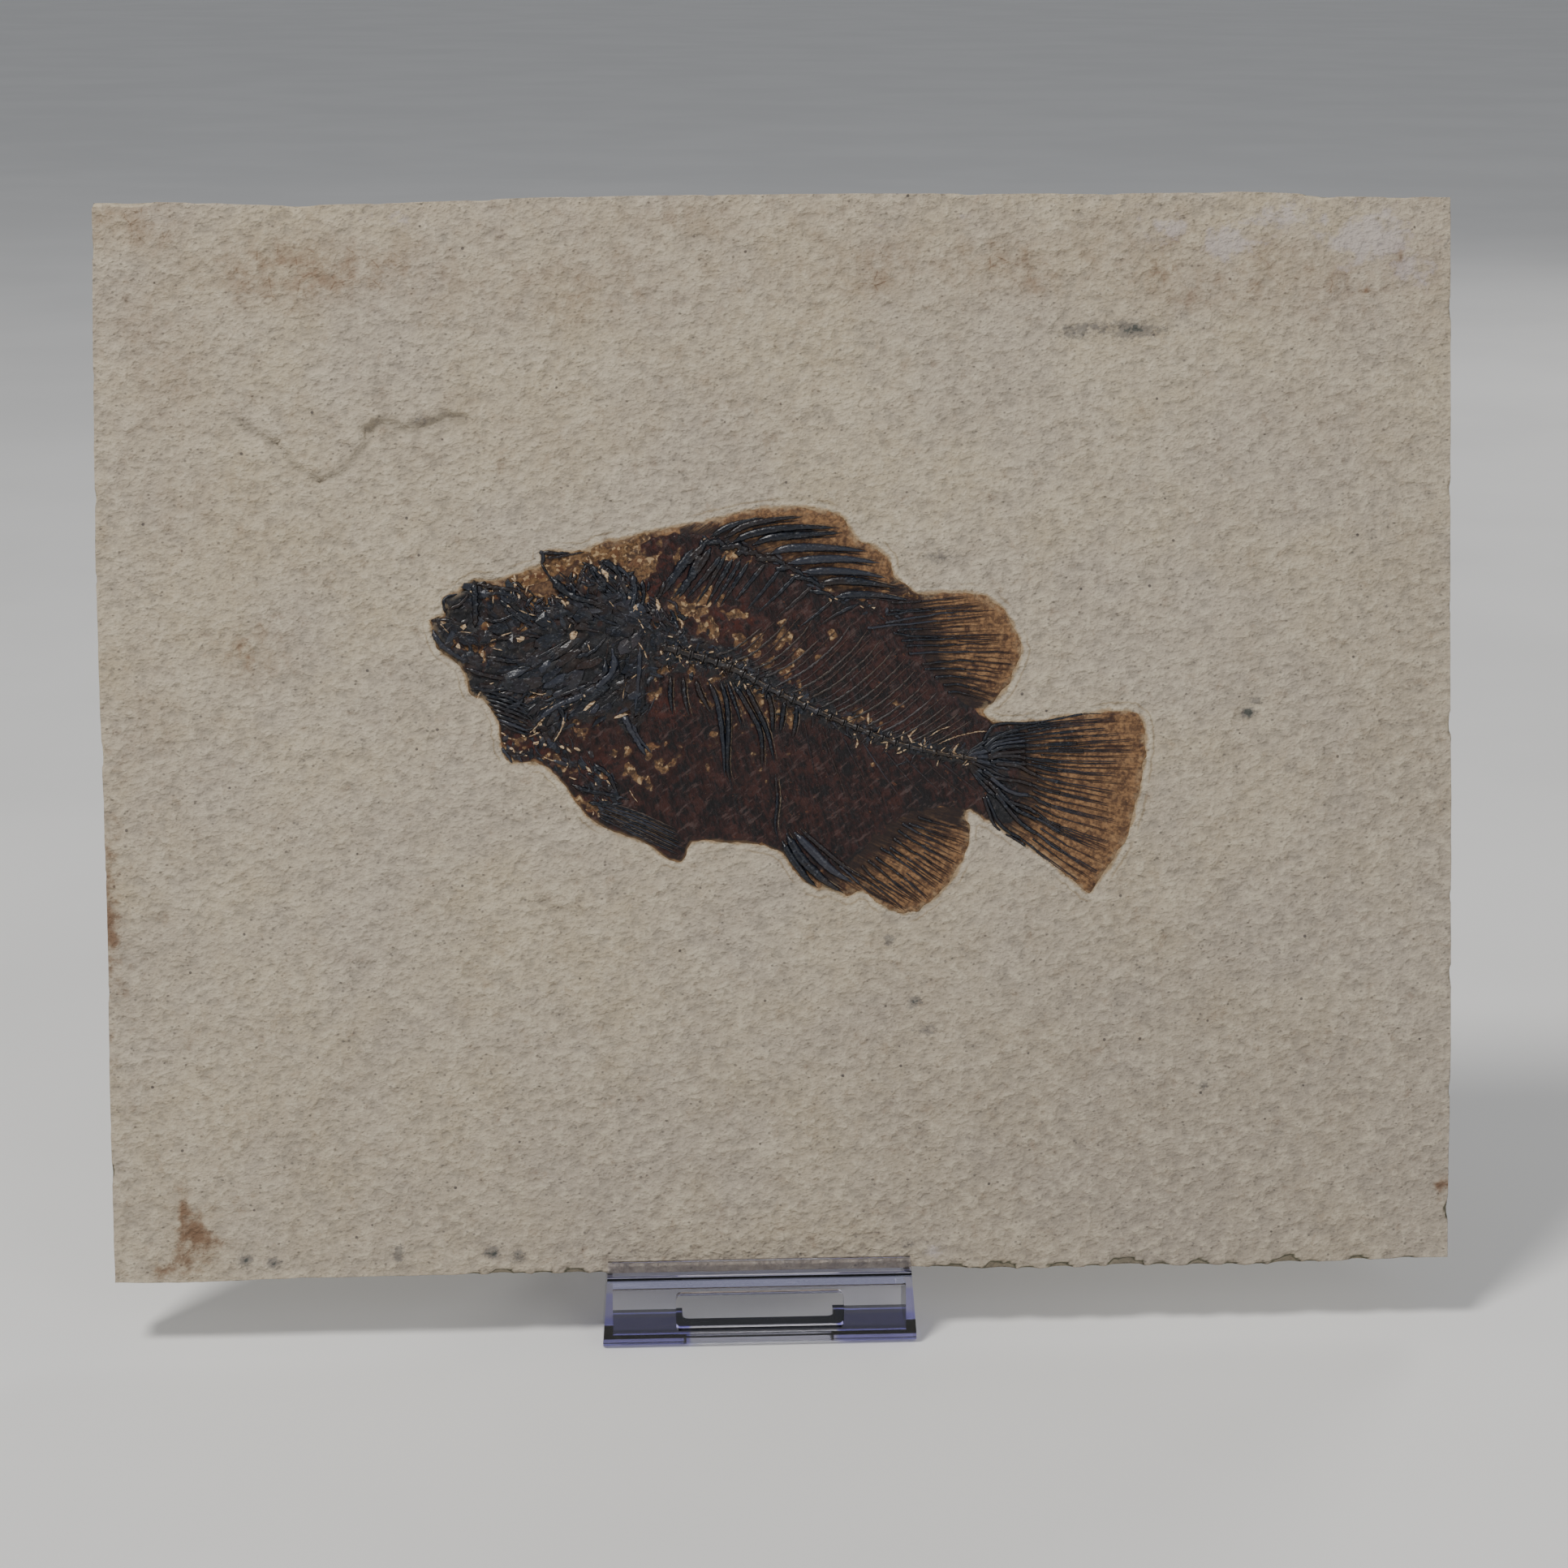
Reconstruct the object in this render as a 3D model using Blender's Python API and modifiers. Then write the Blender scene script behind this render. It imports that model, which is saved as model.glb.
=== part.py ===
"""A fossil fish slab resting on a small clear stand.

A block of pale limestone, sawn round its rim and split at the back, holds the flattened
skeleton of a deep-bodied, spiny-finned fish in a shallow pocket of its front face. It leans
back on a small easel moulded in one piece from clear acrylic.

Lengths are in metres. Two drawing planes are used:
- The slab and the fish are drawn flat: x runs right, y runs up from the slab's bottom edge,
  and z runs out of the front face. A parent empty then leans them back on the stand.
- The stand is drawn from the side: y runs back and z runs up from the table.
Lists of drawn points are in millimetres, and flat_points turns them into metres.
"""

import math

import bmesh
import bpy
import numpy as np
from mathutils import Matrix, Vector, noise

MM = 0.001

# Driving dimensions.
SLAB_WIDTH = 240 * MM
SLAB_HEIGHT = 191 * MM
SLAB_THICKNESS = 9.5 * MM
SLAB_LEAN = math.radians(12)
SLAB_LIFT = 12.5 * MM  # table to the slab's front bottom edge
REST_GAP = 0.3 * MM  # air left between pieces that touch

POCKET_DEPTH = 1.3 * MM
POCKET_MARGIN = 0.9 * MM
FISH_BACK = -POCKET_DEPTH + REST_GAP
MEMBRANE_FACE = -0.15 * MM
FLANK_FACE = 0.15 * MM
SKULL_FACE = 0.45 * MM

WALL = 2 * MM  # the stand's walls
OUTER_BEND = 2.7 * MM
INNER_BEND = OUTER_BEND - WALL
EASE = 0.4 * MM  # rounding where a wall ends or meets the slab's corners
EDGE_EASE = 0.15 * MM
STAND_CENTRE = -5.2 * MM
STAND_WIDTH_TOP = 54.0 * MM
STAND_WIDTH_FOOT = 56.3 * MM
LIP_COVER = 2.7 * MM
CHEEK = 1.9 * MM  # side walls of the stand's front box
BOX_DEPTH = 12.4 * MM
REST_LENGTH = 50 * MM
LEG_REACH = 51 * MM  # slab's front bottom edge to the rear leg's end
FRONT_WINDOW_WIDTH = 30 * MM
FRONT_WINDOW = (3.4 * MM, 9.6 * MM)
FRONT_WINDOW_ROUNDING = 0.8 * MM
FOOT_NOTCH_WIDTH = 27.4 * MM
FOOT_NOTCH_START = 4 * MM
FOOT_NOTCH_ROUNDING = 1.2 * MM

GRID_STEP = 16 * MM  # spacing of the slab's faces, before they are worn uneven
RIM_BEVEL = 0.5 * MM
COARSE_WEAR = 45  # lumps to a metre, more or less
FINE_WEAR = 130
FRONT_WEAR = 0.12 * MM  # how deep the unevenness goes
BACK_WEAR = 0.35 * MM
EDGE_FADE = 6  # power by which an edge's waviness fades towards the middle
CHIP_SHAPE = (1.6, 0.55, 0.7)
CHIP_TURN = 400  # radians that a chip is turned by for each metre along its edge
CUT_REACH = 3 * MM  # how far cutters stand out of what they cut
LEDGE_ALLOWANCE = 0.5 * MM  # the worn back lies about this far inside the plain block
GROOVE_END = 0.25  # radians of a half sine left out at each end, which blunts the groove

X_AXIS, Y_AXIS = 0, 1

# How far each sawn edge stands out from a straight line: (place along the edge, offset).
TOP_EDGE = [(-120, 0), (-100, -0.2), (-88, -0.8), (-66, -0.4), (-45, 0.4), (-20, 0.8),
            (10, 1.0), (60, 0.8), (80, 1.1), (92, 0.8), (98, 0.2), (120, 0)]
BOTTOM_EDGE = [(-120, 0), (-108, 0.3), (-86, -0.2), (-62, -0.2), (-36, 0), (24, 0),
               (36, 0.8), (60, 0.6), (84, 0.9), (100, 0.4), (120, 0.1)]
LEFT_EDGE = [(0, 0), (22, 0.2), (42, 0.2), (62, 0), (84, 0.2), (100, 0.5), (128, 0.7), (160, 0.4),
             (191, 0)]
RIGHT_EDGE = [(0, 0), (12, 0.1), (40, 0.5), (84, 0.5), (110, 0.2), (150, 0.2), (191, 0)]

# The fish's outline, fins included, clockwise from the tip of the lower jaw.
FISH_OUTLINE = [
    (-62.2, 117.3), (-59.7, 118.0), (-59.5, 121.2), (-57.2, 122.3), (-54.4, 124.3), (-51.0, 124.2),
    (-47.7, 125.0), (-45.0, 126.1), (-42.4, 126.9), (-42.3, 129.2), (-38.4, 129.2), (-35.0, 129.2),
    (-32.4, 130.4), (-27.5, 131.5), (-22.0, 132.7), (-16.0, 133.8), (-12.0, 134.6), (-6.0, 136.0),
    (0.0, 136.6), (5.0, 136.5), (10.0, 135.3), (12.3, 133.0), (13.4, 130.7), (16.6, 129.6),
    (18.9, 127.3), (20.0, 124.6), (22.1, 122.6), (24.4, 121.3), (29.0, 121.3), (33.8, 121.2),
    (37.4, 119.9), (40.0, 117.6), (42.0, 113.4), (42.7, 110.3), (41.4, 107.4), (39.8, 104.3),
    (37.6, 101.8), (35.6, 99.9), (38.6, 98.0), (44.0, 98.2), (51.4, 99.2), (57.9, 100.0),
    (62.6, 99.8), (64.6, 97.4), (64.8, 93.0), (64.0, 87.5), (63.0, 82.6), (61.2, 77.2),
    (58.8, 73.0), (56.5, 69.8), (54.5, 67.5), (51.4, 69.8), (45.7, 74.3), (40.1, 78.2),
    (35.4, 81.2), (32.6, 82.4), (33.0, 77.8), (31.6, 73.0), (28.8, 68.8), (24.6, 65.4),
    (21.6, 64.2), (17.4, 65.8), (14.0, 68.4), (11.0, 67.3), (7.4, 69.4), (5.9, 68.5),
    (2.4, 71.4), (-0.4, 75.1), (-4.0, 76.7), (-10.0, 77.4), (-16.4, 77.4), (-18.2, 74.2),
    (-21.0, 74.7), (-24.2, 77.2), (-31.1, 79.9), (-34.8, 82.2), (-37.4, 85.8), (-40.4, 89.4),
    (-43.4, 91.7), (-48.2, 92.0), (-50.0, 95.2), (-50.3, 98.7), (-52.2, 102.6), (-55.3, 104.6),
    (-56.7, 109.1), (-59.8, 111.4), (-61.2, 113.7),
]
FLANK_OUTLINE = [
    (-24.0, 130.4), (-13.0, 130.6), (-3.0, 127.2), (8.0, 121.6), (16.0, 119.2), (22.0, 115.4),
    (26.0, 109.4), (30.0, 103.2), (34.0, 99.4), (39.0, 96.6), (39.0, 84.0), (34.0, 83.4),
    (28.0, 82.4), (20.0, 80.6), (13.0, 76.4), (4.0, 78.6), (-6.0, 78.2), (-17.0, 79.2),
    (-30.0, 83.0), (-38.0, 89.4), (-46.0, 94.0), (-48.0, 99.6), (-33.0, 106.0), (-29.0, 121.0),
]

# Skull bones: outlines, and how far each stands out of SKULL_FACE.
SKULL_PLATES = [
    (0.10, [(-59.0, 118.6), (-59.0, 121.0), (-57.0, 121.8), (-54.9, 123.7), (-53.5, 123.2),
            (-53.4, 118.8), (-55.5, 118.4)]),
    (0.05, [(-61.5, 116.8), (-58.3, 116.9), (-55.0, 116.0), (-53.0, 115.0), (-53.3, 112.3),
            (-56.0, 110.9), (-59.4, 112.2), (-60.8, 114.4)]),
    (0.00, [(-52.6, 123.2), (-48.0, 123.2), (-45.0, 121.6), (-43.6, 119.2), (-47.5, 117.4),
            (-52.6, 118.4)]),
    (-0.12, [(-51.6, 116.0), (-44.0, 115.4), (-40.4, 111.8), (-42.6, 106.4), (-47.0, 103.6),
             (-54.2, 105.6), (-54.6, 110.0)]),
    (0.05, [(-43.0, 118.6), (-34.0, 119.4), (-27.4, 116.6), (-28.6, 108.6), (-34.0, 105.2),
            (-40.6, 106.4), (-39.0, 112.0)]),
    (-0.15, [(-51.0, 102.6), (-44.6, 104.0), (-38.0, 102.6), (-37.6, 99.2), (-44.6, 96.2),
             (-49.2, 98.4)]),
]

# Ridges: (root width, tip width, path).
SKULL_RIDGES = [
    (1.3, 1.0, [(-54.2, 123.4), (-54.1, 120.0), (-54.2, 116.2)]),
    (1.6, 0.8, [(-40.5, 124.4), (-37.6, 121.6), (-31.8, 119.4)]),
    (1.0, 0.6, [(-34.6, 126.6), (-36.0, 124.6), (-37.0, 123.0)]),
    (1.0, 0.6, [(-33.8, 126.6), (-32.0, 123.8), (-28.9, 121.6)]),
    (1.7, 1.1, [(-32.0, 127.4), (-28.6, 125.8), (-27.4, 122.0)]),
    (1.5, 0.8, [(-29.8, 112.4), (-31.0, 107.4), (-36.4, 103.2), (-44.4, 99.0)]),
    (1.8, 1.2, [(-25.6, 119.0), (-25.4, 110.0), (-27.2, 101.4)]),
    (1.5, 0.7, [(-28.2, 99.8), (-26.4, 96.4), (-24.4, 92.8)]),
    (1.0, 0.5, [(-46.4, 117.0), (-43.0, 115.4), (-41.0, 114.6)]),
    (1.1, 0.5, [(-51.0, 112.6), (-46.0, 111.6), (-40.6, 112.4)]),
    (0.8, 0.4, [(-47.6, 101.8), (-44.0, 99.4), (-40.8, 95.6)]),
    (0.8, 0.5, [(-41.6, 128.4), (-38.6, 128.4), (-35.2, 128.6)]),
]
DORSAL_SPINES = [
    (0.9, 0.3, [(-12.6, 131.4), (-8.8, 133.5), (-3.2, 134.8)]),
    (1.0, 0.3, [(-10.2, 131.2), (-6.4, 133.4), (-1.5, 134.4), (3.8, 134.9)]),
    (1.2, 0.3, [(-9.0, 130.2), (-5.4, 131.9), (1.5, 133.0), (10.2, 132.9)]),
    (1.2, 0.3, [(-5.2, 129.9), (-2.0, 131.2), (4.0, 131.7), (10.8, 132.0)]),
    (1.3, 0.3, [(-2.2, 128.2), (1.0, 129.3), (8.0, 129.4), (15.2, 128.7)]),
    (1.3, 0.3, [(1.0, 126.6), (4.5, 127.2), (11.0, 127.4), (17.5, 126.6)]),
    (1.2, 0.3, [(3.5, 125.1), (8.0, 125.3), (14.0, 124.9), (18.7, 123.9)]),
    (1.3, 0.3, [(6.3, 122.8), (9.8, 123.5), (15.0, 123.2), (20.9, 122.1)]),
    (1.1, 0.3, [(9.1, 120.5), (12.5, 121.1), (17.5, 120.9), (22.9, 119.9)]),
]
ANAL_SPINES = [
    (1.5, 0.3, [(-0.4, 77.4), (1.6, 74.0), (3.9, 70.9), (5.9, 69.0)]),
    (1.9, 0.3, [(0.4, 78.8), (3.0, 74.4), (6.8, 70.6), (10.5, 68.0)]),
    (1.9, 0.3, [(1.8, 79.0), (5.0, 75.6), (8.4, 72.2), (12.4, 69.7)]),
]
PELVIC_RIDGES = [
    (1.0, 0.4, [(-31.4, 84.4), (-25.0, 83.6), (-19.6, 81.8)]),
    (1.2, 0.4, [(-31.8, 82.8), (-25.0, 80.6), (-19.4, 76.6)]),
    (1.0, 0.4, [(-31.6, 81.0), (-26.0, 78.8), (-18.8, 74.9)]),
]
FIN_SUPPORTS = [
    (1.0, 0.5, [(-15.6, 129.4), (-18.4, 125.4), (-21.4, 121.0)]),
    (1.0, 0.5, [(-14.3, 128.8), (-16.0, 124.6), (-18.4, 120.5)]),
    (1.0, 0.5, [(-10.6, 128.2), (-13.6, 124.4), (-17.0, 120.6)]),
    (1.0, 0.5, [(-8.6, 127.6), (-11.4, 123.0), (-13.6, 119.0)]),
    (0.9, 0.5, [(-5.8, 127.0), (-8.6, 122.8), (-11.0, 119.2)]),
    (0.9, 0.5, [(-2.8, 126.8), (-6.0, 123.0), (-8.8, 119.6)]),
    (0.9, 0.5, [(0.0, 126.0), (-3.4, 121.8), (-6.4, 118.4)]),
    (0.9, 0.5, [(3.0, 125.0), (-1.0, 121.0), (-4.6, 117.8)]),
    (0.9, 0.5, [(5.6, 122.8), (2.0, 119.6), (-1.4, 116.8)]),
    (0.9, 0.5, [(9.2, 120.2), (6.0, 117.6), (2.8, 115.2)]),
    (0.8, 0.4, [(13.6, 119.4), (10.0, 117.8), (6.4, 115.6)]),
]
RIBS = [
    (0.9, 0.4, [(-15.4, 106.4), (-14.8, 104.2), (-12.9, 100.5)]),
    (0.9, 0.4, [(-13.3, 106.4), (-11.6, 102.0), (-10.7, 95.2)]),
    (0.9, 0.4, [(-11.1, 106.4), (-9.8, 100.5), (-10.0, 91.0)]),
    (0.9, 0.4, [(-8.9, 105.8), (-6.6, 102.0), (-4.1, 96.7)]),
    (0.9, 0.4, [(-6.8, 105.4), (-4.8, 101.4), (-2.9, 97.0)]),
    (0.9, 0.4, [(-2.7, 104.0), (-2.0, 100.6), (-2.0, 97.0)]),
    (0.8, 0.4, [(0.2, 102.4), (-0.1, 99.7), (-0.6, 97.0)]),
    (1.2, 0.6, [(-1.6, 90.0), (-1.3, 85.0), (-1.4, 78.4)]),
]
# Rays: (root, middle, tip) of the first and the last one, and how many there are.
SOFT_DORSAL_FAN = ([(17.0, 118.4), (24.0, 119.2), (32.0, 120.0)],
                   [(28.0, 103.8), (31.0, 102.6), (34.4, 101.4)], 12)
SOFT_ANAL_FAN = ([(10.4, 72.6), (14.6, 69.6), (18.8, 66.6)],
                 [(23.6, 81.6), (26.6, 80.8), (30.0, 79.9)], 11)
TAIL_FAN = ([(38.0, 97.0), (48.0, 98.0), (60.4, 98.9)],
            [(37.4, 81.0), (45.6, 75.4), (54.0, 68.9)], 17)
NEURAL_FAN = ([(-4.6, 105.6), (5.0, 111.4), (15.0, 117.6)],
              [(22.8, 94.2), (26.6, 96.6), (31.0, 98.6)], 10)
HAEMAL_FAN = ([(3.0, 99.4), (5.6, 92.0), (7.6, 84.0)],
              [(30.4, 90.6), (32.6, 87.6), (35.4, 84.6)], 9)
RAY_WIDTH = (0.75, 0.3)
FLANK_RAY_WIDTH = (0.55, 0.35)
BACKBONE = [(-21.0, 112.2), (-10.5, 108.9), (-1.9, 104.4), (5.0, 101.0), (12.7, 97.6), (20.5, 94.6),
            (27.3, 92.9), (34.5, 91.6)]
VERTEBRAE = 22
VERTEBRA_WIDTHS = (2.4, 1.3)  # across a joint, and across the waist between two
BACKBONE_TAPER = 0.55

# Marks in the slab's face: (width, depth, path).
FACE_GROOVES = [
    (1.7, 0.8, [(-94.6, 151.5), (-88.4, 148.6), (-81.0, 141.6), (-73.5, 147.0), (-70.4, 151.8),
                (-56.3, 152.1)]),
    (1.2, 0.4, [(49.0, 166.8), (58.0, 166.2), (70.0, 166.7)]),
    (1.4, 0.5, [(-43.8, 67.6), (-40.0, 66.8), (-36.8, 65.0)]),
]
# Chips along the bottom and the top edge: (place, radius).
BOTTOM_CHIPS = [(-51, 1.6), (-44, 1.2), (-38, 1.5), (30, 1.4), (38, 2.0), (49, 1.5), (61, 2.2),
                (74, 1.6), (90, 1.9)]
TOP_CHIPS = [(-113, 2.4), (-84, 1.6), (-52, 1.2), (34, 1.3), (96, 2.0), (110, 1.4)]
# Layers split away from the back: (depth, outline), clear of where the stand's rest touches.
BACK_LEDGES = [
    (1.7, [(30, 196), (22, 178), (36, 162), (30, 143), (48, 128), (66, 132), (80, 113),
           (100, 119), (126, 104), (126, 196)]),
    (2.6, [(62, 196), (72, 174), (88, 162), (96, 144), (126, 136), (126, 196)]),
    (1.3, [(-126, 124), (-104, 114), (-92, 97), (-97, 75), (-78, 59), (-70, 35), (-50, 22),
           (-44, -6), (-126, -6)]),
    (2.1, [(-126, 76), (-112, 62), (-104, 38), (-84, 20), (-78, -6), (-126, -6)]),
    (1.1, [(34, -6), (40, 12), (58, 20), (66, 44), (88, 52), (98, 74), (126, 80), (126, -6)]),
]


def flat_points(points):
    return [(x * MM, y * MM) for x, y in points]


def smooth_curve(points, steps, closed=False):
    """Points along a Catmull-Rom curve through the drawn ones, steps to each span."""
    drawn = np.array(points)
    if closed:
        padded = np.vstack([drawn[-1], drawn, drawn[0], drawn[1]])
        spans = len(drawn)
    else:
        padded = np.vstack([2 * drawn[0] - drawn[1], drawn, 2 * drawn[-1] - drawn[-2]])
        spans = len(drawn) - 1
    found = []
    for span in range(spans):
        before, start, end, after = padded[span : span + 4]
        for t in np.arange(steps) / steps:
            found.append(0.5 * (2 * start + (end - before) * t
                                + (2 * before - 5 * start + 4 * end - after) * t**2
                                + (3 * start - before - 3 * end + after) * t**3))
    if not closed:
        found.append(drawn[-1])
    return np.array(found)


def nearest_distance(place, outline):
    """The distance from a place to a closed outline."""
    starts = outline
    spans = np.roll(outline, -1, axis=0) - starts
    along = ((place - starts) * spans).sum(axis=1) / (spans**2).sum(axis=1)
    nearest = starts + spans * np.clip(along, 0, 1)[:, None]
    return np.linalg.norm(nearest - place, axis=1).min()


def grown(points, margin):
    """A closed outline moved outwards by a margin. In a sharp nook, crossed points are dropped."""
    along = np.roll(points, -1, axis=0) - np.roll(points, 1, axis=0)
    normals = np.stack([-along[:, 1], along[:, 0]], axis=1)
    normals /= np.linalg.norm(normals, axis=1)[:, None]
    moved = points + margin * normals
    return np.array([place for place in moved if nearest_distance(place, points) > 0.9 * margin])


def fan_paths(fan):
    """Ray paths that go evenly from a fan's first ray to its last."""
    first, last, count = fan
    first = np.array(first)
    last = np.array(last)
    return [first + (last - first) * share for share in np.linspace(0, 1, count)]


def make_collection(name, hidden=False):
    collection = bpy.data.collections.new(name)
    bpy.context.scene.collection.children.link(collection)
    collection.hide_render = hidden
    return collection


def make_material(name, colour, roughness, alpha=1.0):
    material = bpy.data.materials.new(name)
    material.use_nodes = True
    shader = material.node_tree.nodes["Principled BSDF"]
    shader.inputs["Base Color"].default_value = (*colour, 1)
    shader.inputs["Roughness"].default_value = roughness
    shader.inputs["Metallic"].default_value = 0
    shader.inputs["Alpha"].default_value = alpha
    material.diffuse_color = (*colour, alpha)
    return material


def add_object(name, mesh, collection, parent=None):
    obj = bpy.data.objects.new(name, mesh)
    collection.objects.link(obj)
    obj.parent = parent
    if collection.hide_render:
        obj.hide_render = True
        obj.display_type = "WIRE"
    return obj


def mesh_of_curve(curve, name):
    """A curve as a closed mesh: its loose caps are welded to its sides."""
    guide = bpy.data.objects.new(name + "_guide", curve)
    bpy.context.scene.collection.objects.link(guide)
    graph = bpy.context.evaluated_depsgraph_get()
    mesh = bpy.data.meshes.new_from_object(guide.evaluated_get(graph))
    bpy.data.objects.remove(guide)
    shape = bmesh.new()
    shape.from_mesh(mesh)
    bmesh.ops.remove_doubles(shape, verts=shape.verts, dist=0.001 * MM)
    bmesh.ops.recalc_face_normals(shape, faces=shape.faces)
    shape.to_mesh(mesh)
    shape.free()
    mesh.name = name
    return mesh


def plate(name, outlines, low, high, collection, parent):
    """A flat piece between two heights, from a closed outline and any holes in it."""
    curve = bpy.data.curves.new(name, "CURVE")
    curve.dimensions = "2D"
    curve.fill_mode = "BOTH"
    curve.extrude = (high - low) / 2
    for outline in outlines:
        spline = curve.splines.new("POLY")
        spline.points.add(len(outline) - 1)
        for point, (x, y) in zip(spline.points, outline):
            point.co = (x, y, 0, 1)
        spline.use_cyclic_u = True
    mesh = mesh_of_curve(curve, name)
    mesh.transform(Matrix.Translation((0, 0, (high + low) / 2)))
    return add_object(name, mesh, collection, parent)


def ridge(name, path, widths, height, collection, parent):
    """A tapering four-sided bar along a path, its centre at the given height."""
    curve = bpy.data.curves.new(name, "CURVE")
    curve.dimensions = "3D"
    curve.twist_mode = "Z_UP"
    curve.bevel_depth = 1
    curve.bevel_resolution = 0
    curve.use_fill_caps = True
    spline = curve.splines.new("POLY")
    spline.points.add(len(path) - 1)
    for point, (x, y), width in zip(spline.points, path, widths):
        point.co = (x, y, height, 1)
        point.radius = width / 2
    return add_object(name, mesh_of_curve(curve, name), collection, parent)


def tapered_ridges(name, rows, height, collection, parent, steps=2):
    for index, (root, tip, points) in enumerate(rows):
        path = smooth_curve(flat_points(points), steps)
        widths = np.linspace(root, tip, len(path)) * MM
        ridge(f"{name}_{index}", path, widths, height, collection, parent)


def ray_fan(name, fan, widths, height, collection, parent):
    rows = [(*widths, path) for path in fan_paths(fan)]
    tapered_ridges(name, rows, height, collection, parent, steps=1)


def backbone(collection, parent):
    """The vertebral column as one bar that swells at each joint."""
    curve = smooth_curve(flat_points(BACKBONE), 12)
    reach = np.concatenate([[0], np.cumsum(np.linalg.norm(np.diff(curve, axis=0), axis=1))])
    places = np.linspace(0, 1, 2 * VERTEBRAE + 1)
    path = [(np.interp(p * reach[-1], reach, curve[:, 0]), np.interp(p * reach[-1], reach, curve[:, 1]))
            for p in places]
    taper = 1 - (1 - BACKBONE_TAPER) * places
    widths = [VERTEBRA_WIDTHS[index % 2] * MM * share for index, share in enumerate(taper)]
    ridge("backbone", path, widths, FLANK_FACE, collection, parent)


def unite(obj, collection):
    joined = obj.modifiers.new("bones", "BOOLEAN")
    joined.operation = "UNION"
    joined.operand_type = "COLLECTION"
    joined.collection = collection
    joined.solver = "EXACT"


def cut(obj, collection):
    taken = obj.modifiers.new("cuts", "BOOLEAN")
    taken.operation = "DIFFERENCE"
    taken.operand_type = "COLLECTION"
    taken.collection = collection
    taken.solver = "EXACT"


def make_fish(parts, leaning, material):
    """The fish: a thin sheet with its flank, skull, spines, rays and ribs raised on it."""
    bones = make_collection("fish bones", hidden=True)
    outline = smooth_curve(flat_points(FISH_OUTLINE), 2, closed=True)
    fish = plate("fossil_fish", [outline], FISH_BACK, MEMBRANE_FACE, parts, leaning)
    middle = (FISH_BACK + MEMBRANE_FACE) / 2
    plate("flank", [flat_points(FLANK_OUTLINE)], middle, FLANK_FACE, bones, leaning)
    for index, (rise, points) in enumerate(SKULL_PLATES):
        top = SKULL_FACE + rise * MM
        plate(f"skull_{index}", [flat_points(points)], middle, top, bones, leaning)
    tapered_ridges("skull_ridge", SKULL_RIDGES, FLANK_FACE, bones, leaning, steps=1)
    tapered_ridges("dorsal_spine", DORSAL_SPINES, MEMBRANE_FACE, bones, leaning)
    tapered_ridges("anal_spine", ANAL_SPINES, MEMBRANE_FACE, bones, leaning)
    tapered_ridges("pelvic_ridge", PELVIC_RIDGES, MEMBRANE_FACE, bones, leaning, steps=1)
    tapered_ridges("fin_support", FIN_SUPPORTS, FLANK_FACE, bones, leaning, steps=1)
    tapered_ridges("rib", RIBS, FLANK_FACE, bones, leaning, steps=1)
    ray_fan("soft_dorsal_ray", SOFT_DORSAL_FAN, RAY_WIDTH, MEMBRANE_FACE, bones, leaning)
    ray_fan("soft_anal_ray", SOFT_ANAL_FAN, RAY_WIDTH, MEMBRANE_FACE, bones, leaning)
    ray_fan("tail_ray", TAIL_FAN, RAY_WIDTH, MEMBRANE_FACE, bones, leaning)
    ray_fan("neural_spine", NEURAL_FAN, FLANK_RAY_WIDTH, FLANK_FACE, bones, leaning)
    ray_fan("haemal_spine", HAEMAL_FAN, FLANK_RAY_WIDTH, FLANK_FACE, bones, leaning)
    backbone(bones, leaning)
    unite(fish, bones)
    fish.data.materials.append(material)
    return outline


def edge_offset(edge, place):
    """How far a sawn edge stands out at a place along it."""
    places, offsets = zip(*edge)
    return np.interp(place / MM, places, offsets) * MM


def wear_slab(point):
    """Moves one point of the plain block to where the sawn, split and weathered stone has it."""
    x, y, z = point
    side = x / (SLAB_WIDTH / 2)
    rise = y / SLAB_HEIGHT
    across = edge_offset(RIGHT_EDGE, y) if side > 0 else -edge_offset(LEFT_EDGE, y)
    down = -edge_offset(BOTTOM_EDGE, x)
    up = edge_offset(TOP_EDGE, x)
    coarse = noise.noise(Vector((x, y, z)) * COARSE_WEAR)
    fine = noise.noise(Vector((x, y, z)) * FINE_WEAR + Vector((7, 3, 5)))
    back_share = min(1, max(0, -z / SLAB_THICKNESS))
    front_dip = -FRONT_WEAR * (1 + fine)
    back_dip = BACK_WEAR * (1 + coarse) * (1 + abs(fine)) / 2
    return Vector((x + across * abs(side) ** EDGE_FADE,
                   y + down * (1 - rise) ** EDGE_FADE + up * rise ** EDGE_FADE,
                   z + front_dip * (1 - back_share) + back_dip * back_share))


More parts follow.
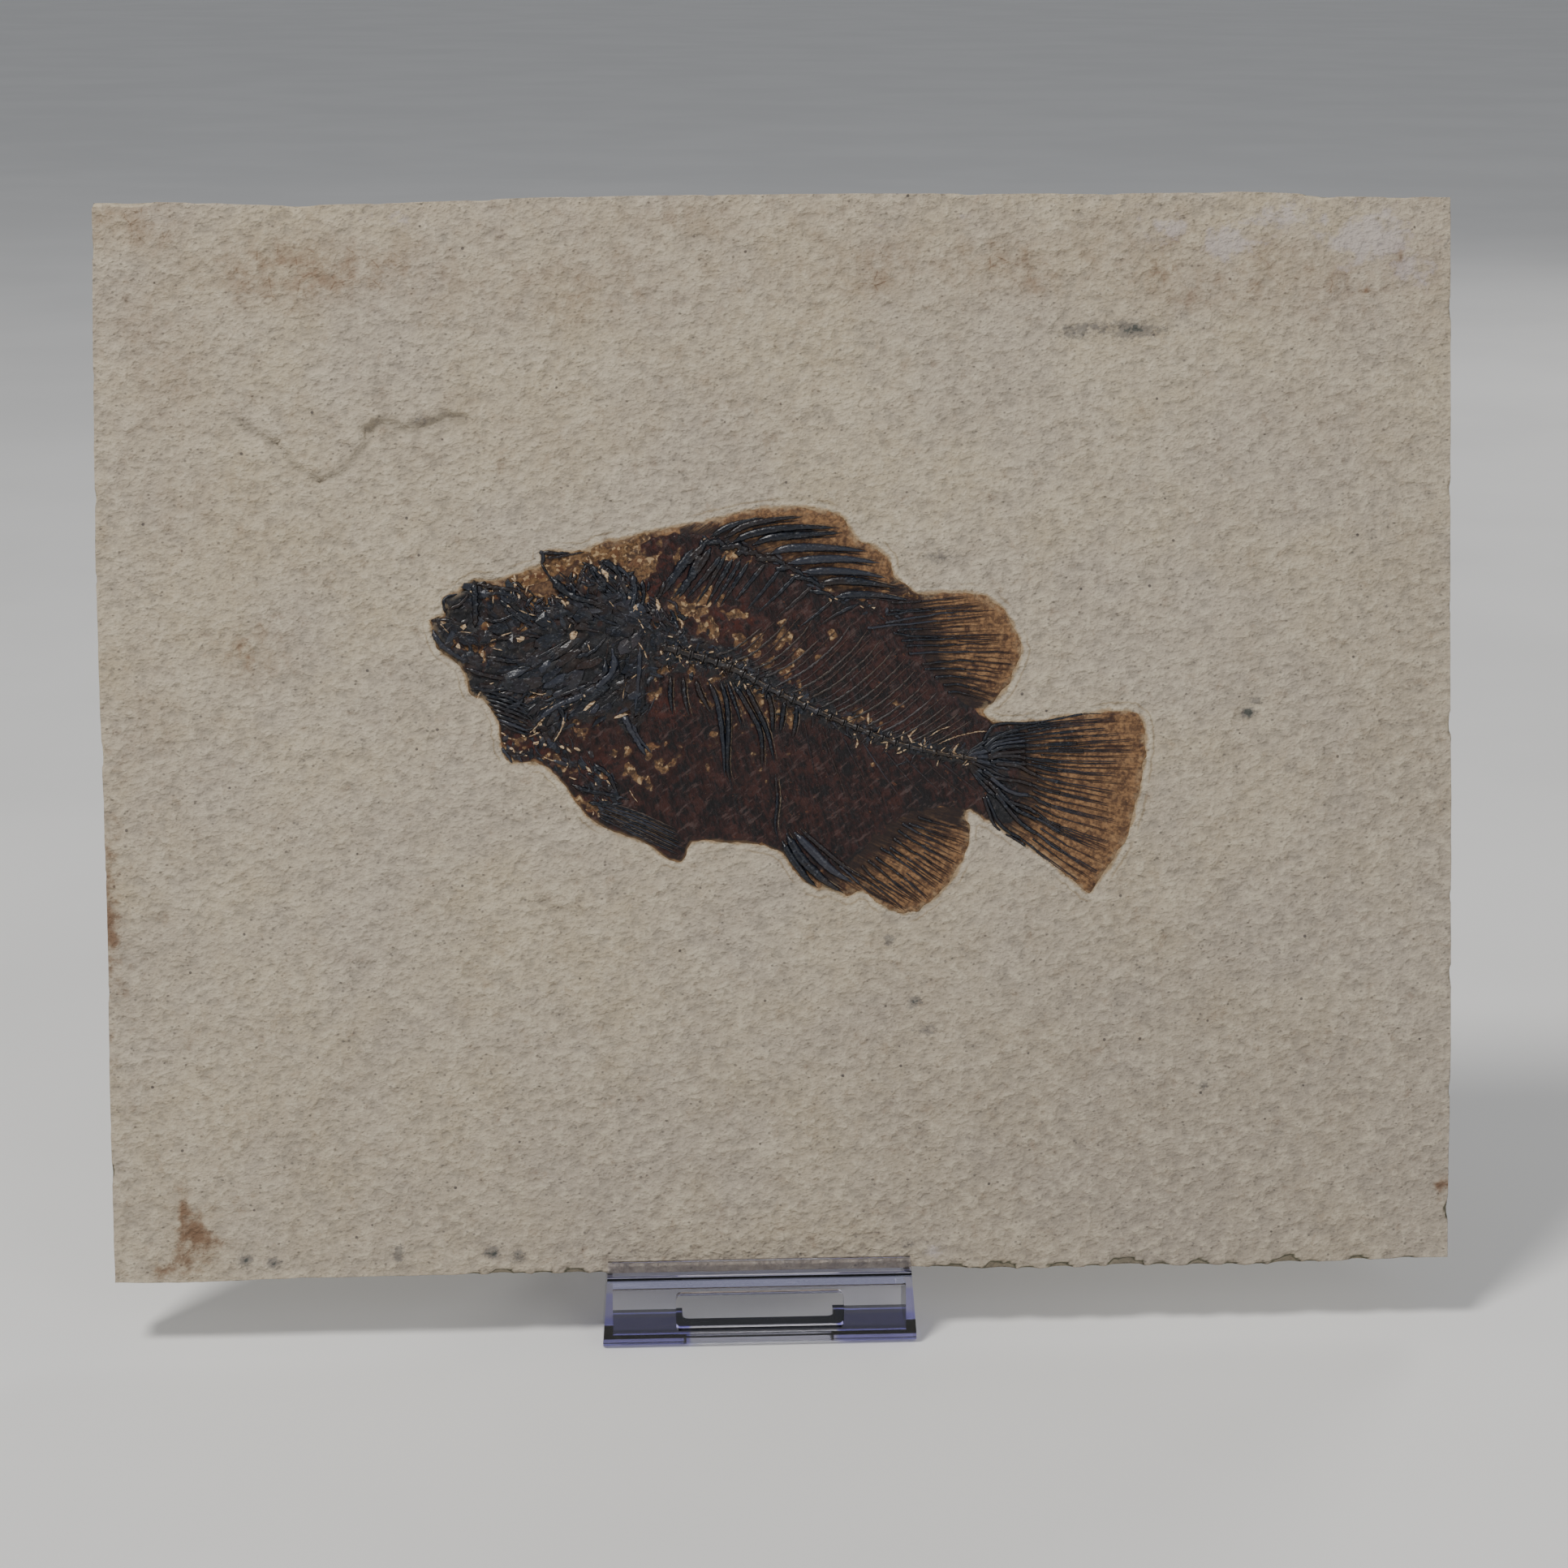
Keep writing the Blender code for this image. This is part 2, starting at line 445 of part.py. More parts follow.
def slab_block():
    """The block, with its faces divided so that they can be worn uneven."""
    shape = bmesh.new()
    bmesh.ops.create_cube(shape, size=1)
    bmesh.ops.scale(shape, vec=(SLAB_WIDTH, SLAB_HEIGHT, SLAB_THICKNESS), verts=shape.verts)
    bmesh.ops.translate(shape, vec=(0, SLAB_HEIGHT / 2, -SLAB_THICKNESS / 2), verts=shape.verts)
    for axis, length, start in ((X_AXIS, SLAB_WIDTH, -SLAB_WIDTH / 2), (Y_AXIS, SLAB_HEIGHT, 0)):
        cuts = round(length / GRID_STEP)
        normal = Vector((0, 0, 0))
        normal[axis] = 1
        for index in range(1, cuts):
            place = normal * (start + index * length / cuts)
            bmesh.ops.bisect_plane(shape, geom=shape.verts[:] + shape.edges[:] + shape.faces[:],
                                   plane_co=place, plane_no=normal)
    rim = [edge for edge in shape.edges if edge.calc_face_angle() > math.radians(45)]
    bmesh.ops.bevel(shape, geom=rim, offset=RIM_BEVEL, segments=1, affect="EDGES")
    for vert in shape.verts:
        vert.co = wear_slab(vert.co)
    bmesh.ops.triangulate(shape, faces=shape.faces)
    mesh = bpy.data.meshes.new("limestone_slab")
    shape.to_mesh(mesh)
    shape.free()
    return mesh


def chip(name, place, radius, collection, parent):
    """A many-sided lump that bites a chip out of an edge."""
    shape = bmesh.new()
    bmesh.ops.create_icosphere(shape, subdivisions=1, radius=radius)
    bmesh.ops.scale(shape, vec=CHIP_SHAPE, verts=shape.verts)
    bmesh.ops.rotate(shape, matrix=Matrix.Rotation(place.x * CHIP_TURN, 3, "Z"), verts=shape.verts)
    bmesh.ops.translate(shape, vec=place, verts=shape.verts)
    mesh = bpy.data.meshes.new(name)
    shape.to_mesh(mesh)
    shape.free()
    add_object(name, mesh, collection, parent)


def make_slab(parts, leaning, material, fish_outline):
    """The slab, with the fish's pocket, the marks in its face, its chips and the split back."""
    cuts = make_collection("slab cuts", hidden=True)
    slab = add_object("limestone_slab", slab_block(), parts, leaning)
    plate("pocket", [grown(fish_outline, POCKET_MARGIN)], -POCKET_DEPTH, CUT_REACH, cuts, leaning)
    for index, (width, depth, points) in enumerate(FACE_GROOVES):
        path = smooth_curve(flat_points(points), 2)
        widths = width * MM * np.sin(np.linspace(GROOVE_END, math.pi - GROOVE_END, len(path)))
        height = (width / 2 - depth) * MM
        ridge(f"groove_{index}", path, widths, height, cuts, leaning)
    for index, (place, radius) in enumerate(BOTTOM_CHIPS):
        spot = Vector((place * MM, -edge_offset(BOTTOM_EDGE, place * MM), 0))
        chip(f"bottom_chip_{index}", spot, radius * MM, cuts, leaning)
    for index, (place, radius) in enumerate(TOP_CHIPS):
        spot = Vector((place * MM, SLAB_HEIGHT + edge_offset(TOP_EDGE, place * MM), 0))
        chip(f"top_chip_{index}", spot, radius * MM, cuts, leaning)
    for index, (depth, points) in enumerate(BACK_LEDGES):
        behind = -SLAB_THICKNESS - CUT_REACH
        floor = -SLAB_THICKNESS + LEDGE_ALLOWANCE + depth * MM
        outline = smooth_curve(flat_points(points), 2, closed=True)
        plate(f"ledge_{index}", [outline], behind, floor, cuts, leaning)
    cut(slab, cuts)
    slab.data.materials.append(material)


def leaned(depth, height):
    """Side-view place of a point so far behind and above the slab's front bottom edge."""
    return Vector((depth * math.cos(SLAB_LEAN) + height * math.sin(SLAB_LEAN),
                   SLAB_LIFT - depth * math.sin(SLAB_LEAN) + height * math.cos(SLAB_LEAN)))


def beside(corners, distance):
    """The corners of a side-view path moved to its left by a distance, with mitred bends."""
    moved = []
    sides = [ahead - behind for behind, ahead in zip(corners, corners[1:])]
    lefts = [Vector((-side.y, side.x)).normalized() for side in sides]
    for index, corner in enumerate(corners):
        meeting = lefts[max(0, index - 1) : index + 1]
        mitre = (meeting[0] + meeting[-1]) / (1 + meeting[0].dot(meeting[-1]))
        moved.append(corner + distance * mitre)
    return moved


def rounded(corners, radii, steps=4):
    """A closed outline through the corners, each turned into an arc of its own radius."""
    outline = []
    count = len(corners)
    for index, (corner, radius) in enumerate(zip(corners, radii)):
        back = (corners[index - 1] - corner).normalized()
        ahead = (corners[(index + 1) % count] - corner).normalized()
        half_angle = back.angle(ahead) / 2
        centre = corner + (back + ahead).normalized() * radius / math.sin(half_angle)
        start = corner + back * radius / math.tan(half_angle) - centre
        end = corner + ahead * radius / math.tan(half_angle) - centre
        turn = start.angle(end)
        for step in range(steps + 1):
            turned = turn * step / steps
            arm = start * math.sin(turn - turned) + end * math.sin(turned)
            outline.append(centre + arm / math.sin(turn))
    return outline


def along_line(start, direction, depth):
    """The point of a side-view line that lies at a given depth."""
    return start + direction * (depth - start.x) / direction.x


def stand_outlines():
    """The easel's side view, its front box filled in, and the hollow to cut from that box."""
    half = WALL / 2
    before = -REST_GAP - half
    below = -REST_GAP - half
    behind = SLAB_THICKNESS + REST_GAP + half
    lip_top = leaned(before, LIP_COVER)
    down = leaned(0, 0) - leaned(0, LIP_COVER)
    front_foot = lip_top + down * (lip_top.y - half) / -down.y
    box_back = front_foot.x + BOX_DEPTH
    top = leaned(behind, REST_LENGTH)
    leg = (Vector((LEG_REACH, 0)) - top).normalized()
    leg_end = Vector((LEG_REACH, half * leg.x))
    shelf_back = leaned(behind, below)
    shelf_front = leaned(before, below)
    foot_end = Vector((box_back, half))

    outside = beside([foot_end, front_foot, lip_top], half)
    slab_side = beside([lip_top, shelf_front, shelf_back, top, leg_end], half)
    underside = beside([leg_end, top, shelf_back, shelf_front, front_foot, foot_end], half)
    leg_inner, top_inner, shelf_bend, shelf_corner, foot_corner, _ = underside
    shelf_line = shelf_corner - shelf_bend
    box_top = along_line(shelf_bend, shelf_line, box_back)
    filled = rounded(outside + slab_side + [leg_inner, top_inner, shelf_bend, box_top],
                     [EASE, OUTER_BEND, EASE,
                      EASE, EASE, EASE, OUTER_BEND, EDGE_EASE,
                      EDGE_EASE, INNER_BEND, INNER_BEND, EASE])
    beyond = box_back + WALL
    hollow_top = along_line(shelf_bend, shelf_line, beyond)
    hollow = rounded([foot_corner, Vector((beyond, WALL)), hollow_top, shelf_corner],
                     [INNER_BEND, EASE, EASE, INNER_BEND])
    return filled, hollow


def window(name, width, low, high, radius, axis, collection, parent):
    """A cutter for a window between two side-view corners, its edges along one axis rounded."""
    lowest = Vector((*low, -width / 2))
    highest = Vector((*high, width / 2))
    shape = bmesh.new()
    bmesh.ops.create_cube(shape, size=1)
    bmesh.ops.scale(shape, vec=highest - lowest, verts=shape.verts)
    bmesh.ops.translate(shape, vec=(highest + lowest) / 2, verts=shape.verts)
    long_edges = [edge for edge in shape.edges
                  if abs((edge.verts[0].co - edge.verts[1].co).normalized()[axis]) > 0.9]
    bmesh.ops.bevel(shape, geom=long_edges, offset=radius, segments=3, profile=0.5, affect="EDGES")
    mesh = bpy.data.meshes.new(name)
    shape.to_mesh(mesh)
    shape.free()
    add_object(name, mesh, collection, parent)


def make_stand(parts, side_view, material):
    """The easel: a lip, a hollow front box, a shelf, a rest and a rear leg, in one moulding."""
    filled, hollow = stand_outlines()
    half_width = STAND_WIDTH_FOOT / 2
    stand = plate("display_stand", [filled], -half_width, half_width, parts, side_view)
    lip_top = leaned(0, LIP_COVER).y
    for vert in stand.data.vertices:
        share = min(1, vert.co.y / lip_top)
        vert.co.z *= 1 + (STAND_WIDTH_TOP / STAND_WIDTH_FOOT - 1) * share
    cuts = make_collection("stand cuts", hidden=True)
    inside = half_width - CHEEK
    plate("box_hollow", [hollow], -inside, inside, cuts, side_view)
    low, high = FRONT_WINDOW
    window("front_window", FRONT_WINDOW_WIDTH, (-CUT_REACH * 3, low), (0, high),
           FRONT_WINDOW_ROUNDING, X_AXIS, cuts, side_view)
    window("foot_notch", FOOT_NOTCH_WIDTH, (FOOT_NOTCH_START, -WALL), (BOX_DEPTH + WALL, 1.5 * WALL),
           FOOT_NOTCH_ROUNDING, Y_AXIS, cuts, side_view)
    cut(stand, cuts)
    eased = stand.modifiers.new("eased edges", "BEVEL")
    eased.width = EDGE_EASE
    eased.segments = 1
    eased.limit_method = "ANGLE"
    eased.angle_limit = math.radians(60)
    stand.data.materials.append(material)


def world_depths(parts):
    """The nearest and farthest y that the parts reach."""
    bpy.context.view_layer.update()
    graph = bpy.context.evaluated_depsgraph_get()
    depths = []
    for obj in parts.objects:
        if obj.type == "MESH":
            evaluated = obj.evaluated_get(graph)
            depths += [(obj.matrix_world @ vert.co).y for vert in evaluated.data.vertices]
    return min(depths), max(depths)


def main():
    for obj in list(bpy.data.objects):
        bpy.data.objects.remove(obj)
    parts = make_collection("fossil fish slab")
    limestone = make_material("limestone", (0.43, 0.39, 0.31), 0.9)
    bone = make_material("petrified bone", (0.05, 0.035, 0.03), 0.4)
    acrylic = make_material("clear acrylic", (0.86, 0.86, 0.95), 0.05, alpha=0.35)

    display = bpy.data.objects.new("display", None)
    leaning = bpy.data.objects.new("leaning", None)
    side_view = bpy.data.objects.new("side_view", None)
    for empty in (display, leaning, side_view):
        parts.objects.link(empty)
    leaning.parent = display
    leaning.location = (0, 0, SLAB_LIFT)
    leaning.rotation_euler = (math.pi / 2 - SLAB_LEAN, 0, 0)
    side_view.parent = display
    side_view.location = (STAND_CENTRE, 0, 0)
    side_view.rotation_euler = (math.pi / 2, 0, math.pi / 2)

    fish_outline = make_fish(parts, leaning, bone)
    make_slab(parts, leaning, limestone, fish_outline)
    make_stand(parts, side_view, acrylic)
    nearest, farthest = world_depths(parts)
    display.location.y = -(nearest + farthest) / 2


main()
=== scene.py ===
"""The looks of a fossil fish slab that rests on a small clear stand.

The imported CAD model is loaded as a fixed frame. Three of its surfaces are made in detail here:
- the limestone slab, a closed mesh with its worn face, chips, marks and split back
- the fish's skin, a relief of scales, fins and skull in the slab's face
- the fish's bones: every spine, ray, rib, vertebra and splinter as its own small bar
The clear stand keeps its CAD mesh and gets a material.

Drawn points and sizes are in millimetres in the slab's own plane: u runs right, v runs up from
the bottom edge, and w runs out of the front face. SLAB_PLACE puts that plane in the world.
Turns are in degrees. A paint's colour is its screen values, from 0 to 255.
"""

import math

import bpy
import numpy as np
from mathutils import Euler, Matrix, Vector


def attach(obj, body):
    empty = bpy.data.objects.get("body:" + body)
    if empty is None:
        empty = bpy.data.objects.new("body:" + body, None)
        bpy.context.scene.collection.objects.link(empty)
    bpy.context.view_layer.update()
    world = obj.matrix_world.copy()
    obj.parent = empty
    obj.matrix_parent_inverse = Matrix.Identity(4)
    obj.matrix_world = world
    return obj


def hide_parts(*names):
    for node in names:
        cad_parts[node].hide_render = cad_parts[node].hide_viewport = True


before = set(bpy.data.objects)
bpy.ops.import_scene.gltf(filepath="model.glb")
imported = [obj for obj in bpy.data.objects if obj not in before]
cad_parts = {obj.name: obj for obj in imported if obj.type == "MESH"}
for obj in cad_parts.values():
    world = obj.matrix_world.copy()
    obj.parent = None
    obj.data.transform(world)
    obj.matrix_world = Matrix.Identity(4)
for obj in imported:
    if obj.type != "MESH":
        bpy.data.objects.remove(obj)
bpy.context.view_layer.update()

MM = 0.001

# ---------------------------------------------------------------------------
# The slab and the picture
# ---------------------------------------------------------------------------

SLAB_WIDTH = 240
SLAB_HEIGHT = 191
SLAB_THICKNESS = 9.5
SLAB_LEAN = math.radians(12)
SLAB_FOOT = Vector((0, -23.761, 12.5)) * MM
SLAB_PLACE = Matrix.Translation(SLAB_FOOT) @ Matrix.Rotation(math.pi / 2 - SLAB_LEAN, 4, "X")

CAMERA_PLACE = Vector((-28.92, -560.60, 251.14)) * MM
CAMERA_TURN = [math.radians(angle) for angle in (74.614, -0.086, -2.965)]
CAMERA_LENS = 74.53
CAMERA_SENSOR = 36
CAMERA_REACH = 60  # metres, as the floor's size and the lights' places are

FLOOR_REACH = 12.0
AIM = Vector((0, 0, 0.10))
KEY_FROM = Vector((-0.40, -0.36, 0.85))
KEY_DISTANCE = 1.5
# (name, place, width, power, colour), each turned to the object's middle.
LIGHTS = [
    ("key", AIM + KEY_FROM.normalized() * KEY_DISTANCE, 0.36, 16.5, (1.0, 0.985, 0.955)),
    ("soft front", (0.75, -1.35, 0.75), 0.9, 4.0, (0.94, 0.97, 1.0)),
    ("soft back", (0.90, 1.25, 0.85), 0.6, 5.0, (1.0, 0.985, 0.96)),
]
SKY_COLOUR = (0.92, 0.95, 1.0, 1)
SKY_STRENGTH = 0.30

# The clear stand's colours, and where a violet reflection is painted into its front plate, in millimetres.
CLEAR = (0.95, 0.95, 1.0, 1)
VIOLET_REFLECTION = (0.52, 0.48, 1.0, 1)
ABSORBED = (0.52, 0.48, 0.96, 1)
ABSORPTION = 26
WINDOW_CENTRE = -4.5
WINDOW_END = (12.8, 13.6)  # from its centre
REFLECTION_HEIGHT = (6.6, 5.6)
REFLECTION_DEPTH = (-2, -6)

# How far each sawn edge stands out from a straight line: (place along the edge, offset).
TOP_EDGE = [
    (-120, 0), (-100, -0.2), (-88, -0.8), (-66, -0.4), (-45, 0.4), (-20, 0.8), (10, 1.0), (60, 0.8),
    (80, 1.1), (92, 0.8), (98, 0.2), (120, 0),
]
BOTTOM_EDGE = [
    (-120, 0), (-108, 0.3), (-86, -0.2), (-62, -0.2), (-36, 0), (24, 0), (36, 0.8), (60, 0.6), (84, 0.9),
    (100, 0.4), (120, 0.1),
]
LEFT_EDGE = [
    (0, 0), (22, 0.2), (42, 0.2), (62, 0), (84, 0.2), (100, 0.5), (128, 0.7), (160, 0.4), (191, 0),
]
RIGHT_EDGE = [
    (0, 0), (12, 0.1), (40, 0.5), (84, 0.5), (110, 0.2), (150, 0.2), (191, 0),
]

# Scratches and dents in the stone's face: (width, depth, path).
FACE_GROOVES = [
    (1.0, 0.55, [(-94.6, 151.9), (-91.5, 150.2), (-88.4, 148.6)]),
    (0.9, 0.55, [(-88.4, 148.6), (-85.0, 144.6), (-81.0, 141.8)]),
    (1.1, 0.50, [(-81.0, 141.8), (-77.0, 143.4), (-73.5, 147.0), (-71.6, 150.6)]),
    (1.3, 0.70, [(-72.6, 150.8), (-70.0, 152.0), (-66.0, 151.0), (-62.0, 151.4), (-58.6, 152.8),
                 (-55.6, 152.2)]),
    (0.9, 0.25, [(-69.0, 149.6), (-62.0, 149.4), (-56.6, 150.6)]),
    (1.1, 0.30, [(49.0, 166.8), (54.0, 166.0), (58.0, 166.2), (62.0, 167.2), (70.0, 166.7)]),
    (0.9, 0.38, [(-43.8, 67.6), (-41.0, 66.2), (-38.6, 65.2), (-36.4, 65.0)]),
    (0.6, 0.20, [(-41.6, 68.4), (-38.6, 67.0), (-36.6, 66.2)]),
    (0.7, 0.22, [(96.6, 101.0), (99.6, 102.6), (103.4, 102.0)]),
    (0.6, 0.20, [(97.8, 99.8), (101.0, 99.2), (104.6, 100.4)]),
]
# Chips bitten out of the edges: (place along the edge, radius).
BOTTOM_CHIPS = [
    (-56, 0.9), (-51, 1.6), (-47.5, 0.8), (-44, 1.2), (-38, 1.5), (-34, 0.8), (27, 1.0), (30, 1.4),
    (34, 0.9), (38, 2.0), (43, 1.0), (49, 1.5), (55, 1.0), (61, 2.2), (67, 1.2), (74, 1.6), (80, 1.1),
    (85, 0.9), (90, 1.9), (94, 0.9), (103, 1.3), (112, 0.9),
]
TOP_CHIPS = [
    (-113, 2.4), (-101, 1.0), (-84, 1.6), (-70, 0.8), (-52, 1.2), (-12, 0.8), (34, 1.3), (58, 0.9),
    (77, 1.4), (96, 2.0), (110, 1.4),
]
SIDE_CHIPS = [
    (9, 1.3), (31, 0.8), (52, 1.2), (66, 0.7), (97, 1.5), (118, 0.8), (139, 1.0), (171, 1.2),
]
# Layers split away from the back: (depth, outline). Some run on past the edges.
BACK_LEDGES = [
    (1.7, [(30, 196), (22, 178), (36, 162), (30, 143), (48, 128), (66, 132), (80, 113),
           (100, 119), (126, 104), (126, 196)]),
    (2.6, [(62, 196), (72, 174), (88, 162), (96, 144), (126, 136), (126, 196)]),
    (1.3, [(-126, 124), (-104, 114), (-92, 97), (-97, 75), (-78, 59), (-70, 35), (-50, 22),
           (-44, -6), (-126, -6)]),
    (2.1, [(-126, 76), (-112, 62), (-104, 38), (-84, 20), (-78, -6), (-126, -6)]),
    (1.1, [(34, -6), (40, 12), (58, 20), (66, 44), (88, 52), (98, 74), (126, 80), (126, -6)]),
]

# Stains in the stone, and painted shade on it, for each colour: (u, v, reach across, reach up, strength).
RUST_STAINS = [
    (-107.2, 11.4, 1.1, 5.6, 1.2), (-105.2, 9.2, 2.2, 3.4, 1.1), (-103.4, 7.0, 3.0, 3.0, 0.65),
    (-106.8, 4.2, 2.6, 4.2, 0.60), (-111.0, 2.0, 4.0, 1.8, 0.50), (118.4, 13.4, 2.6, 0.9, 1.0),
    (-119.0, 68.0, 2.0, 17.0, 0.62), (-119.2, 44.0, 1.2, 10.0, 0.4), (110.5, 180, 1.0, 2.6, 0.62),
    (104.4, 174.4, 0.8, 0.8, 0.8), (-94.5, 112.0, 2.2, 3.2, 0.50), (-90.0, 117.0, 6.0, 2.6, 0.3),
    (-6.8, 174.2, 1.3, 0.8, 0.75), (67, 178, 3.0, 2.4, 0.42), (70, 183, 2.0, 1.6, 0.40),
]
BROWN_STAINS = [
    (-86, 178, 17, 5.5, 1.0), (-70, 179, 13, 5, 0.85), (-92, 176, 6, 4, 0.9), (-60, 174, 9, 5, 0.55),
    (-30, 175, 28, 8, 0.45), (20, 179, 26, 7, 0.48), (38, 180, 13, 6, 0.70), (66, 180, 14, 7, 0.75),
    (-112, 186, 10, 5, 0.60), (-106, 160, 12, 12, 0.36), (-20, 187, 40, 4, 0.40), (76, 175, 20, 4, 0.60),
    (98, 174, 14, 7, 0.60), (112, 178, 7, 9, 0.60), (-114, 168, 8, 10, 0.42), (45, 176, 3, 3, 0.85),
    (88, 181, 9, 5, 0.55), (-102, 134, 14, 12, 0.26), (-93, 112, 7, 5, 0.45), (-30, 152, 50, 10, 0.16),
    (94, 150, 14, 9, 0.18), (-112, 96, 6, 18, 0.20), (20, 44, 14, 12, 0.12),
]
CHALK_STAINS = [
    (67, 185, 6, 3.0, 1.0), (78, 183, 8, 4.0, 0.8), (104, 184, 9, 5.0, 0.95), (92, 187, 10, 3.0, 0.8),
    (113, 178, 5, 8.0, 0.6), (86, 184, 10, 3.0, 0.4), (-66, 187, 14, 2.4, 0.35), (-35, 186, 18, 2.6, 0.3),
    (30, 187, 24, 2.2, 0.3), (26, 3.6, 2.4, 2.0, 0.8),
]
# Grey spots in the stone. The first and last rows lie along the upper sides of two grooves and are painted
# shade there.
GREY_SPOTS_AND_GROOVE_SHADE = [
    (60, 167.4, 13, 1.9, 0.95), (-80, 184, 16, 5, 0.22), (92, 165, 8, 5, 0.20),
    (83.2, 99.4, 1.3, 1.0, 1.35), (84.5, 101.4, 1.4, 0.9, 1.0), (18.8, 59.5, 1.5, 1.2, 1.1),
    (22.7, 48.5, 1.7, 1.4, 1.15), (25, 43, 3.2, 1.4, 0.8), (-29, 30, 3.6, 2.6, 0.3),
    (-96.7, 4.0, 1.4, 1.3, 1.4), (-91.5, 3.4, 1.4, 1.1, 1.3), (-69.3, 4.6, 1.2, 1.9, 1.3),
    (-52.6, 4.6, 1.8, 1.3, 1.2), (-48.2, 3.6, 1.4, 1.4, 1.0), (21.6, 4.6, 1.4, 1.2, 1.1),
    (119, 182, 1.0, 3.0, 0.5), (28, 128, 4.0, 3.0, 0.55), (75, 32, 1.6, 1.6, 0.8), (34, 59, 6, 3, 0.18),
    (-62, 152.4, 6, 1.6, 0.4),
]
# Painted shade: soft patches that darken the face towards the bottom and the right, given like the stains.
FACE_SHADE_PATCHES = [(70, 10, 80, 60, 1.0), (-20, -10, 90, 50, 0.7), (110, 90, 30, 50, 0.6)]

# ---------------------------------------------------------------------------
# The fish, in millimetres
# ---------------------------------------------------------------------------

# Its outline, fins included, clockwise from the tip of the lower jaw.
FISH_OUTLINE = [
    (-62.2, 117.3), (-59.7, 118.0), (-59.5, 121.2), (-57.2, 122.3), (-54.4, 124.3), (-51.0, 124.2),
    (-47.7, 125.0), (-45.0, 126.1), (-42.4, 126.9), (-42.3, 129.2), (-38.4, 129.2), (-35.0, 129.2),
    (-32.4, 130.4), (-27.5, 131.5), (-22.0, 132.7), (-16.0, 133.8), (-12.0, 134.6), (-6.0, 136.0),
    (0.0, 136.6), (5.0, 136.5), (10.0, 135.3), (12.3, 133.0), (13.4, 130.7), (16.6, 129.6), (18.9, 127.3),
    (20.0, 124.6), (22.1, 122.6), (24.4, 121.3), (29.0, 121.3), (33.8, 121.2), (37.4, 119.9),
    (40.0, 117.6), (42.0, 113.4), (42.7, 110.3), (41.4, 107.4), (39.8, 104.3), (37.6, 101.8),
    (35.6, 99.9), (38.6, 98.0), (44.0, 98.2), (51.4, 99.2), (57.9, 100.0), (62.6, 99.8), (64.6, 97.4),
    (64.8, 93.0), (64.0, 87.5), (63.0, 82.6), (61.2, 77.2), (58.8, 73.0), (56.5, 69.8), (54.5, 67.5),
    (51.4, 69.8), (45.7, 74.3), (40.1, 78.2), (35.4, 81.2), (32.6, 82.4), (33.0, 77.8), (31.6, 73.0),
    (28.8, 68.8), (24.6, 65.4), (21.6, 64.2), (17.4, 65.8), (14.0, 68.4), (11.0, 67.3), (7.4, 69.4),
    (5.9, 68.5), (2.4, 71.4), (-0.4, 75.1), (-4.0, 76.7), (-10.0, 77.4), (-16.4, 77.4), (-18.2, 74.2),
    (-21.0, 74.7), (-24.2, 77.2), (-31.1, 79.9), (-34.8, 82.2), (-37.4, 85.8), (-40.4, 89.4),
    (-43.4, 91.7), (-48.2, 92.0), (-50.0, 95.2), (-50.3, 98.7), (-52.2, 102.6), (-55.3, 104.6),
    (-56.7, 109.1), (-59.8, 111.4), (-61.2, 113.7),
]
# Where scales cover the flank. Outside it the skin is bare golden membrane.
SCALED_FLANK = [
    (-26.5, 129.6), (-24.0, 131.6), (-13.0, 132.0), (-7.0, 130.0), (0.0, 126.6), (5.0, 124.6),
    (9.0, 121.8), (16.0, 120.2), (22.6, 120.0), (23.6, 116.0), (25.0, 113.0), (25.6, 109.4),
    (28.0, 105.6), (31.0, 102.4), (35.0, 99.4), (39.0, 98.2), (42.0, 97.0), (42.0, 84.0), (38.0, 80.4),
    (33.0, 82.6), (28.0, 83.0), (21.0, 81.6), (15.0, 76.8), (11.0, 73.0), (3.0, 71.6), (-0.6, 75.4),
    (-4.0, 77.0), (-16.2, 77.4), (-18.0, 74.0), (-21.2, 74.6), (-24.6, 76.8), (-33.0, 80.6),
    (-38.4, 87.4), (-43.4, 92.0), (-47.6, 92.6), (-50.0, 96.0), (-50.6, 99.6), (-52.0, 102.0),
    (-33.0, 106.0), (-29.0, 121.0),
]
# The dark jumble of skull bones, with the shoulder girdle behind it.
DARK_SKULL = [
    (-62.4, 117.5), (-59.9, 118.2), (-59.7, 121.2), (-57.2, 122.4), (-54.4, 124.6), (-53.0, 123.7),
    (-50.0, 122.9), (-46.4, 122.6), (-44.6, 119.8), (-40.2, 119.7), (-38.4, 121.4), (-41.0, 124.6),
    (-39.4, 124.8), (-36.8, 122.2), (-34.6, 127.0), (-33.6, 127.0), (-32.4, 124.6), (-32.2, 127.6),
    (-29.6, 127.8), (-27.6, 124.6), (-25.6, 121.8), (-22.2, 119.6), (-18.6, 117.2), (-15.6, 113.4),
    (-14.6, 110.4), (-17.0, 107.4), (-22.0, 107.6), (-24.3, 104.5), (-24.4, 99.0), (-27.0, 97.0),
    (-32.0, 99.3), (-37.0, 98.6), (-42.0, 96.4), (-46.0, 97.2), (-49.8, 97.3), (-50.7, 98.8),
    (-52.5, 102.7), (-55.6, 104.5), (-57.0, 109.0), (-60.0, 111.4), (-61.5, 113.8),
]
# The dark mass that the tail's rays start from.
TAIL_PLATE = [
    (33.0, 89.5), (33.0, 93.5), (37.0, 97.0), (42.0, 98.0), (48.0, 98.9), (43.4, 96.6), (40.6, 93.5),
    (40.2, 89.0), (39.6, 85.0), (40.6, 80.0), (45.4, 75.0), (41.0, 77.8), (37.8, 79.4), (36.5, 84.0),
]
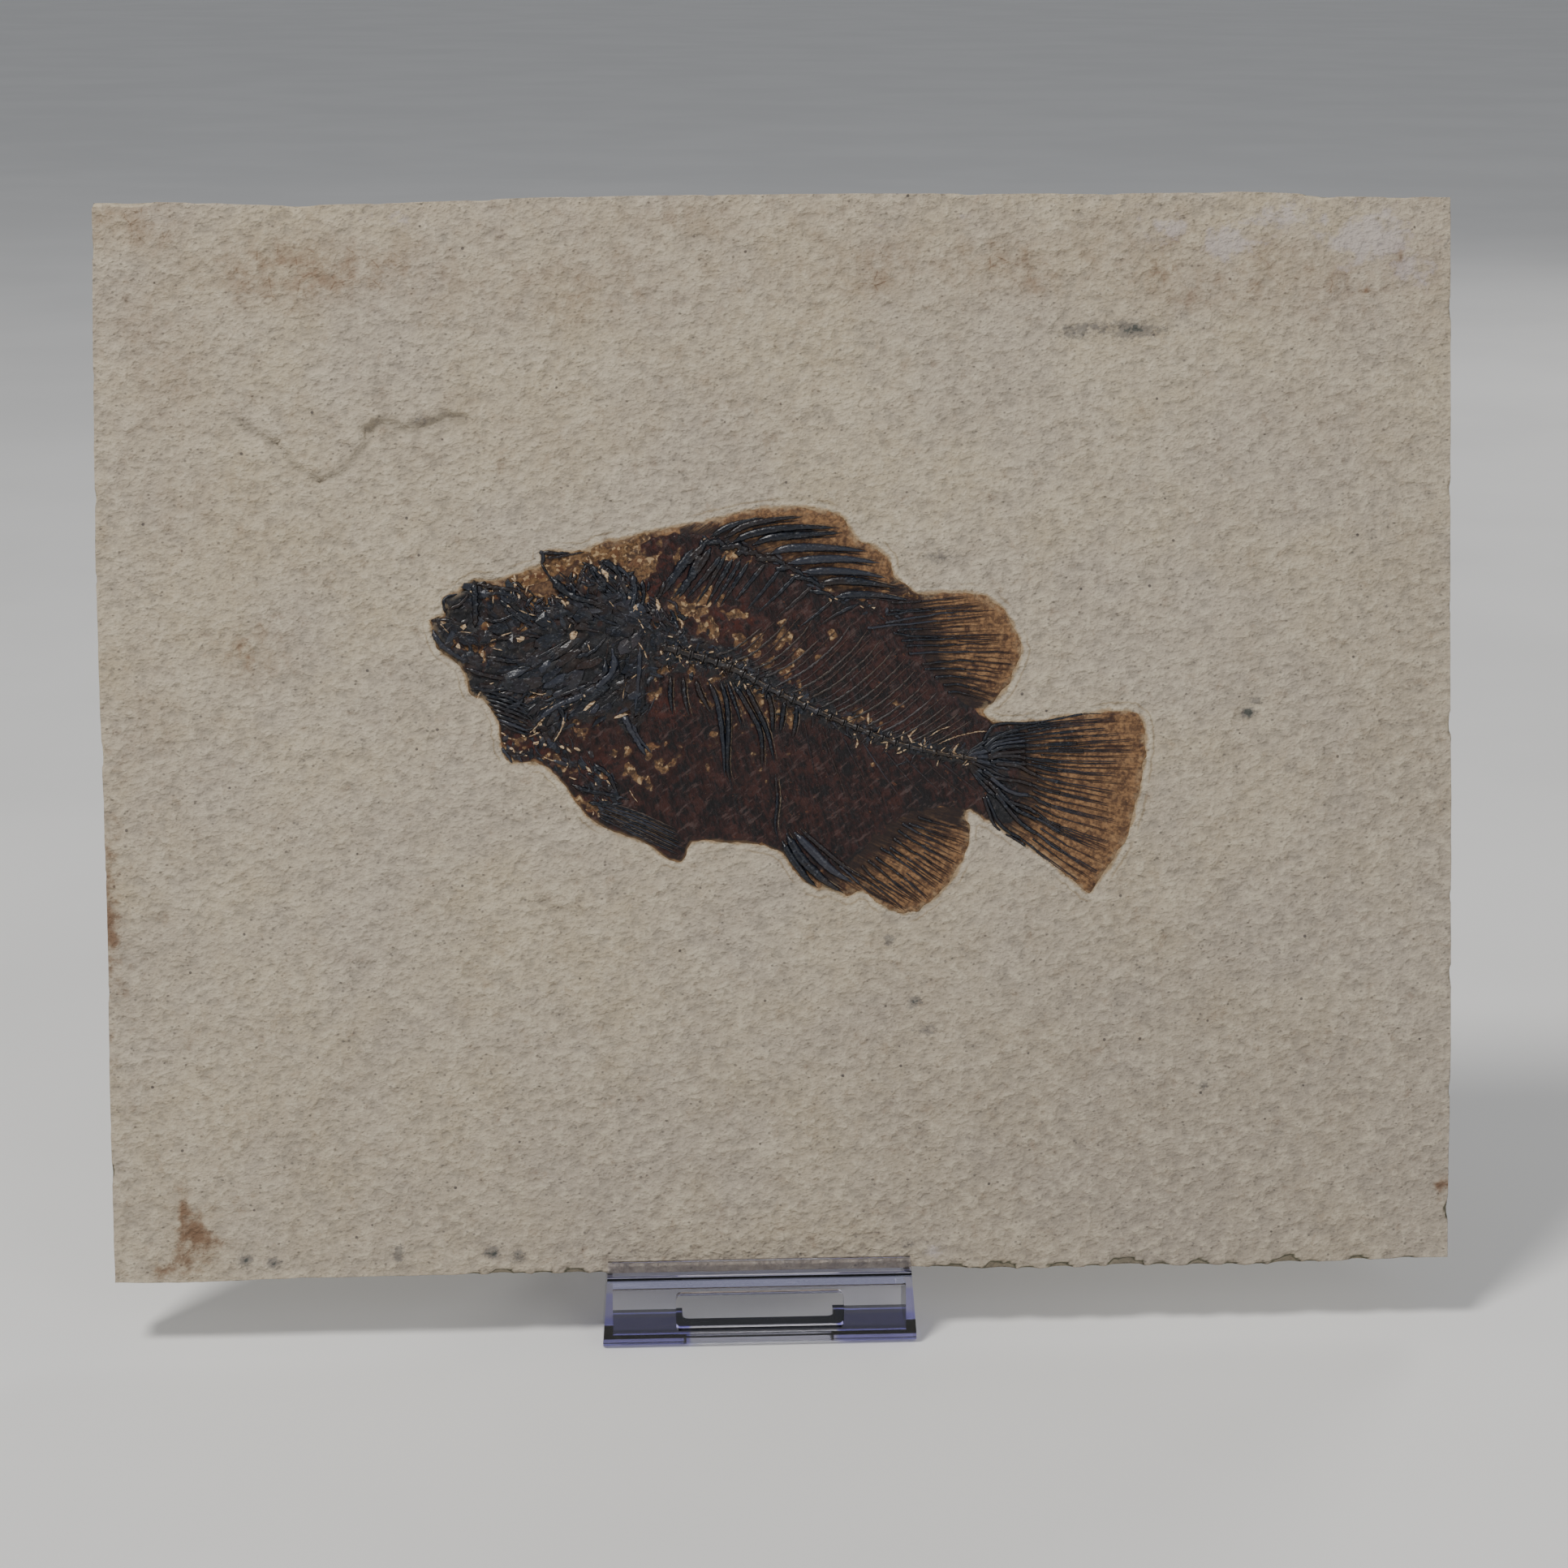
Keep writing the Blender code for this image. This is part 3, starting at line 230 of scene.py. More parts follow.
# Bare golden patches where scales have come away: (u, v, half length, half width, turn in degrees).
GOLD_PATCHES = [
    (-46.0, 123.9, 5.4, 1.5, 16), (-40.0, 126.9, 4.6, 1.9, 14), (-34.5, 128.6, 5.0, 1.3, 14),
    (-28.4, 129.0, 4.6, 2.3, 14), (-25.6, 126.2, 2.6, 2.6, -40), (-24.8, 122.4, 1.2, 3.0, 10),
    (-42.9, 120.6, 1.7, 2.0, 30), (-36.4, 125.3, 0.8, 2.2, -28), (-18.6, 120.8, 1.3, 2.0, -20),
    (-16.4, 119.2, 2.4, 0.9, 30), (-13.6, 120.9, 2.0, 1.0, 55), (-14.5, 117.9, 1.5, 0.9, 20),
    (-9.0, 118.2, 1.9, 0.8, -15), (-12.4, 115.0, 1.5, 1.6, 60), (-18.8, 127.9, 1.2, 0.5, 75),
    (-8.9, 128.2, 1.3, 1.0, 20), (-7.6, 113.2, 1.9, 0.9, 40), (-5.0, 112.0, 2.1, 1.3, 60),
    (-10.6, 109.3, 1.2, 0.6, 10), (-2.2, 109.2, 1.5, 0.9, 20), (0.4, 107.6, 1.3, 1.0, -50),
    (1.0, 113.5, 1.7, 0.6, -60), (-0.4, 116.4, 1.2, 0.5, 40), (8.8, 114.2, 1.0, 0.65, 10),
    (3.0, 110.9, 0.9, 0.6, 0), (9.2, 121.8, 1.2, 0.4, -10), (17.6, 120.9, 3.0, 0.45, -6),
    (-7.7, 101.6, 0.75, 3.0, 8), (-5.0, 104.3, 0.9, 1.6, 25), (-3.4, 102.4, 0.6, 2.6, 6),
    (-0.8, 100.6, 0.7, 2.3, -4), (1.4, 99.8, 0.7, 1.7, -14), (-11.8, 103.4, 0.5, 2.2, 20),
    (-14.0, 102.4, 0.5, 2.0, 28), (2.6, 104.6, 0.9, 0.6, 40), (12.8, 100.6, 1.5, 0.6, 15),
    (13.6, 99.2, 1.2, 0.5, -15), (19.4, 102.3, 0.9, 0.6, -35), (-28.6, 100.2, 0.7, 1.1, 25),
    (-27.0, 90.0, 2.4, 1.0, -50), (-23.4, 93.2, 1.2, 1.3, -30), (-32.0, 89.4, 1.0, 0.8, 10),
    (-46.6, 94.9, 1.7, 0.9, -30), (-33.5, 84.2, 1.6, 0.7, -20), (-36.8, 97.8, 1.2, 0.7, -30),
    (-47.8, 92.9, 1.2, 0.7, 10), (-52.0, 115.9, 0.8, 2.0, 18), (-55.4, 112.4, 2.0, 0.75, -8),
    (-52.8, 112.6, 0.3, 1.6, 0), (-43.4, 103.8, 2.6, 0.6, 12), (-37.0, 104.4, 1.4, 0.35, 30),
    (-22.6, 103.6, 0.9, 2.0, -20), (-21.6, 107.8, 1.6, 0.5, 15), (-5.4, 93.4, 0.6, 1.7, 10),
    (-3.6, 90.4, 0.4, 1.2, 0), (-12.2, 96.8, 0.6, 0.9, 0), (-39.6, 92.4, 1.2, 0.6, -40),
    (-30.2, 93.6, 1.0, 0.7, 30), (16.0, 91.0, 0.5, 0.3, 10), (24.0, 99.8, 0.9, 0.4, 30),
]
# Where small golden flecks are common, and where the scales are rusty, as the stains are given.
GOLD_FLECKS = [
    (-24, 127, 4, 6, 0.85), (-14, 118, 9, 4.5, 1.0), (-4, 112, 9, 4.5, 0.88), (-4, 101, 9, 5, 0.88),
    (-16, 108, 8, 5, 0.75), (-28, 92, 13, 5, 0.72), (-43, 119.5, 8, 4, 0.95), (-40, 101, 10, 4, 0.65),
    (16, 98, 12, 4, 0.62), (4, 127, 12, 4, 0.60), (-46, 94, 7, 4, 0.85), (-36, 85, 6, 3, 0.75),
    (-55, 114, 4, 4, 0.70), (-32, 122, 9, 4, 0.65),
]
RUSTY_SKIN = [
    (-22, 126, 5, 6, 1.0), (-10, 117, 8, 5, 0.7), (-46, 95, 7, 5, 0.8), (-32, 91, 10, 5, 0.5),
    (-20, 101, 6, 4, 0.6), (-4, 92, 9, 7, 0.25), (14, 107, 10, 7, 0.25), (22, 100, 8, 5, 0.3),
    (-36, 84, 7, 3, 0.7), (-10, 82, 12, 4, 0.2),
]
# The fins' fans: low corner, high corner, where the rays meet, how far outside the flank the web
# stays dark, how far outside it is clear, and the radius at which the ray spacing is measured.
# They are the tail, the spiny dorsal fin, the soft dorsal fin and the soft anal fin.
FIN_FANS = [
    ((36, 60), (70, 100.6), (17, 95), -1, 10, 40),
    ((-18, 121), (19, 138), (-40, 114), -0.5, 4.0, 50),
    ((19, 100.6), (46, 124), (-22, 114.5), 0, 8.5, 60),
    ((7, 60), (35.4, 83), (-29, 97.3), 0, 8.5, 60),
]
# Skull bones that stand out of the skin as plates: (rise, outline).
SKULL_PLATES = [
    (0.30, [(-59.0, 118.6), (-59.2, 120.8), (-57.0, 121.8), (-54.9, 123.7), (-53.5, 123.2),
            (-53.4, 118.8), (-55.5, 118.4)]),
    (0.28, [(-61.5, 116.8), (-58.3, 116.9), (-55.0, 116.0), (-53.0, 115.0), (-53.3, 112.8),
            (-56.4, 113.2), (-59.4, 112.6), (-60.8, 114.4)]),
    (0.22, [(-59.6, 112.2), (-56.8, 112.2), (-54.4, 110.2), (-51.0, 108.6), (-54.6, 107.6),
            (-57.2, 109.8)]),
    (0.25, [(-52.6, 123.2), (-48.0, 123.2), (-45.0, 121.6), (-43.6, 119.2), (-47.5, 117.4),
            (-52.6, 118.4)]),
    (0.20, [(-50.6, 115.6), (-45.6, 114.6), (-41.0, 112.4), (-43.0, 110.0), (-48.6, 110.8)]),
    (0.16, [(-51.6, 110.0), (-45.0, 109.4), (-42.2, 107.0), (-46.4, 105.2), (-53.6, 105.8)]),
    (0.30, [(-42.6, 118.6), (-36.0, 119.6), (-33.8, 114.6), (-38.4, 111.4), (-42.4, 114.0)]),
    (0.34, [(-35.6, 119.0), (-27.8, 117.6), (-26.6, 111.8), (-31.0, 109.6), (-34.6, 113.4)]),
    (0.30, [(-41.0, 110.6), (-34.8, 112.4), (-30.6, 108.6), (-34.6, 105.6), (-41.2, 106.0)]),
    (0.24, [(-51.0, 102.6), (-44.6, 104.0), (-39.6, 102.8), (-39.6, 99.6), (-44.6, 97.4),
            (-49.2, 98.6)]),
    (0.26, [(-38.0, 103.2), (-31.6, 105.0), (-28.8, 101.8), (-33.4, 99.8), (-37.8, 100.6)]),
    (0.28, [(-27.8, 118.6), (-24.2, 119.0), (-23.4, 112.0), (-24.2, 104.0), (-25.4, 100.2),
            (-27.8, 101.6), (-27.0, 110.0)]),
    (0.22, [(-23.2, 117.8), (-17.6, 115.6), (-16.0, 111.6), (-21.0, 109.4), (-23.6, 112.0)]),
]
# Where chips of bone lie in the skull: (low corner, high corner, count, longest, widest, turn, spread).
SKULL_CHIPS = [
    ((-63, 109), (-52, 125), 34, 4.8, 2.6, -35, 46),
    ((-53, 103), (-40, 117), 26, 7.0, 3.4, 18, 16),
    ((-53, 96), (-38, 106), 40, 6.0, 1.0, 40, 12),
    ((-43, 104), (-23, 120), 44, 7.6, 3.4, 36, 22),
    ((-40, 97), (-24, 107), 36, 6.4, 1.5, 42, 16),
    ((-53, 116), (-38, 125), 44, 4.2, 1.9, -30, 30),
    ((-42, 117), (-22, 129), 64, 5.0, 1.7, -42, 34),
    ((-26, 105), (-12, 122), 50, 4.0, 1.2, -50, 36),
]
CHIP_SPACING = 1.0  # spacing of the places that chips are scattered round

# Bars of bone: (root width, tip width, path).
SKULL_BARS = [
    (1.3, 1.0, [(-54.2, 124.2), (-54.1, 120.0), (-54.2, 115.9)]),
    (0.9, 0.5, [(-61.9, 117.2), (-58.6, 117.1), (-55.6, 116.2)]),
    (1.2, 0.6, [(-61.6, 115.6), (-60.2, 113.0), (-57.4, 110.9), (-55.0, 109.6)]),
    (0.7, 0.3, [(-60.6, 117.0), (-59.4, 115.4), (-58.0, 113.6)]),
    (0.8, 0.4, [(-57.6, 115.0), (-55.6, 114.8), (-53.6, 114.6)]),
    (0.8, 0.4, [(-59.4, 118.6), (-59.4, 121.0), (-57.2, 121.8)]),
    (0.7, 0.4, [(-58.8, 119.0), (-56.6, 120.2), (-55.2, 121.8)]),
    (0.9, 0.5, [(-53.4, 123.4), (-50.0, 122.8), (-46.6, 122.2), (-44.8, 120.6)]),
    (0.8, 0.4, [(-53.2, 121.6), (-49.6, 121.9), (-47.2, 121.0)]),
    (0.8, 0.4, [(-52.9, 117.4), (-50.4, 117.0), (-48.0, 117.8), (-45.4, 118.6)]),
    (1.6, 0.8, [(-40.8, 124.6), (-37.6, 121.6), (-34.4, 120.4), (-30.6, 119.4)]),
    (0.8, 0.5, [(-39.6, 123.0), (-37.4, 121.2), (-34.0, 120.2)]),
    (0.9, 0.4, [(-36.2, 122.4), (-35.4, 124.8), (-34.3, 127.0)]),
    (0.7, 0.4, [(-34.0, 127.1), (-33.2, 125.0), (-31.8, 123.0), (-29.6, 121.0)]),
    (0.9, 0.5, [(-33.6, 126.8), (-31.6, 124.0), (-28.6, 121.2)]),
    (1.4, 0.8, [(-31.6, 127.4), (-29.6, 126.2), (-28.2, 124.0)]),
    (1.0, 0.4, [(-29.6, 126.6), (-27.6, 125.2), (-26.6, 123.6)]),
    (1.3, 0.6, [(-26.4, 125.0), (-26.0, 121.8), (-26.6, 118.6)]),
    (1.2, 0.6, [(-28.4, 123.0), (-27.8, 120.4), (-29.0, 118.4)]),
    (0.9, 0.5, [(-24.6, 124.0), (-24.4, 121.0), (-25.0, 118.6)]),
    (0.9, 0.4, [(-20.6, 123.8), (-21.6, 121.4), (-22.6, 120.0)]),
    (1.0, 0.5, [(-48.6, 119.4), (-46.0, 117.2), (-43.4, 115.9), (-41.4, 115.3)]),
    (0.8, 0.4, [(-47.4, 118.4), (-44.2, 117.4), (-41.0, 116.6)]),
    (0.9, 0.4, [(-49.8, 120.8), (-47.2, 118.6), (-45.0, 117.6)]),
    (0.9, 0.4, [(-52.6, 114.6), (-48.8, 114.0), (-44.2, 114.4), (-40.6, 113.0)]),
    (1.0, 0.4, [(-52.4, 110.8), (-48.4, 110.0), (-44.4, 110.2), (-40.4, 112.0), (-37.4, 114.0)]),
    (0.8, 0.4, [(-47.4, 108.6), (-43.6, 109.0), (-40.2, 110.4), (-36.8, 113.2)]),
    (1.0, 0.5, [(-56.0, 108.8), (-52.0, 107.4), (-47.4, 106.6), (-43.2, 106.8)]),
    (0.9, 0.4, [(-55.0, 105.4), (-51.6, 104.8), (-47.6, 105.2), (-44.0, 104.4)]),
    (1.5, 0.8, [(-30.1, 112.0), (-29.9, 108.6), (-32.4, 105.6), (-36.2, 103.4), (-40.2, 101.8),
                (-44.4, 98.6)]),
    (1.1, 0.5, [(-31.4, 110.6), (-31.6, 107.8), (-34.4, 105.6), (-38.6, 104.0), (-43.0, 102.4)]),
    (0.9, 0.6, [(-25.2, 112.0), (-25.5, 107.0), (-26.2, 101.0)]),
    (0.8, 0.4, [(-27.0, 111.0), (-27.8, 106.6), (-28.2, 103.0)]),
    (1.4, 0.7, [(-28.4, 100.4), (-26.6, 96.8), (-24.4, 93.0)]),
    (0.8, 0.4, [(-26.8, 98.6), (-25.4, 95.8), (-23.4, 93.4)]),
    (0.9, 0.4, [(-40.2, 102.6), (-38.8, 99.6), (-40.6, 96.2), (-42.4, 94.2)]),
    (0.8, 0.4, [(-49.2, 103.4), (-46.0, 101.4), (-43.6, 98.6)]),
    (0.7, 0.4, [(-34.8, 118.8), (-31.0, 116.8), (-28.0, 115.8)]),
    (0.8, 0.4, [(-38.2, 117.6), (-35.0, 115.6), (-31.6, 114.8)]),
    (0.9, 0.4, [(-36.6, 110.4), (-33.4, 111.6), (-31.0, 114.0)]),
    (0.8, 0.5, [(-42.6, 129.4), (-42.0, 128.2), (-42.4, 126.8)]),
    (0.8, 0.4, [(-42.4, 129.0), (-39.6, 128.8), (-37.4, 128.9)]),
    (0.6, 0.3, [(-41.6, 128.0), (-39.4, 128.2), (-34.8, 129.0)]),
    (0.6, 0.3, [(-42.4, 127.0), (-41.6, 125.6), (-40.8, 124.4)]),
    (0.8, 0.4, [(-49.8, 94.6), (-48.8, 93.2), (-48.0, 91.9)]),
    (1.0, 0.5, [(-33.6, 91.6), (-31.0, 89.6), (-29.6, 86.4)]),
    (0.9, 0.5, [(-37.6, 88.0), (-34.6, 86.8), (-31.2, 86.2), (-27.4, 85.2)]),
    (0.8, 0.4, [(-34.6, 84.8), (-31.6, 84.2), (-28.4, 84.6)]),
]
# The upper border of the skull, where it breaks up into splinters.
NAPE_BORDER = [
    (-50, 122.4), (-45.6, 121.6), (-42.4, 118.8), (-38.6, 120.6), (-35.4, 124.6), (-30.6, 125.8),
    (-27.0, 122.6), (-22.6, 119.0), (-18.0, 116.0),
]
# Pale bars along the edges of bones: partly pale slivers of bone, partly painted highlights.
PALE_SLIVERS_AND_HIGHLIGHTS = [
    (0.50, 0.25, [(-30.3, 108.9), (-30.5, 107.9)]),
    (0.55, 0.25, [(-31.0, 106.9), (-31.5, 106.3)]),
    (0.60, 0.35, [(-31.6, 105.9), (-33.3, 104.9), (-34.6, 104.1)]),
    (0.80, 0.45, [(-34.4, 104.0), (-35.6, 103.3), (-36.4, 102.9)]),
    (0.50, 0.30, [(-37.2, 102.3), (-38.6, 101.8), (-39.8, 101.9)]),
    (0.45, 0.25, [(-40.4, 101.9), (-41.3, 101.6)]),
    (0.50, 0.25, [(-41.8, 100.4), (-43.4, 98.6), (-44.8, 97.2)]),
    (0.45, 0.25, [(-43.0, 97.4), (-45.0, 96.5)]),
    (0.60, 0.30, [(-38.8, 100.4), (-39.0, 98.6), (-39.8, 96.8), (-40.6, 95.6)]),
    (0.45, 0.25, [(-46.4, 118.9), (-44.4, 118.1), (-43.4, 117.9)]),
    (0.40, 0.20, [(-42.6, 117.4), (-40.8, 116.7)]),
    (0.40, 0.25, [(-51.2, 112.3), (-49.4, 111.8)]),
    (0.45, 0.25, [(-48.6, 119.8), (-47.6, 119.2)]),
    (0.55, 0.35, [(-38.6, 121.8), (-37.8, 120.9)]),
    (0.45, 0.30, [(-40.0, 121.2), (-38.8, 120.8)]),
    (0.35, 0.20, [(-60.4, 116.9), (-58.8, 114.9)]),
    (0.35, 0.20, [(-57.0, 115.2), (-54.8, 115.0)]),
    (0.35, 0.20, [(-27.5, 106.5), (-28.1, 104.6), (-28.3, 103.0)]),
    (0.35, 0.20, [(-34.4, 113.0), (-34.0, 111.6)]),
    (0.45, 0.30, [(-30.6, 120.4), (-29.6, 119.2)]),
    (0.35, 0.20, [(-37.8, 115.6), (-37.3, 116.4)]),
    (0.40, 0.20, [(-55.0, 122.4), (-54.3, 121.6)]),
    (0.40, 0.25, [(27.4, 94.3), (30.2, 95.5), (33.9, 96.4), (36.4, 96.6)]),
    (0.35, 0.20, [(26.0, 95.8), (27.8, 96.9), (29.7, 97.5)]),
    (0.40, 0.25, [(-45.0, 104.6), (-43.0, 104.0), (-41.8, 104.2)]),
]
# The stout spines of the dorsal and anal fins, the bones that carry them and the knobs they stand on.
DORSAL_SPINES = [
    (0.9, 0.3, [(-12.6, 131.4), (-8.8, 133.5), (-3.2, 134.8)]),
    (1.0, 0.3, [(-10.2, 131.2), (-6.4, 133.4), (-1.5, 134.4), (3.8, 134.9)]),
    (1.2, 0.3, [(-9.0, 130.2), (-5.4, 131.9), (1.5, 133.0), (10.2, 132.9)]),
    (1.2, 0.3, [(-5.2, 129.9), (-2.0, 131.2), (4.0, 131.7), (10.8, 132.0)]),
    (1.3, 0.3, [(-2.2, 128.2), (1.0, 129.3), (8.0, 129.4), (15.2, 128.7)]),
    (1.3, 0.3, [(1.0, 126.6), (4.5, 127.2), (11.0, 127.4), (17.5, 126.6)]),
    (1.2, 0.3, [(3.5, 125.1), (8.0, 125.3), (14.0, 124.9), (18.7, 123.9)]),
    (1.3, 0.3, [(6.3, 122.8), (9.8, 123.5), (15.0, 123.2), (20.9, 122.1)]),
    (1.1, 0.3, [(9.1, 120.5), (12.5, 121.1), (17.5, 120.9), (22.9, 119.9)]),
]
ANAL_SPINES = [
    (1.2, 0.3, [(-0.4, 77.4), (1.6, 74.0), (3.9, 70.9), (5.9, 69.0)]),
    (1.5, 0.3, [(0.4, 78.8), (3.0, 74.4), (6.8, 70.6), (10.5, 68.0)]),
    (1.4, 0.3, [(1.8, 79.0), (5.0, 75.6), (8.4, 72.2), (12.4, 69.7)]),
    (0.8, 0.3, [(2.8, 79.6), (6.4, 76.4), (10.2, 73.2), (13.8, 70.8)]),
]
FIN_SUPPORTS = [
    (1.6, 0.5, [(-15.6, 129.4), (-18.4, 125.4), (-21.4, 121.0)]),
    (1.5, 0.5, [(-14.3, 128.8), (-16.0, 124.6), (-18.4, 120.5)]),
    (1.4, 0.5, [(-13.0, 130.6), (-17.0, 126.8), (-22.0, 121.8)]),
    (1.4, 0.5, [(-12.4, 129.6), (-15.4, 125.2), (-19.6, 120.4)]),
    (1.0, 0.5, [(-10.6, 128.2), (-13.6, 124.4), (-17.0, 120.6)]),
    (0.8, 0.4, [(-9.8, 128.4), (-12.6, 123.6), (-15.2, 119.6)]),
    (0.7, 0.4, [(-7.2, 127.4), (-10.0, 122.8), (-12.4, 119.0)]),
    (0.9, 0.4, [(-8.6, 127.6), (-11.4, 123.0), (-13.6, 119.0)]),
    (0.8, 0.4, [(-5.8, 127.0), (-8.6, 122.8), (-11.0, 119.2)]),
    (0.8, 0.4, [(-2.8, 126.8), (-6.0, 123.0), (-8.8, 119.6)]),
    (0.7, 0.4, [(0.0, 126.0), (-3.4, 121.8), (-6.4, 118.4)]),
    (0.7, 0.4, [(3.0, 125.0), (-1.0, 121.0), (-4.6, 117.8)]),
    (0.7, 0.4, [(5.6, 122.8), (2.0, 119.6), (-1.4, 116.8)]),
    (0.6, 0.3, [(9.2, 120.2), (6.0, 117.6), (2.8, 115.2)]),
    (0.6, 0.3, [(13.6, 119.4), (10.0, 117.8), (6.4, 115.6)]),
]
SPINE_FOOTINGS = [
    (1.6, 0.7, [(-14.6, 130.2), (-11.2, 130.6), (-9.4, 129.8)]),
    (1.6, 0.7, [(-11.0, 129.4), (-7.6, 129.8), (-5.6, 129.0)]),
    (1.5, 0.7, [(-8.4, 128.6), (-4.8, 128.6), (-2.4, 127.4)]),
    (1.5, 0.7, [(-4.6, 127.4), (-1.2, 127.4), (1.2, 126.0)]),
    (1.4, 0.6, [(-1.2, 125.8), (1.8, 125.8), (4.0, 124.4)]),
    (1.3, 0.6, [(2.0, 124.2), (5.0, 123.8), (7.2, 122.4)]),
    (1.2, 0.5, [(4.6, 121.8), (7.6, 121.4), (9.6, 120.2)]),
]
# The line that the dorsal spines start from, where their bones are crumbled.
DORSAL_BASE = [
    (-14.0, 131.0), (-8.0, 129.6), (-2.0, 127.4), (4.0, 124.0), (9.0, 120.8), (15.0, 119.0),
    (21.0, 117.0),
]
# The thin spines above the backbone and below it, and the ribs.
NEURAL_SPINES = [
    (0.50, 0.25, [(-12.0, 110.6), (-8.4, 111.8), (-3.4, 115.6)]),
    (0.50, 0.25, [(-9.0, 109.4), (-5.0, 111.0), (-0.4, 115.0), (1.6, 118.0)]),
    (0.50, 0.25, [(-6.4, 107.6), (-1.4, 109.8), (3.6, 114.2), (5.6, 117.4)]),
    (0.50, 0.25, [(-4.2, 106.2), (1.6, 109.0), (6.8, 113.4)]),
    (0.50, 0.25, [(-1.6, 104.8), (4.4, 108.0), (9.6, 112.4), (12.6, 116.4)]),
    (0.50, 0.25, [(1.0, 103.4), (6.6, 106.4), (12.0, 110.8), (15.2, 114.8)]),
    (0.50, 0.25, [(3.6, 102.2), (9.0, 105.0), (14.6, 109.6), (17.6, 113.2)]),
    (0.50, 0.25, [(6.2, 100.8), (11.4, 103.6), (17.0, 108.2), (20.0, 111.6)]),
    (0.48, 0.25, [(8.8, 99.8), (14.0, 102.6), (19.0, 106.6), (22.0, 109.8)]),
    (0.48, 0.25, [(11.4, 98.6), (16.4, 101.2), (21.0, 104.8), (23.6, 107.6)]),
    (0.46, 0.22, [(14.2, 97.4), (18.6, 99.8), (23.2, 103.2), (25.8, 106.0)]),
    (0.46, 0.22, [(17.0, 96.4), (21.0, 98.4), (25.2, 101.4), (27.6, 103.8)]),
    (0.44, 0.22, [(19.6, 95.4), (23.4, 97.2), (27.4, 99.8), (29.6, 101.8)]),
    (0.44, 0.22, [(22.2, 94.6), (25.6, 96.2), (29.4, 98.4), (31.4, 100.0)]),
    (0.42, 0.22, [(24.6, 93.8), (28.0, 95.2), (31.4, 97.2), (33.6, 98.6)]),
]
HAEMAL_SPINES = [
    (0.40, 0.22, [(3.6, 99.2), (5.0, 92.0), (6.6, 85.6)]),
    (0.40, 0.22, [(6.8, 97.6), (9.0, 91.0), (11.4, 84.4)]),
    (0.40, 0.22, [(10.4, 96.2), (13.2, 90.4), (16.2, 84.6)]),
    (0.38, 0.22, [(14.0, 95.0), (17.2, 90.0), (20.6, 85.0)]),
    (0.38, 0.22, [(17.6, 93.8), (21.0, 89.6), (24.6, 85.4)]),
    (0.38, 0.22, [(21.2, 92.6), (24.6, 89.0), (28.2, 85.6)]),
    (0.38, 0.22, [(24.8, 91.8), (28.2, 88.6), (32.0, 85.4)]),
    (0.38, 0.22, [(28.0, 91.2), (31.4, 88.4), (35.0, 85.6)]),
]
RIBS = [
    (0.9, 0.4, [(-15.4, 106.4), (-14.8, 104.2), (-12.9, 100.5)]),
    (0.9, 0.4, [(-13.3, 106.4), (-11.6, 102.0), (-10.7, 95.2), (-10.5, 89.0)]),
    (0.9, 0.3, [(-11.1, 106.4), (-9.8, 100.5), (-10.0, 91.0), (-9.2, 87.4)]),
    (0.9, 0.3, [(-8.9, 105.8), (-6.6, 102.0), (-4.1, 96.7), (-3.8, 90.0)]),
    (0.9, 0.3, [(-6.8, 105.4), (-4.8, 101.4), (-2.9, 97.0), (-1.6, 91.4)]),
    (0.9, 0.4, [(-2.7, 104.0), (-2.0, 100.6), (-2.0, 97.0)]),
    (0.8, 0.4, [(0.2, 102.4), (-0.1, 99.7), (-0.6, 97.0)]),
    (0.8, 0.4, [(2.4, 101.6), (2.2, 98.6), (1.6, 95.8)]),
    (0.7, 0.3, [(-17.6, 106.8), (-17.4, 103.0), (-16.6, 99.6)]),
    (0.7, 0.3, [(-19.8, 107.0), (-20.0, 103.4), (-19.6, 100.2)]),
    (0.6, 0.3, [(-9.8, 105.6), (-8.4, 101.6), (-7.4, 98.0)]),
    (0.5, 0.3, [(-1.5, 89.4), (-1.2, 85.0), (-1.6, 80.5), (-1.0, 77.5)]),
]
# The branched rays of the soft fins and the tail, as paths alone.
SOFT_DORSAL_RAYS = [
    [(19.4, 119.6), (22.9, 119.7), (30.8, 120.3)], [(19.0, 118.2), (22.9, 118.3), (31.7, 119.1)],
    [(18.3, 117.4), (24.8, 118.1), (34.5, 118.7)], [(18.3, 116.0), (28.5, 117.6), (34.5, 117.9)],
    [(15.1, 115.1), (25.2, 116.0), (33.5, 116.7)], [(20.4, 114.6), (22.9, 114.8), (33.5, 115.3)],
    [(19.7, 114.2), (25.2, 113.5), (37.2, 113.7)], [(21.1, 112.8), (28.9, 113.1), (36.4, 112.9)],
    [(22.0, 111.9), (29.0, 112.0), (37.2, 112.2)], [(22.5, 110.5), (31.0, 110.8), (39.5, 110.5)],
    [(24.8, 108.6), (32.0, 109.2), (39.1, 108.5)], [(25.2, 107.7), (31.0, 107.8), (38.1, 107.0)],
    [(27.1, 106.3), (31.0, 106.4), (35.4, 105.6)], [(28.5, 104.9), (32.0, 104.8), (35.9, 103.5)],
    [(29.4, 103.6), (32.0, 103.4), (34.9, 102.5)],
]
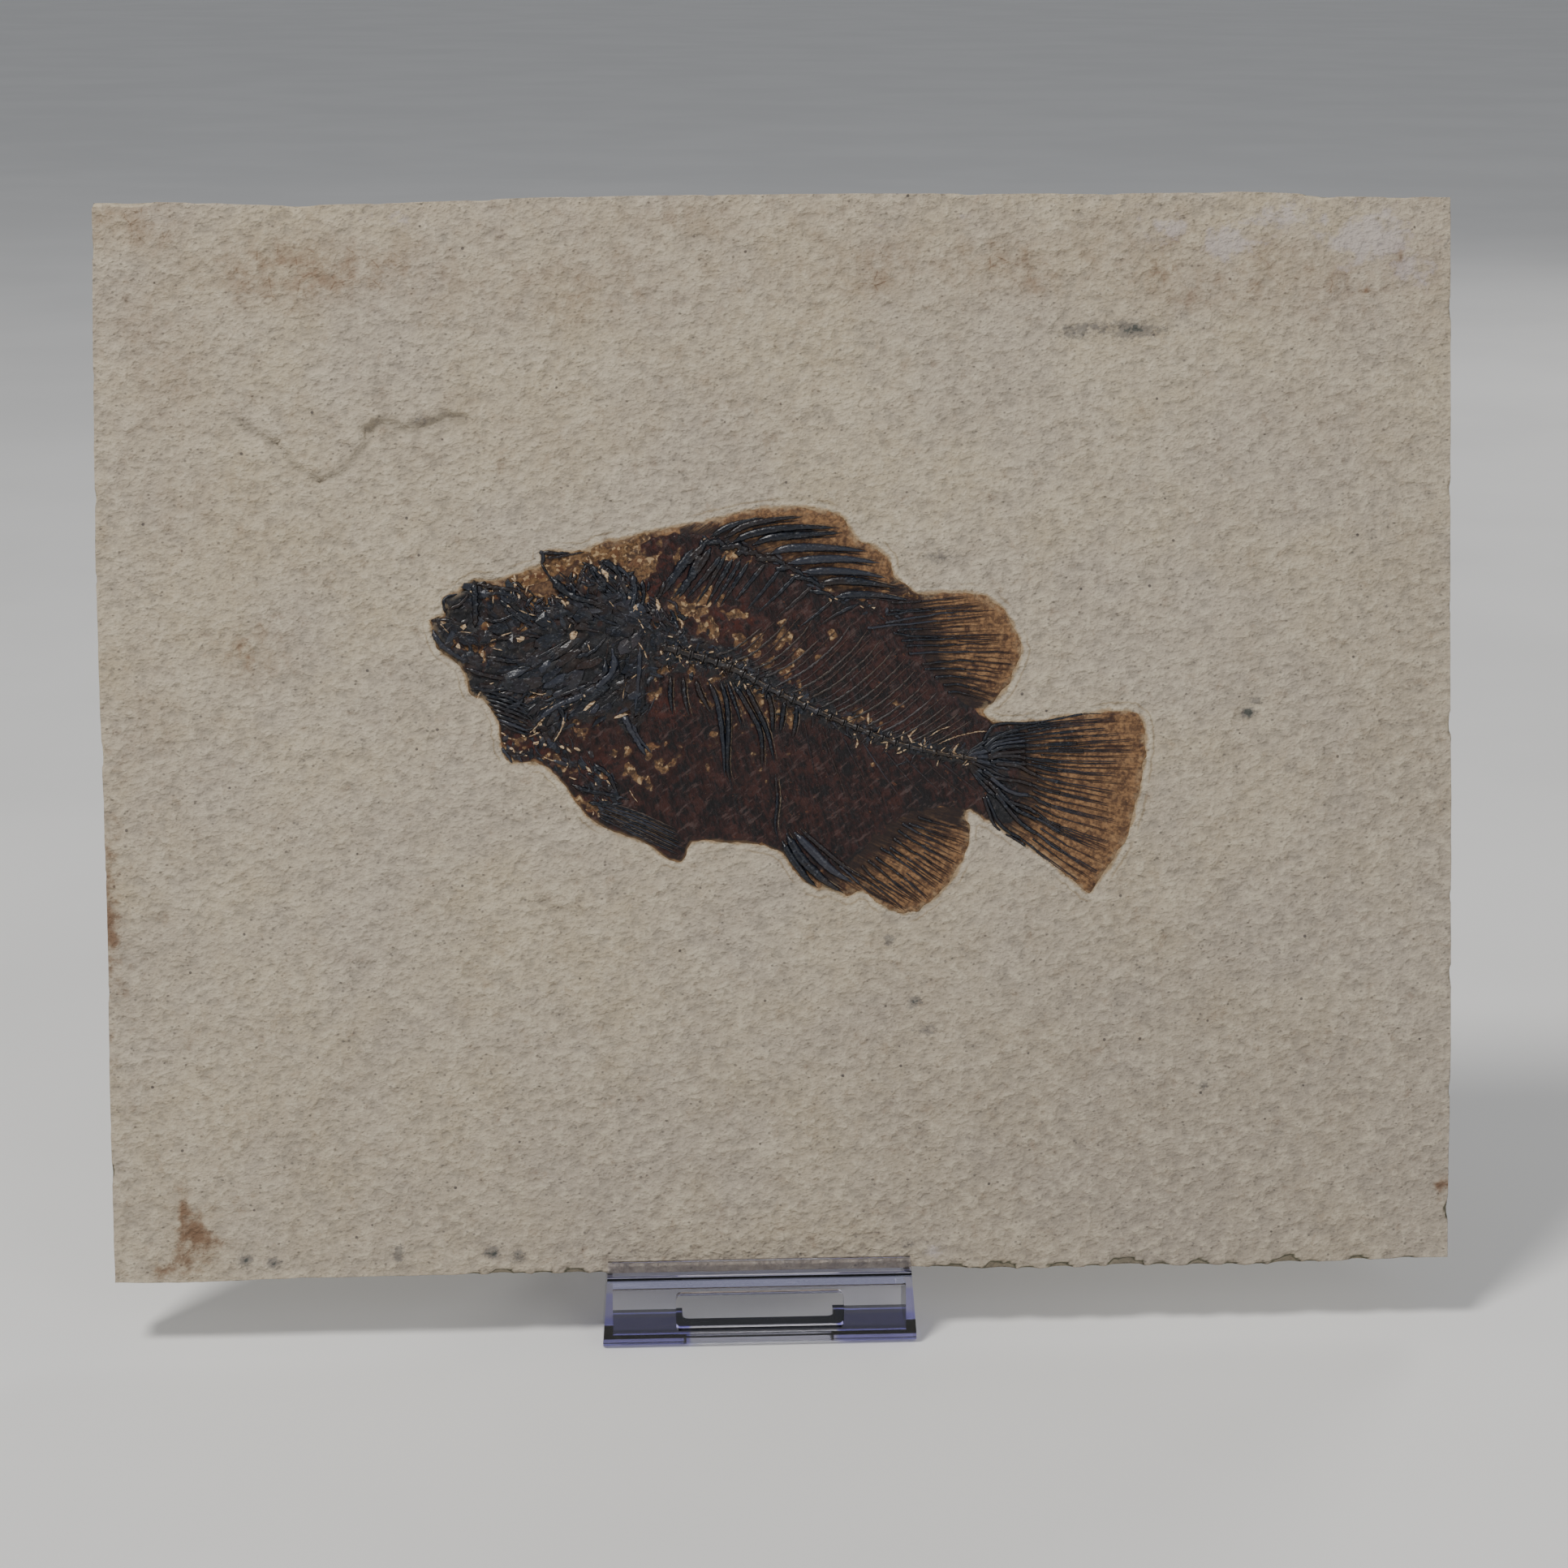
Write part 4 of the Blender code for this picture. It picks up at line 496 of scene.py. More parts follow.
SOFT_ANAL_RAYS = [
    [(9.8, 72.9), (12.1, 70.9), (14.9, 68.4), (19.1, 66.0)], [(12.0, 71.8), (15.4, 69.7), (20.2, 65.9)],
    [(13.8, 72.9), (16.6, 70.1), (22.2, 66.7)], [(14.9, 73.8), (17.4, 71.8), (20.2, 69.3), (23.9, 66.4)],
    [(16.3, 74.3), (21.1, 70.7), (24.7, 67.6)], [(17.2, 76.0), (19.4, 74.6), (22.2, 72.4), (26.2, 69.5)],
    [(18.8, 76.0), (21.1, 74.6), (27.6, 70.1)], [(19.5, 77.7), (22.2, 75.7), (25.0, 74.0), (28.7, 71.5)],
    [(20.3, 79.1), (23.1, 77.2), (25.9, 75.5), (29.6, 73.5)], [(21.1, 80.3), (23.9, 78.6), (29.8, 75.7)],
    [(22.2, 80.3), (25.0, 79.3), (30.1, 77.4)], [(23.9, 81.4), (26.4, 80.5), (29.6, 79.7)],
]
TAIL_RAYS = [
    [(37.8, 97.7), (44.0, 97.9), (50.0, 98.8), (55.9, 99.6), (60.4, 99.1)],
    [(38.1, 95.5), (42.9, 97.1), (48.6, 97.9), (59.8, 98.6)],
    [(38.1, 95.3), (44.1, 96.2), (50.0, 97.2), (61.3, 97.7)],
    [(38.7, 94.8), (50.0, 96.2), (61.5, 96.9)],
    [(39.3, 94.4), (51.4, 95.3), (61.8, 95.8)],
    [(40.1, 93.8), (50.3, 94.1), (61.8, 94.7)],
    [(39.3, 92.7), (51.4, 92.9), (62.4, 92.7)],
    [(39.3, 92.2), (44.1, 91.6), (50.0, 91.0), (62.4, 90.7)],
    [(40.1, 91.0), (44.1, 90.5), (50.0, 89.3), (62.1, 88.3)],
    [(41.8, 90.3), (45.7, 88.3), (50.0, 87.1), (59.9, 85.2)],
    [(37.8, 88.3), (42.9, 87.4), (47.2, 85.9), (51.4, 84.8), (58.4, 83.1)],
    [(40.1, 85.9), (44.3, 84.8), (48.6, 82.8), (59.9, 80.0)],
    [(39.5, 84.3), (44.1, 82.6), (47.4, 80.3), (51.4, 78.6), (57.9, 76.4)],
    [(41.8, 82.3), (45.7, 80.6), (50.0, 78.0), (57.6, 74.7)],
    [(41.8, 80.6), (45.7, 77.8), (50.0, 74.7), (55.6, 71.3)],
    [(38.7, 79.7), (42.9, 76.9), (47.2, 73.5), (54.2, 68.5)],
    [(37.8, 79.5), (41.8, 76.9), (45.7, 73.8), (50.0, 70.4), (53.1, 68.2)],
]
# Fans of even rays: (first ray, last ray, how many).
PELVIC_FAN = (
    [(-32.6, 84.8), (-26.0, 82.8), (-17.6, 79.0)], [(-33.4, 82.4), (-26.4, 79.0), (-18.6, 75.2)], 7,
)
BRANCHIAL_FAN = (
    [(-53.4, 105.0), (-48.6, 103.6), (-44.4, 101.6)], [(-50.2, 99.0), (-47.6, 97.8), (-45.0, 96.8)], 8,
)
HYPURAL_FAN = (
    [(32.6, 92.6), (36.4, 95.0), (40.4, 96.6)], [(32.6, 91.0), (35.6, 87.0), (40.4, 82.6)], 9,
)
# Lines along which the belly's bones are crumbled.
BELLY_BONES = [(-46.4, 97.0), (-41.0, 95.4), (-37.0, 91.6), (-34.0, 87.6), (-30.0, 84.6)]
BELLY_RIM = [
    (-50.4, 97.6), (-48.0, 93.8), (-43.6, 91.8), (-39.6, 87.6), (-36.8, 84.2), (-33.0, 82.0),
]
# The backbone's line, from the skull to the tail.
BACKBONE = [
    (-21.0, 112.2), (-10.5, 108.9), (-1.9, 104.4), (5.0, 101.0), (12.7, 97.6), (20.5, 94.6), (27.3, 92.9),
    (34.5, 91.6),
]
TAIL_ROOT = (33.0, 91.4)  # the tail's rays start a little way towards this point
WIDEST_TAIL_GAP = 2.1  # the gap between two rays' ends that is still filled by their branches
OPEN_TAIL_GAP = 1.5  # a finer ray fills any gap wider than this
VERTEBRAE = 24
VERTEBRA_WIDTHS = (2.3, 1.3)  # across a joint, and across the waist between two
BACKBONE_TAPER = 0.5  # what is left of those widths by the tail

# ---------------------------------------------------------------------------
# Drawing
# ---------------------------------------------------------------------------

NOISE_TABLE = 256  # the noise repeats after this many lumps
NOISE_PEAK = 1.6  # what three layers of noise add up to, more or less


def smooth_path(points, steps, closed=False):
    """Points along a Catmull-Rom curve through the drawn ones, steps to each span."""
    drawn = np.array(points, float)
    if closed:
        padded = np.vstack([drawn[-1], drawn, drawn[0], drawn[1]])
    else:
        padded = np.vstack([2 * drawn[0] - drawn[1], drawn, 2 * drawn[-1] - drawn[-2]])
    found = []
    for before, start, end, after in zip(padded, padded[1:], padded[2:], padded[3:]):
        for t in np.arange(steps) / steps:
            found.append(0.5 * (2 * start + (end - before) * t
                                + (2 * before - 5 * start + 4 * end - after) * t**2
                                + (3 * start - before - 3 * end + after) * t**3))
    if not closed:
        found.append(drawn[-1])
    return np.array(found)


def run_lengths(curve):
    """How far along a curve each of its points lies."""
    return np.concatenate([[0], np.cumsum(np.linalg.norm(np.diff(curve, axis=0), axis=1))])


def read_curve(curve, places, wanted):
    """A curve whose points have the given places, read at the places wanted."""
    return np.stack([np.interp(wanted, places, curve[:, axis]) for axis in (0, 1)], axis=1)


def even_path(points, spacing):
    """The curve through drawn points, at even steps along it, with each point's share of its length."""
    curve = smooth_path(points, 12)
    reach = run_lengths(curve)
    count = max(4, int(reach[-1] / spacing) + 1)
    shares = np.linspace(0, 1, count)
    return read_curve(curve, reach, shares * reach[-1]), shares


def halfway(first, second, begin):
    """A path midway between two drawn ones, from a share of their length to their ends."""
    shares = np.linspace(begin, 1, 5)
    pair = []
    for points in (first, second):
        curve = smooth_path(points, 8)
        pair.append(read_curve(curve, np.linspace(0, 1, len(curve)), shares))
    return (pair[0] + pair[1]) / 2


def fan_paths(fan):
    """Ray paths that go evenly from a fan's first ray to its last."""
    first, last, count = fan
    first = np.array(first)
    last = np.array(last)
    return [first + (last - first) * share for share in np.linspace(0, 1, count)]


def left_of(path):
    """The unit vector to the left of a path, at each of its points."""
    along = np.gradient(path, axis=0)
    along /= np.linalg.norm(along, axis=1)[:, None]
    return np.stack([-along[:, 1], along[:, 0]], axis=1)


def path_distance(u, v, path, closed=False):
    """How far each point is from a drawn path."""
    path = np.array(path, float)
    ends = np.roll(path, -1, axis=0) if closed else path[1:]
    nearest = np.full(np.shape(u), np.inf)
    for (u0, v0), (u1, v1) in zip(path, ends):
        span = (u1 - u0) ** 2 + (v1 - v0) ** 2
        along = np.clip(((u - u0) * (u1 - u0) + (v - v0) * (v1 - v0)) / span, 0, 1)
        squared = (u - u0 - along * (u1 - u0)) ** 2 + (v - v0 - along * (v1 - v0)) ** 2
        nearest = np.minimum(nearest, squared)
    return np.sqrt(nearest)


def depth_inside(u, v, outline):
    """The distance to a closed outline, above zero inside it and below zero outside."""
    inside = np.zeros(np.shape(u), bool)
    for (u0, v0), (u1, v1) in zip(outline, np.roll(outline, -1, axis=0)):
        if v0 != v1:
            crosses = (v0 > v) != (v1 > v)
            inside ^= crosses & (u < u0 + (v - v0) * (u1 - u0) / (v1 - v0))
    return np.where(inside, 1, -1) * path_distance(u, v, outline, closed=True)


def smoothstep(low, high, value):
    share = np.clip((value - low) / (high - low), 0, 1)
    return share * share * (3 - 2 * share)


def lattice_noise(x, y, seed):
    """Smooth noise from -1 to 1, about one lump to each unit."""
    table = np.random.default_rng(seed).uniform(-1, 1, (NOISE_TABLE, NOISE_TABLE))
    column = np.floor(x).astype(int)
    row = np.floor(y).astype(int)
    across = smoothstep(0, 1, x - column)
    up = smoothstep(0, 1, y - row)

    def along_row(row):
        left = table[column % NOISE_TABLE, row % NOISE_TABLE]
        right = table[(column + 1) % NOISE_TABLE, row % NOISE_TABLE]
        return left * (1 - across) + right * across

    return along_row(row) * (1 - up) + along_row(row + 1) * up


def layered_noise(x, y, size, seed, layers=3):
    """Noise whose largest lumps have a size in millimetres, each finer layer half as strong."""
    total = 0
    for layer in range(layers):
        total = total + lattice_noise(x * 2**layer / size, y * 2**layer / size, seed + layer) / 2**layer
    return total / NOISE_PEAK


def turned(u, v, degrees):
    """Coordinates turned, so that noise can be stretched along a slant."""
    angle = math.radians(degrees)
    return u * math.cos(angle) + v * math.sin(angle), v * math.cos(angle) - u * math.sin(angle)


def stains(u, v, rows):
    """How strongly each point is stained by a list of soft patches."""
    strongest = np.zeros(np.shape(u))
    for centre_u, centre_v, reach_u, reach_v, strength in rows:
        away = ((u - centre_u) / reach_u) ** 2 + ((v - centre_v) / reach_v) ** 2
        strongest = np.maximum(strongest, strength * np.exp(-away))
    return strongest


# ---------------------------------------------------------------------------
# Meshes
# ---------------------------------------------------------------------------


def mesh_object(name, verts, faces, values):
    """A smooth-shaded piece from points in millimetres, with its named values at each point."""
    mesh = bpy.data.meshes.new(name)
    mesh.from_pydata(np.asarray(verts) * MM, [], faces)
    mesh.shade_smooth()
    for key, value in values.items():
        attribute = mesh.attributes.new(key, "FLOAT", "POINT")
        attribute.data.foreach_set("value", np.asarray(value, np.float32))
    mesh.validate()
    piece = bpy.data.objects.new(name, mesh)
    bpy.context.scene.collection.objects.link(piece)
    piece.matrix_world = SLAB_PLACE
    return piece


def band_faces(upper, lower):
    """The quads between two closed rings of point numbers, of which the upper one is nearer the front."""
    return np.stack([np.roll(upper, -1), upper, lower, np.roll(lower, -1)], axis=1).tolist()


def tube_faces(count, sides):
    """The faces of a tube of rings that ends in two points, which are numbered after its rings."""
    faces = []
    for ring in range(count - 1):
        near = ring * sides
        far = near + sides
        for side in range(sides):
            after = (side + 1) % sides
            faces.append((near + side, far + side, far + after, near + after))
    root = count * sides
    tip = root + 1
    last = root - sides
    for side in range(sides):
        after = (side + 1) % sides
        faces.append((root, side, after))
        faces.append((tip, last + after, last + side))
    return faces


# ---------------------------------------------------------------------------
# The slab
# ---------------------------------------------------------------------------

FISH_EDGE = smooth_path(FISH_OUTLINE, 3, closed=True)

FACE_DIP = 0.14  # how far inside the plain block the worn face lies, more or less
SWELL = 0.07  # how high its broad swells, fine lumps and middling lumps stand
FINE_LUMPS = 0.105
LUMPS = 0.045
LUMPS_TURN = 10  # degrees
LUMPS_STRETCH = 0.85
GROOVE_LIP = 0.16  # the share of a groove's depth that stands up beside it
POCKET_FLOOR = 1.15
POCKET_SLOPE = (0.55, 2.0)  # how far in from the fish's edge its pocket's side begins and ends
HALO_DEPTH = 0.17  # the moat scraped round the fish, and the lip outside it
HALO_LIP = 0.08
HALO_AWAY = 0.65  # how far outside the fish's edge the moat and the lip run
LIP_AWAY = 1.45
SKIN_RISE = 0.24  # how far the skin comes up out of the stone at its edge
SKIN_START = -0.077

EDGE_FADE = 6  # power by which an edge's waviness fades towards the middle
SIDE_WEAR = 60  # the same for the edges' fine roughness
END_WEAR = 90
RIM_ROUND = 0.28
CHIP_DEPTH = 0.75  # of its radius
CHIP_PULL = 0.3  # how far a chip draws the front's outline in, as a share of its depth
RIM_CHIP_PULL = 0.35
# How wide and how tall a chip is at each edge, as shares of its radius.
BOTTOM_BITE = (1.7, 0.9)
TOP_BITE = (1.7, 0.6)
RIGHT_BITE = (0.7, 1.4)
LEFT_BITE = (0.6, 1.3)
CORNER_BITE = (1.6, 7.5, 1.5)  # the broken top left corner: depth, reach along, reach down

BACK_DIP = 0.30  # the back lies inside the plain block too, with swells and lumps of these heights
BACK_SWELL = 0.22
BACK_LUMPS = 0.10
LEDGE_DIP = 0.45
LEDGE_LUMPS = 0.16
LEDGE_WANDER = 1.6  # how far a ledge's edge wanders from its drawn one
LEDGE_STEP = 0.45  # half the width of the slope down to a ledge

COARSE_STEP = 1.05  # spacing of the front's grid away from the fish
FINE_COLUMNS = (0.80, -97, 70)  # its spacing across the fish, from one place to another
FINE_ROWS = (0.62, 61, 155)
RIM_LINES = np.array([0.0, 0.45, 0.9, 1.45, 2.1])  # how far in from the rim its outer lines lie
GRID_NUDGE = 0.01
# Rings down the sawn edge: (share of the way to the back, how far it is drawn in).
RIM_RINGS = [(0.05, 0.15), (0.30, 0.0), (0.62, 0.0), (0.95, 0.12)]
LAST_RING_RISE = 0.45  # the last ring's height above the back
SAW_WEAR = 0.14
NOT_NEAR = 9.0  # stands for "far outside the fish" on the rim and the back
# A back face's corners and the midpoints of its sides, some of which only exist at the rim.
BACK_WALK = [(0, 0), (0, 1), (0, 2), (1, 2), (2, 2), (2, 1), (2, 0), (1, 0)]


def stone_level(u, v):
    """The height of the stone's face, without its edges and the fish's pocket."""
    slant_u, slant_v = turned(u, v, LUMPS_TURN)
    level = -FACE_DIP + SWELL * layered_noise(u, v, size=34, seed=11)
    level = level + FINE_LUMPS * layered_noise(slant_u * LUMPS_STRETCH, slant_v, size=2.5, seed=21, layers=1)
    level = level + LUMPS * layered_noise(u, v, size=8.0, seed=31, layers=2)
    for index, (width, depth, path) in enumerate(FACE_GROOVES):
        wobble = 0.3 * layered_noise(u, v, size=2.2, seed=41 + index, layers=2)
        away = path_distance(u, v, smooth_path(path, 4)) + wobble
        level = level - 1.2 * depth * np.exp(-np.clip(away, 0, None) ** 2 / (width * 0.60) ** 2)
        level = level + GROOVE_LIP * depth * np.exp(-(away - 1.7 * width) ** 2 / width**2)
    return level


def fish_skin_level(u, v, inside):
    """The height of the fish's skin at its edge, where it comes up out of the stone."""
    return stone_level(u, v) + SKIN_RISE * smoothstep(-0.5, 1.0, inside) + SKIN_START


def spaced_lines(low, high, fine, fine_low, fine_high):
    """Grid lines from low to high, an odd number, close together in one stretch and at both ends."""
    lines = list(low + RIM_LINES) + list(high - RIM_LINES)
    stretches = ((low + RIM_LINES[-1], fine_low, COARSE_STEP), (fine_low, fine_high, fine),
                 (fine_high, high - RIM_LINES[-1], COARSE_STEP))
    for start, end, spacing in stretches:
        count = max(1, round((end - start) / spacing))
        lines += list(np.linspace(start, end, count + 1)[:-1])
    lines = np.unique(np.round(lines, 4))
    if len(lines) % 2 == 0:
        middle = len(lines) // 3
        lines = np.insert(lines, middle, (lines[middle - 1] + lines[middle]) / 2)
    return lines


def edge_offset(edge, place):
    places, offsets = zip(*edge)
    return np.interp(place, places, offsets)


def worn_outline(u, v):
    """Where points of the plain rectangle go, with the waviness of its sawn edges."""
    side = np.clip(u / (SLAB_WIDTH / 2), -1, 1)
    rise = np.clip(v / SLAB_HEIGHT, 0, 1)
    across = np.where(side > 0, edge_offset(RIGHT_EDGE, v), -edge_offset(LEFT_EDGE, v))
    rough = 0.11 + 0.10 * (1 + layered_noise(u, v, size=3.2, seed=51))
    new_u = u + across * np.abs(side) ** EDGE_FADE - np.sign(side) * rough * np.abs(side) ** SIDE_WEAR
    new_v = (v - edge_offset(BOTTOM_EDGE, u) * (1 - rise) ** EDGE_FADE
             + edge_offset(TOP_EDGE, u) * rise**EDGE_FADE
             + rough * (1 - rise) ** END_WEAR - rough * rise**END_WEAR)
    return new_u, new_v


def edge_chips(u, v):
    """How deep the scalloped chips along the edges bite at each point."""
    bite = np.zeros(np.shape(u))
    wobble = 1 + 0.35 * layered_noise(u, v, size=1.3, seed=61)
    rows = [(place, 0, radius, *BOTTOM_BITE) for place, radius in BOTTOM_CHIPS]
    rows += [(place, SLAB_HEIGHT, radius, *TOP_BITE) for place, radius in TOP_CHIPS]
    rows += [(SLAB_WIDTH / 2, place, radius, *RIGHT_BITE) for place, radius in SIDE_CHIPS]
    rows += [(-SLAB_WIDTH / 2, SLAB_HEIGHT - place, radius, *LEFT_BITE) for place, radius in SIDE_CHIPS]
    for centre_u, centre_v, radius, wide, tall in rows:
        away = np.hypot((u - centre_u) / (wide * radius), (v - centre_v) / (tall * radius)) * wobble
        bite = np.maximum(bite, CHIP_DEPTH * radius * np.clip(1 - away**2, 0, None))
    depth, along, down = CORNER_BITE
    corner = depth * np.clip(1 - (u + SLAB_WIDTH / 2) / along - (SLAB_HEIGHT - v) / down, 0, None)
    return np.maximum(bite, corner)


def front_level(u, v):
    """The stone's whole front face: its level, the fish's pocket, the halo round it and its chips."""
    inside = depth_inside(u, v, FISH_EDGE)
    wander = 0.30 * layered_noise(u, v, size=4.0, seed=73)
    halo = np.exp(-((inside + HALO_AWAY + wander) / 0.42) ** 2)
    halo = halo * (0.6 + 0.7 * layered_noise(u, v, size=3.0, seed=71))
    lip = np.exp(-((inside + LIP_AWAY + wander) / 0.40) ** 2)
    lip = lip * (0.3 + 0.8 * layered_noise(u, v, size=5.0, seed=75))
    level = stone_level(u, v) - HALO_DEPTH * halo + HALO_LIP * lip
    level = level - POCKET_FLOOR * smoothstep(*POCKET_SLOPE, inside)
    return level - edge_chips(u, v), inside


def back_level(u, v):
    """The split back, stepped down where whole layers came away."""
    level = -SLAB_THICKNESS + BACK_DIP + BACK_SWELL * layered_noise(u, v, size=20, seed=81)
    level = level + BACK_LUMPS * layered_noise(u, v, size=4.5, seed=85)
    wobble = LEDGE_WANDER * layered_noise(u, v, size=9, seed=87)
    for index, (depth, outline) in enumerate(BACK_LEDGES):
        inside = depth_inside(u, v, smooth_path(outline, 3, closed=True)) + wobble
        lumps = LEDGE_LUMPS * layered_noise(u, v, size=11, seed=91 + index)
        floor = -SLAB_THICKNESS + LEDGE_DIP + depth + lumps
        level = np.maximum(level, level + (floor - level) * smoothstep(-LEDGE_STEP, LEDGE_STEP, inside))
    return level


class Slab:
    """The stone as one closed mesh: a fine front, a sawn rim and a back of twice the spacing."""

    def __init__(self):
        columns = spaced_lines(-SLAB_WIDTH / 2, SLAB_WIDTH / 2, *FINE_COLUMNS)
        rows = spaced_lines(0, SLAB_HEIGHT, *FINE_ROWS)
        u, v = np.meshgrid(columns, rows, indexing="ij")
        self.u, self.v = u, v
        self.front, self.inside = front_level(u, v)
        self.inward_u = np.sign(u) * (np.abs(u) > SLAB_WIDTH / 2 - GRID_NUDGE)
        self.inward_v = np.where(v < GRID_NUDGE, -1, 0) + np.where(v > SLAB_HEIGHT - GRID_NUDGE, 1, 0)
        self.worn_u, self.worn_v = worn_outline(u, v)
        self.chipped = edge_chips(u, v)
        self.verts = []
        self.faces = []
        self.total = 0

    def keep(self, points):
        """Adds points, and gives their numbers."""
        self.verts.append(points)
        self.total += len(points)
        return np.arange(self.total - len(points), self.total)

    def add_front(self):
        """The front's grid. Gives its points' numbers."""
        pull = RIM_ROUND + CHIP_PULL * self.chipped
        front_u = self.worn_u - self.inward_u * pull
        front_v = self.worn_v - self.inward_v * pull
        numbers = self.keep(np.stack([front_u, front_v, self.front], axis=2).reshape(-1, 3))
        grid = numbers.reshape(self.u.shape)
        cells = np.stack([grid[:-1, :-1], grid[1:, :-1], grid[1:, 1:], grid[:-1, 1:]], axis=2)
        self.faces += cells.reshape(-1, 4).tolist()
        return grid

    def add_rim(self, grid):
        """Rings down the sawn edge. Gives the last ring's numbers, by their places in the grid."""
        count_u, count_v = grid.shape
        rim = [(i, 0) for i in range(count_u)]
        rim += [(count_u - 1, j) for j in range(1, count_v)]
        rim += [(i, count_v - 1) for i in range(count_u - 2, -1, -1)]
        rim += [(0, j) for j in range(count_v - 2, 0, -1)]
        at = tuple(np.array(rim).T)
        front = self.front[at]
        back = back_level(self.u[at], self.v[at])
        around = np.arange(len(rim), dtype=float)
        upper = grid[at]
        for number, (share, pull) in enumerate(RIM_RINGS):
            depth = front + (back - front) * share
            if number == len(RIM_RINGS) - 1:
                depth = back + LAST_RING_RISE
            wear = SAW_WEAR * (1 + layered_noise(around, depth * 3, size=3.4, seed=95 + number))
            inset = wear + pull
            if number == 0:
                inset = inset + RIM_CHIP_PULL * self.chipped[at]
            ring_u = self.worn_u[at] - self.inward_u[at] * inset
            ring_v = self.worn_v[at] - self.inward_v[at] * inset
            lower = self.keep(np.stack([ring_u, ring_v, depth], axis=1))
            self.faces += band_faces(upper, lower)
            upper = lower
        return dict(zip(rim, upper))

    def add_back(self, last_ring):
        """The split back: every second point of the grid, and all of the last ring's."""
        count_u, count_v = self.u.shape
        inner = [(i, j) for i in range(2, count_u - 1, 2) for j in range(2, count_v - 1, 2)]
        at = tuple(np.array(inner).T)
        level = back_level(self.u[at], self.v[at])
        numbers = self.keep(np.stack([self.worn_u[at], self.worn_v[at], level], axis=1))
        known = dict(zip(inner, numbers)) | last_ring
        for i in range(0, count_u - 1, 2):
            for j in range(0, count_v - 1, 2):
                walk = [(i + right, j + up) for right, up in BACK_WALK]
                self.faces.append([int(known[spot]) for spot in walk if spot in known])

    def over_front(self, field, elsewhere):
        """A value known over the front's grid, with another one on the rim and the back."""
        spread = np.full(self.total, float(elsewhere))
        spread[: field.size] = field.reshape(-1)
        return spread

    def values(self, u, v):
        """What the stone's material reads at each point."""
        broad = layered_noise(u, v, size=9, seed=101)
        fine = layered_noise(u, v, size=2.2, seed=105)
        # Painted shade: how much the floor of each groove is darkened.
        groove_shade = np.zeros(len(u))
        for width, depth, path in FACE_GROOVES:
            away = path_distance(u, v, smooth_path(path, 4))
            groove_shade = np.maximum(groove_shade, depth * np.exp(-(away / (width * 0.9)) ** 2))
        return {
            "front": self.over_front(np.ones(self.u.shape), 0),
            "outside": self.over_front(-self.inside, NOT_NEAR),
            "groove_shade": groove_shade,
            "chips": self.over_front(self.chipped, 0),
            "rust": stains(u, v, RUST_STAINS) * (1 + 0.5 * broad),
            "brown": stains(u, v, BROWN_STAINS) * (1 + 0.7 * broad + 0.3 * fine),
            "chalk": stains(u, v, CHALK_STAINS) * (1 + 0.8 * broad + 0.5 * fine),
            "grey_and_groove_shade": stains(u, v, GREY_SPOTS_AND_GROOVE_SHADE) * (1 + 0.6 * fine),
            "face_shade": stains(u, v, FACE_SHADE_PATCHES),
        }


def make_slab():
    stone = Slab()
    stone.add_back(stone.add_rim(stone.add_front()))
    verts = np.vstack(stone.verts)
    slab = mesh_object("slab_stone", verts, stone.faces, stone.values(verts[:, 0], verts[:, 1]))
    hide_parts("limestone_slab")
    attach(slab, "root")
    return slab


# ---------------------------------------------------------------------------
# The fish's skin
# ---------------------------------------------------------------------------

SKIN_STEP = 0.27  # the grid's spacing
SKIN_BACK = -0.80  # the height of the sheet's flat back
SKIN_MARGIN = 1.2  # the grid's margin round the fish
SKIN_END = -0.42  # the skin's ragged edge lies this far outside the drawn one
FAR_BELOW = -9.0
SCALES_TURN = 20  # degrees
CRUMPLE_TURN = 24
SPIKES_TURN = -55
FLAKES_TURN = 42
FLANK_RISE = 0.16  # how far the flank stands above the fins, and its middle above its edge
FLANK_CROWN = 0.16
SCALE_LUMPS = 0.055
FLANK_LUMPS = 0.05
CRUMPLE_RISE = 0.10  # how far the dark bone stands up, and its crumples above that
CRUMPLE_HEIGHT = 0.60
BARE_TAIL = (37, 34)  # where the tail's dark root goes flat again
PLATE_GAIN = 1.2
WEB_LUMPS = 0.05
GRAIN_LUMPS = 0.03
EDGE_DROP = 0.35  # how far the skin bends down to the stone outside the drawn edge
NAPE_SHADE = 0.52  # how much darker the fin's web is over the skull, and where that is
NAPE_ACROSS = (-19, -23)
NAPE_UP = (112, 117)
COLUMN_REACH = (3.1, 1.9)  # half the width of the dark column at the skull, and what it loses by the tail
GOLD_LOBES = (0.85, 0.60, 0.50, 0.40)  # each golden patch is made of lobes of these sizes
GOLD_BEND = 0.9
GOLD_SINK = 0.16


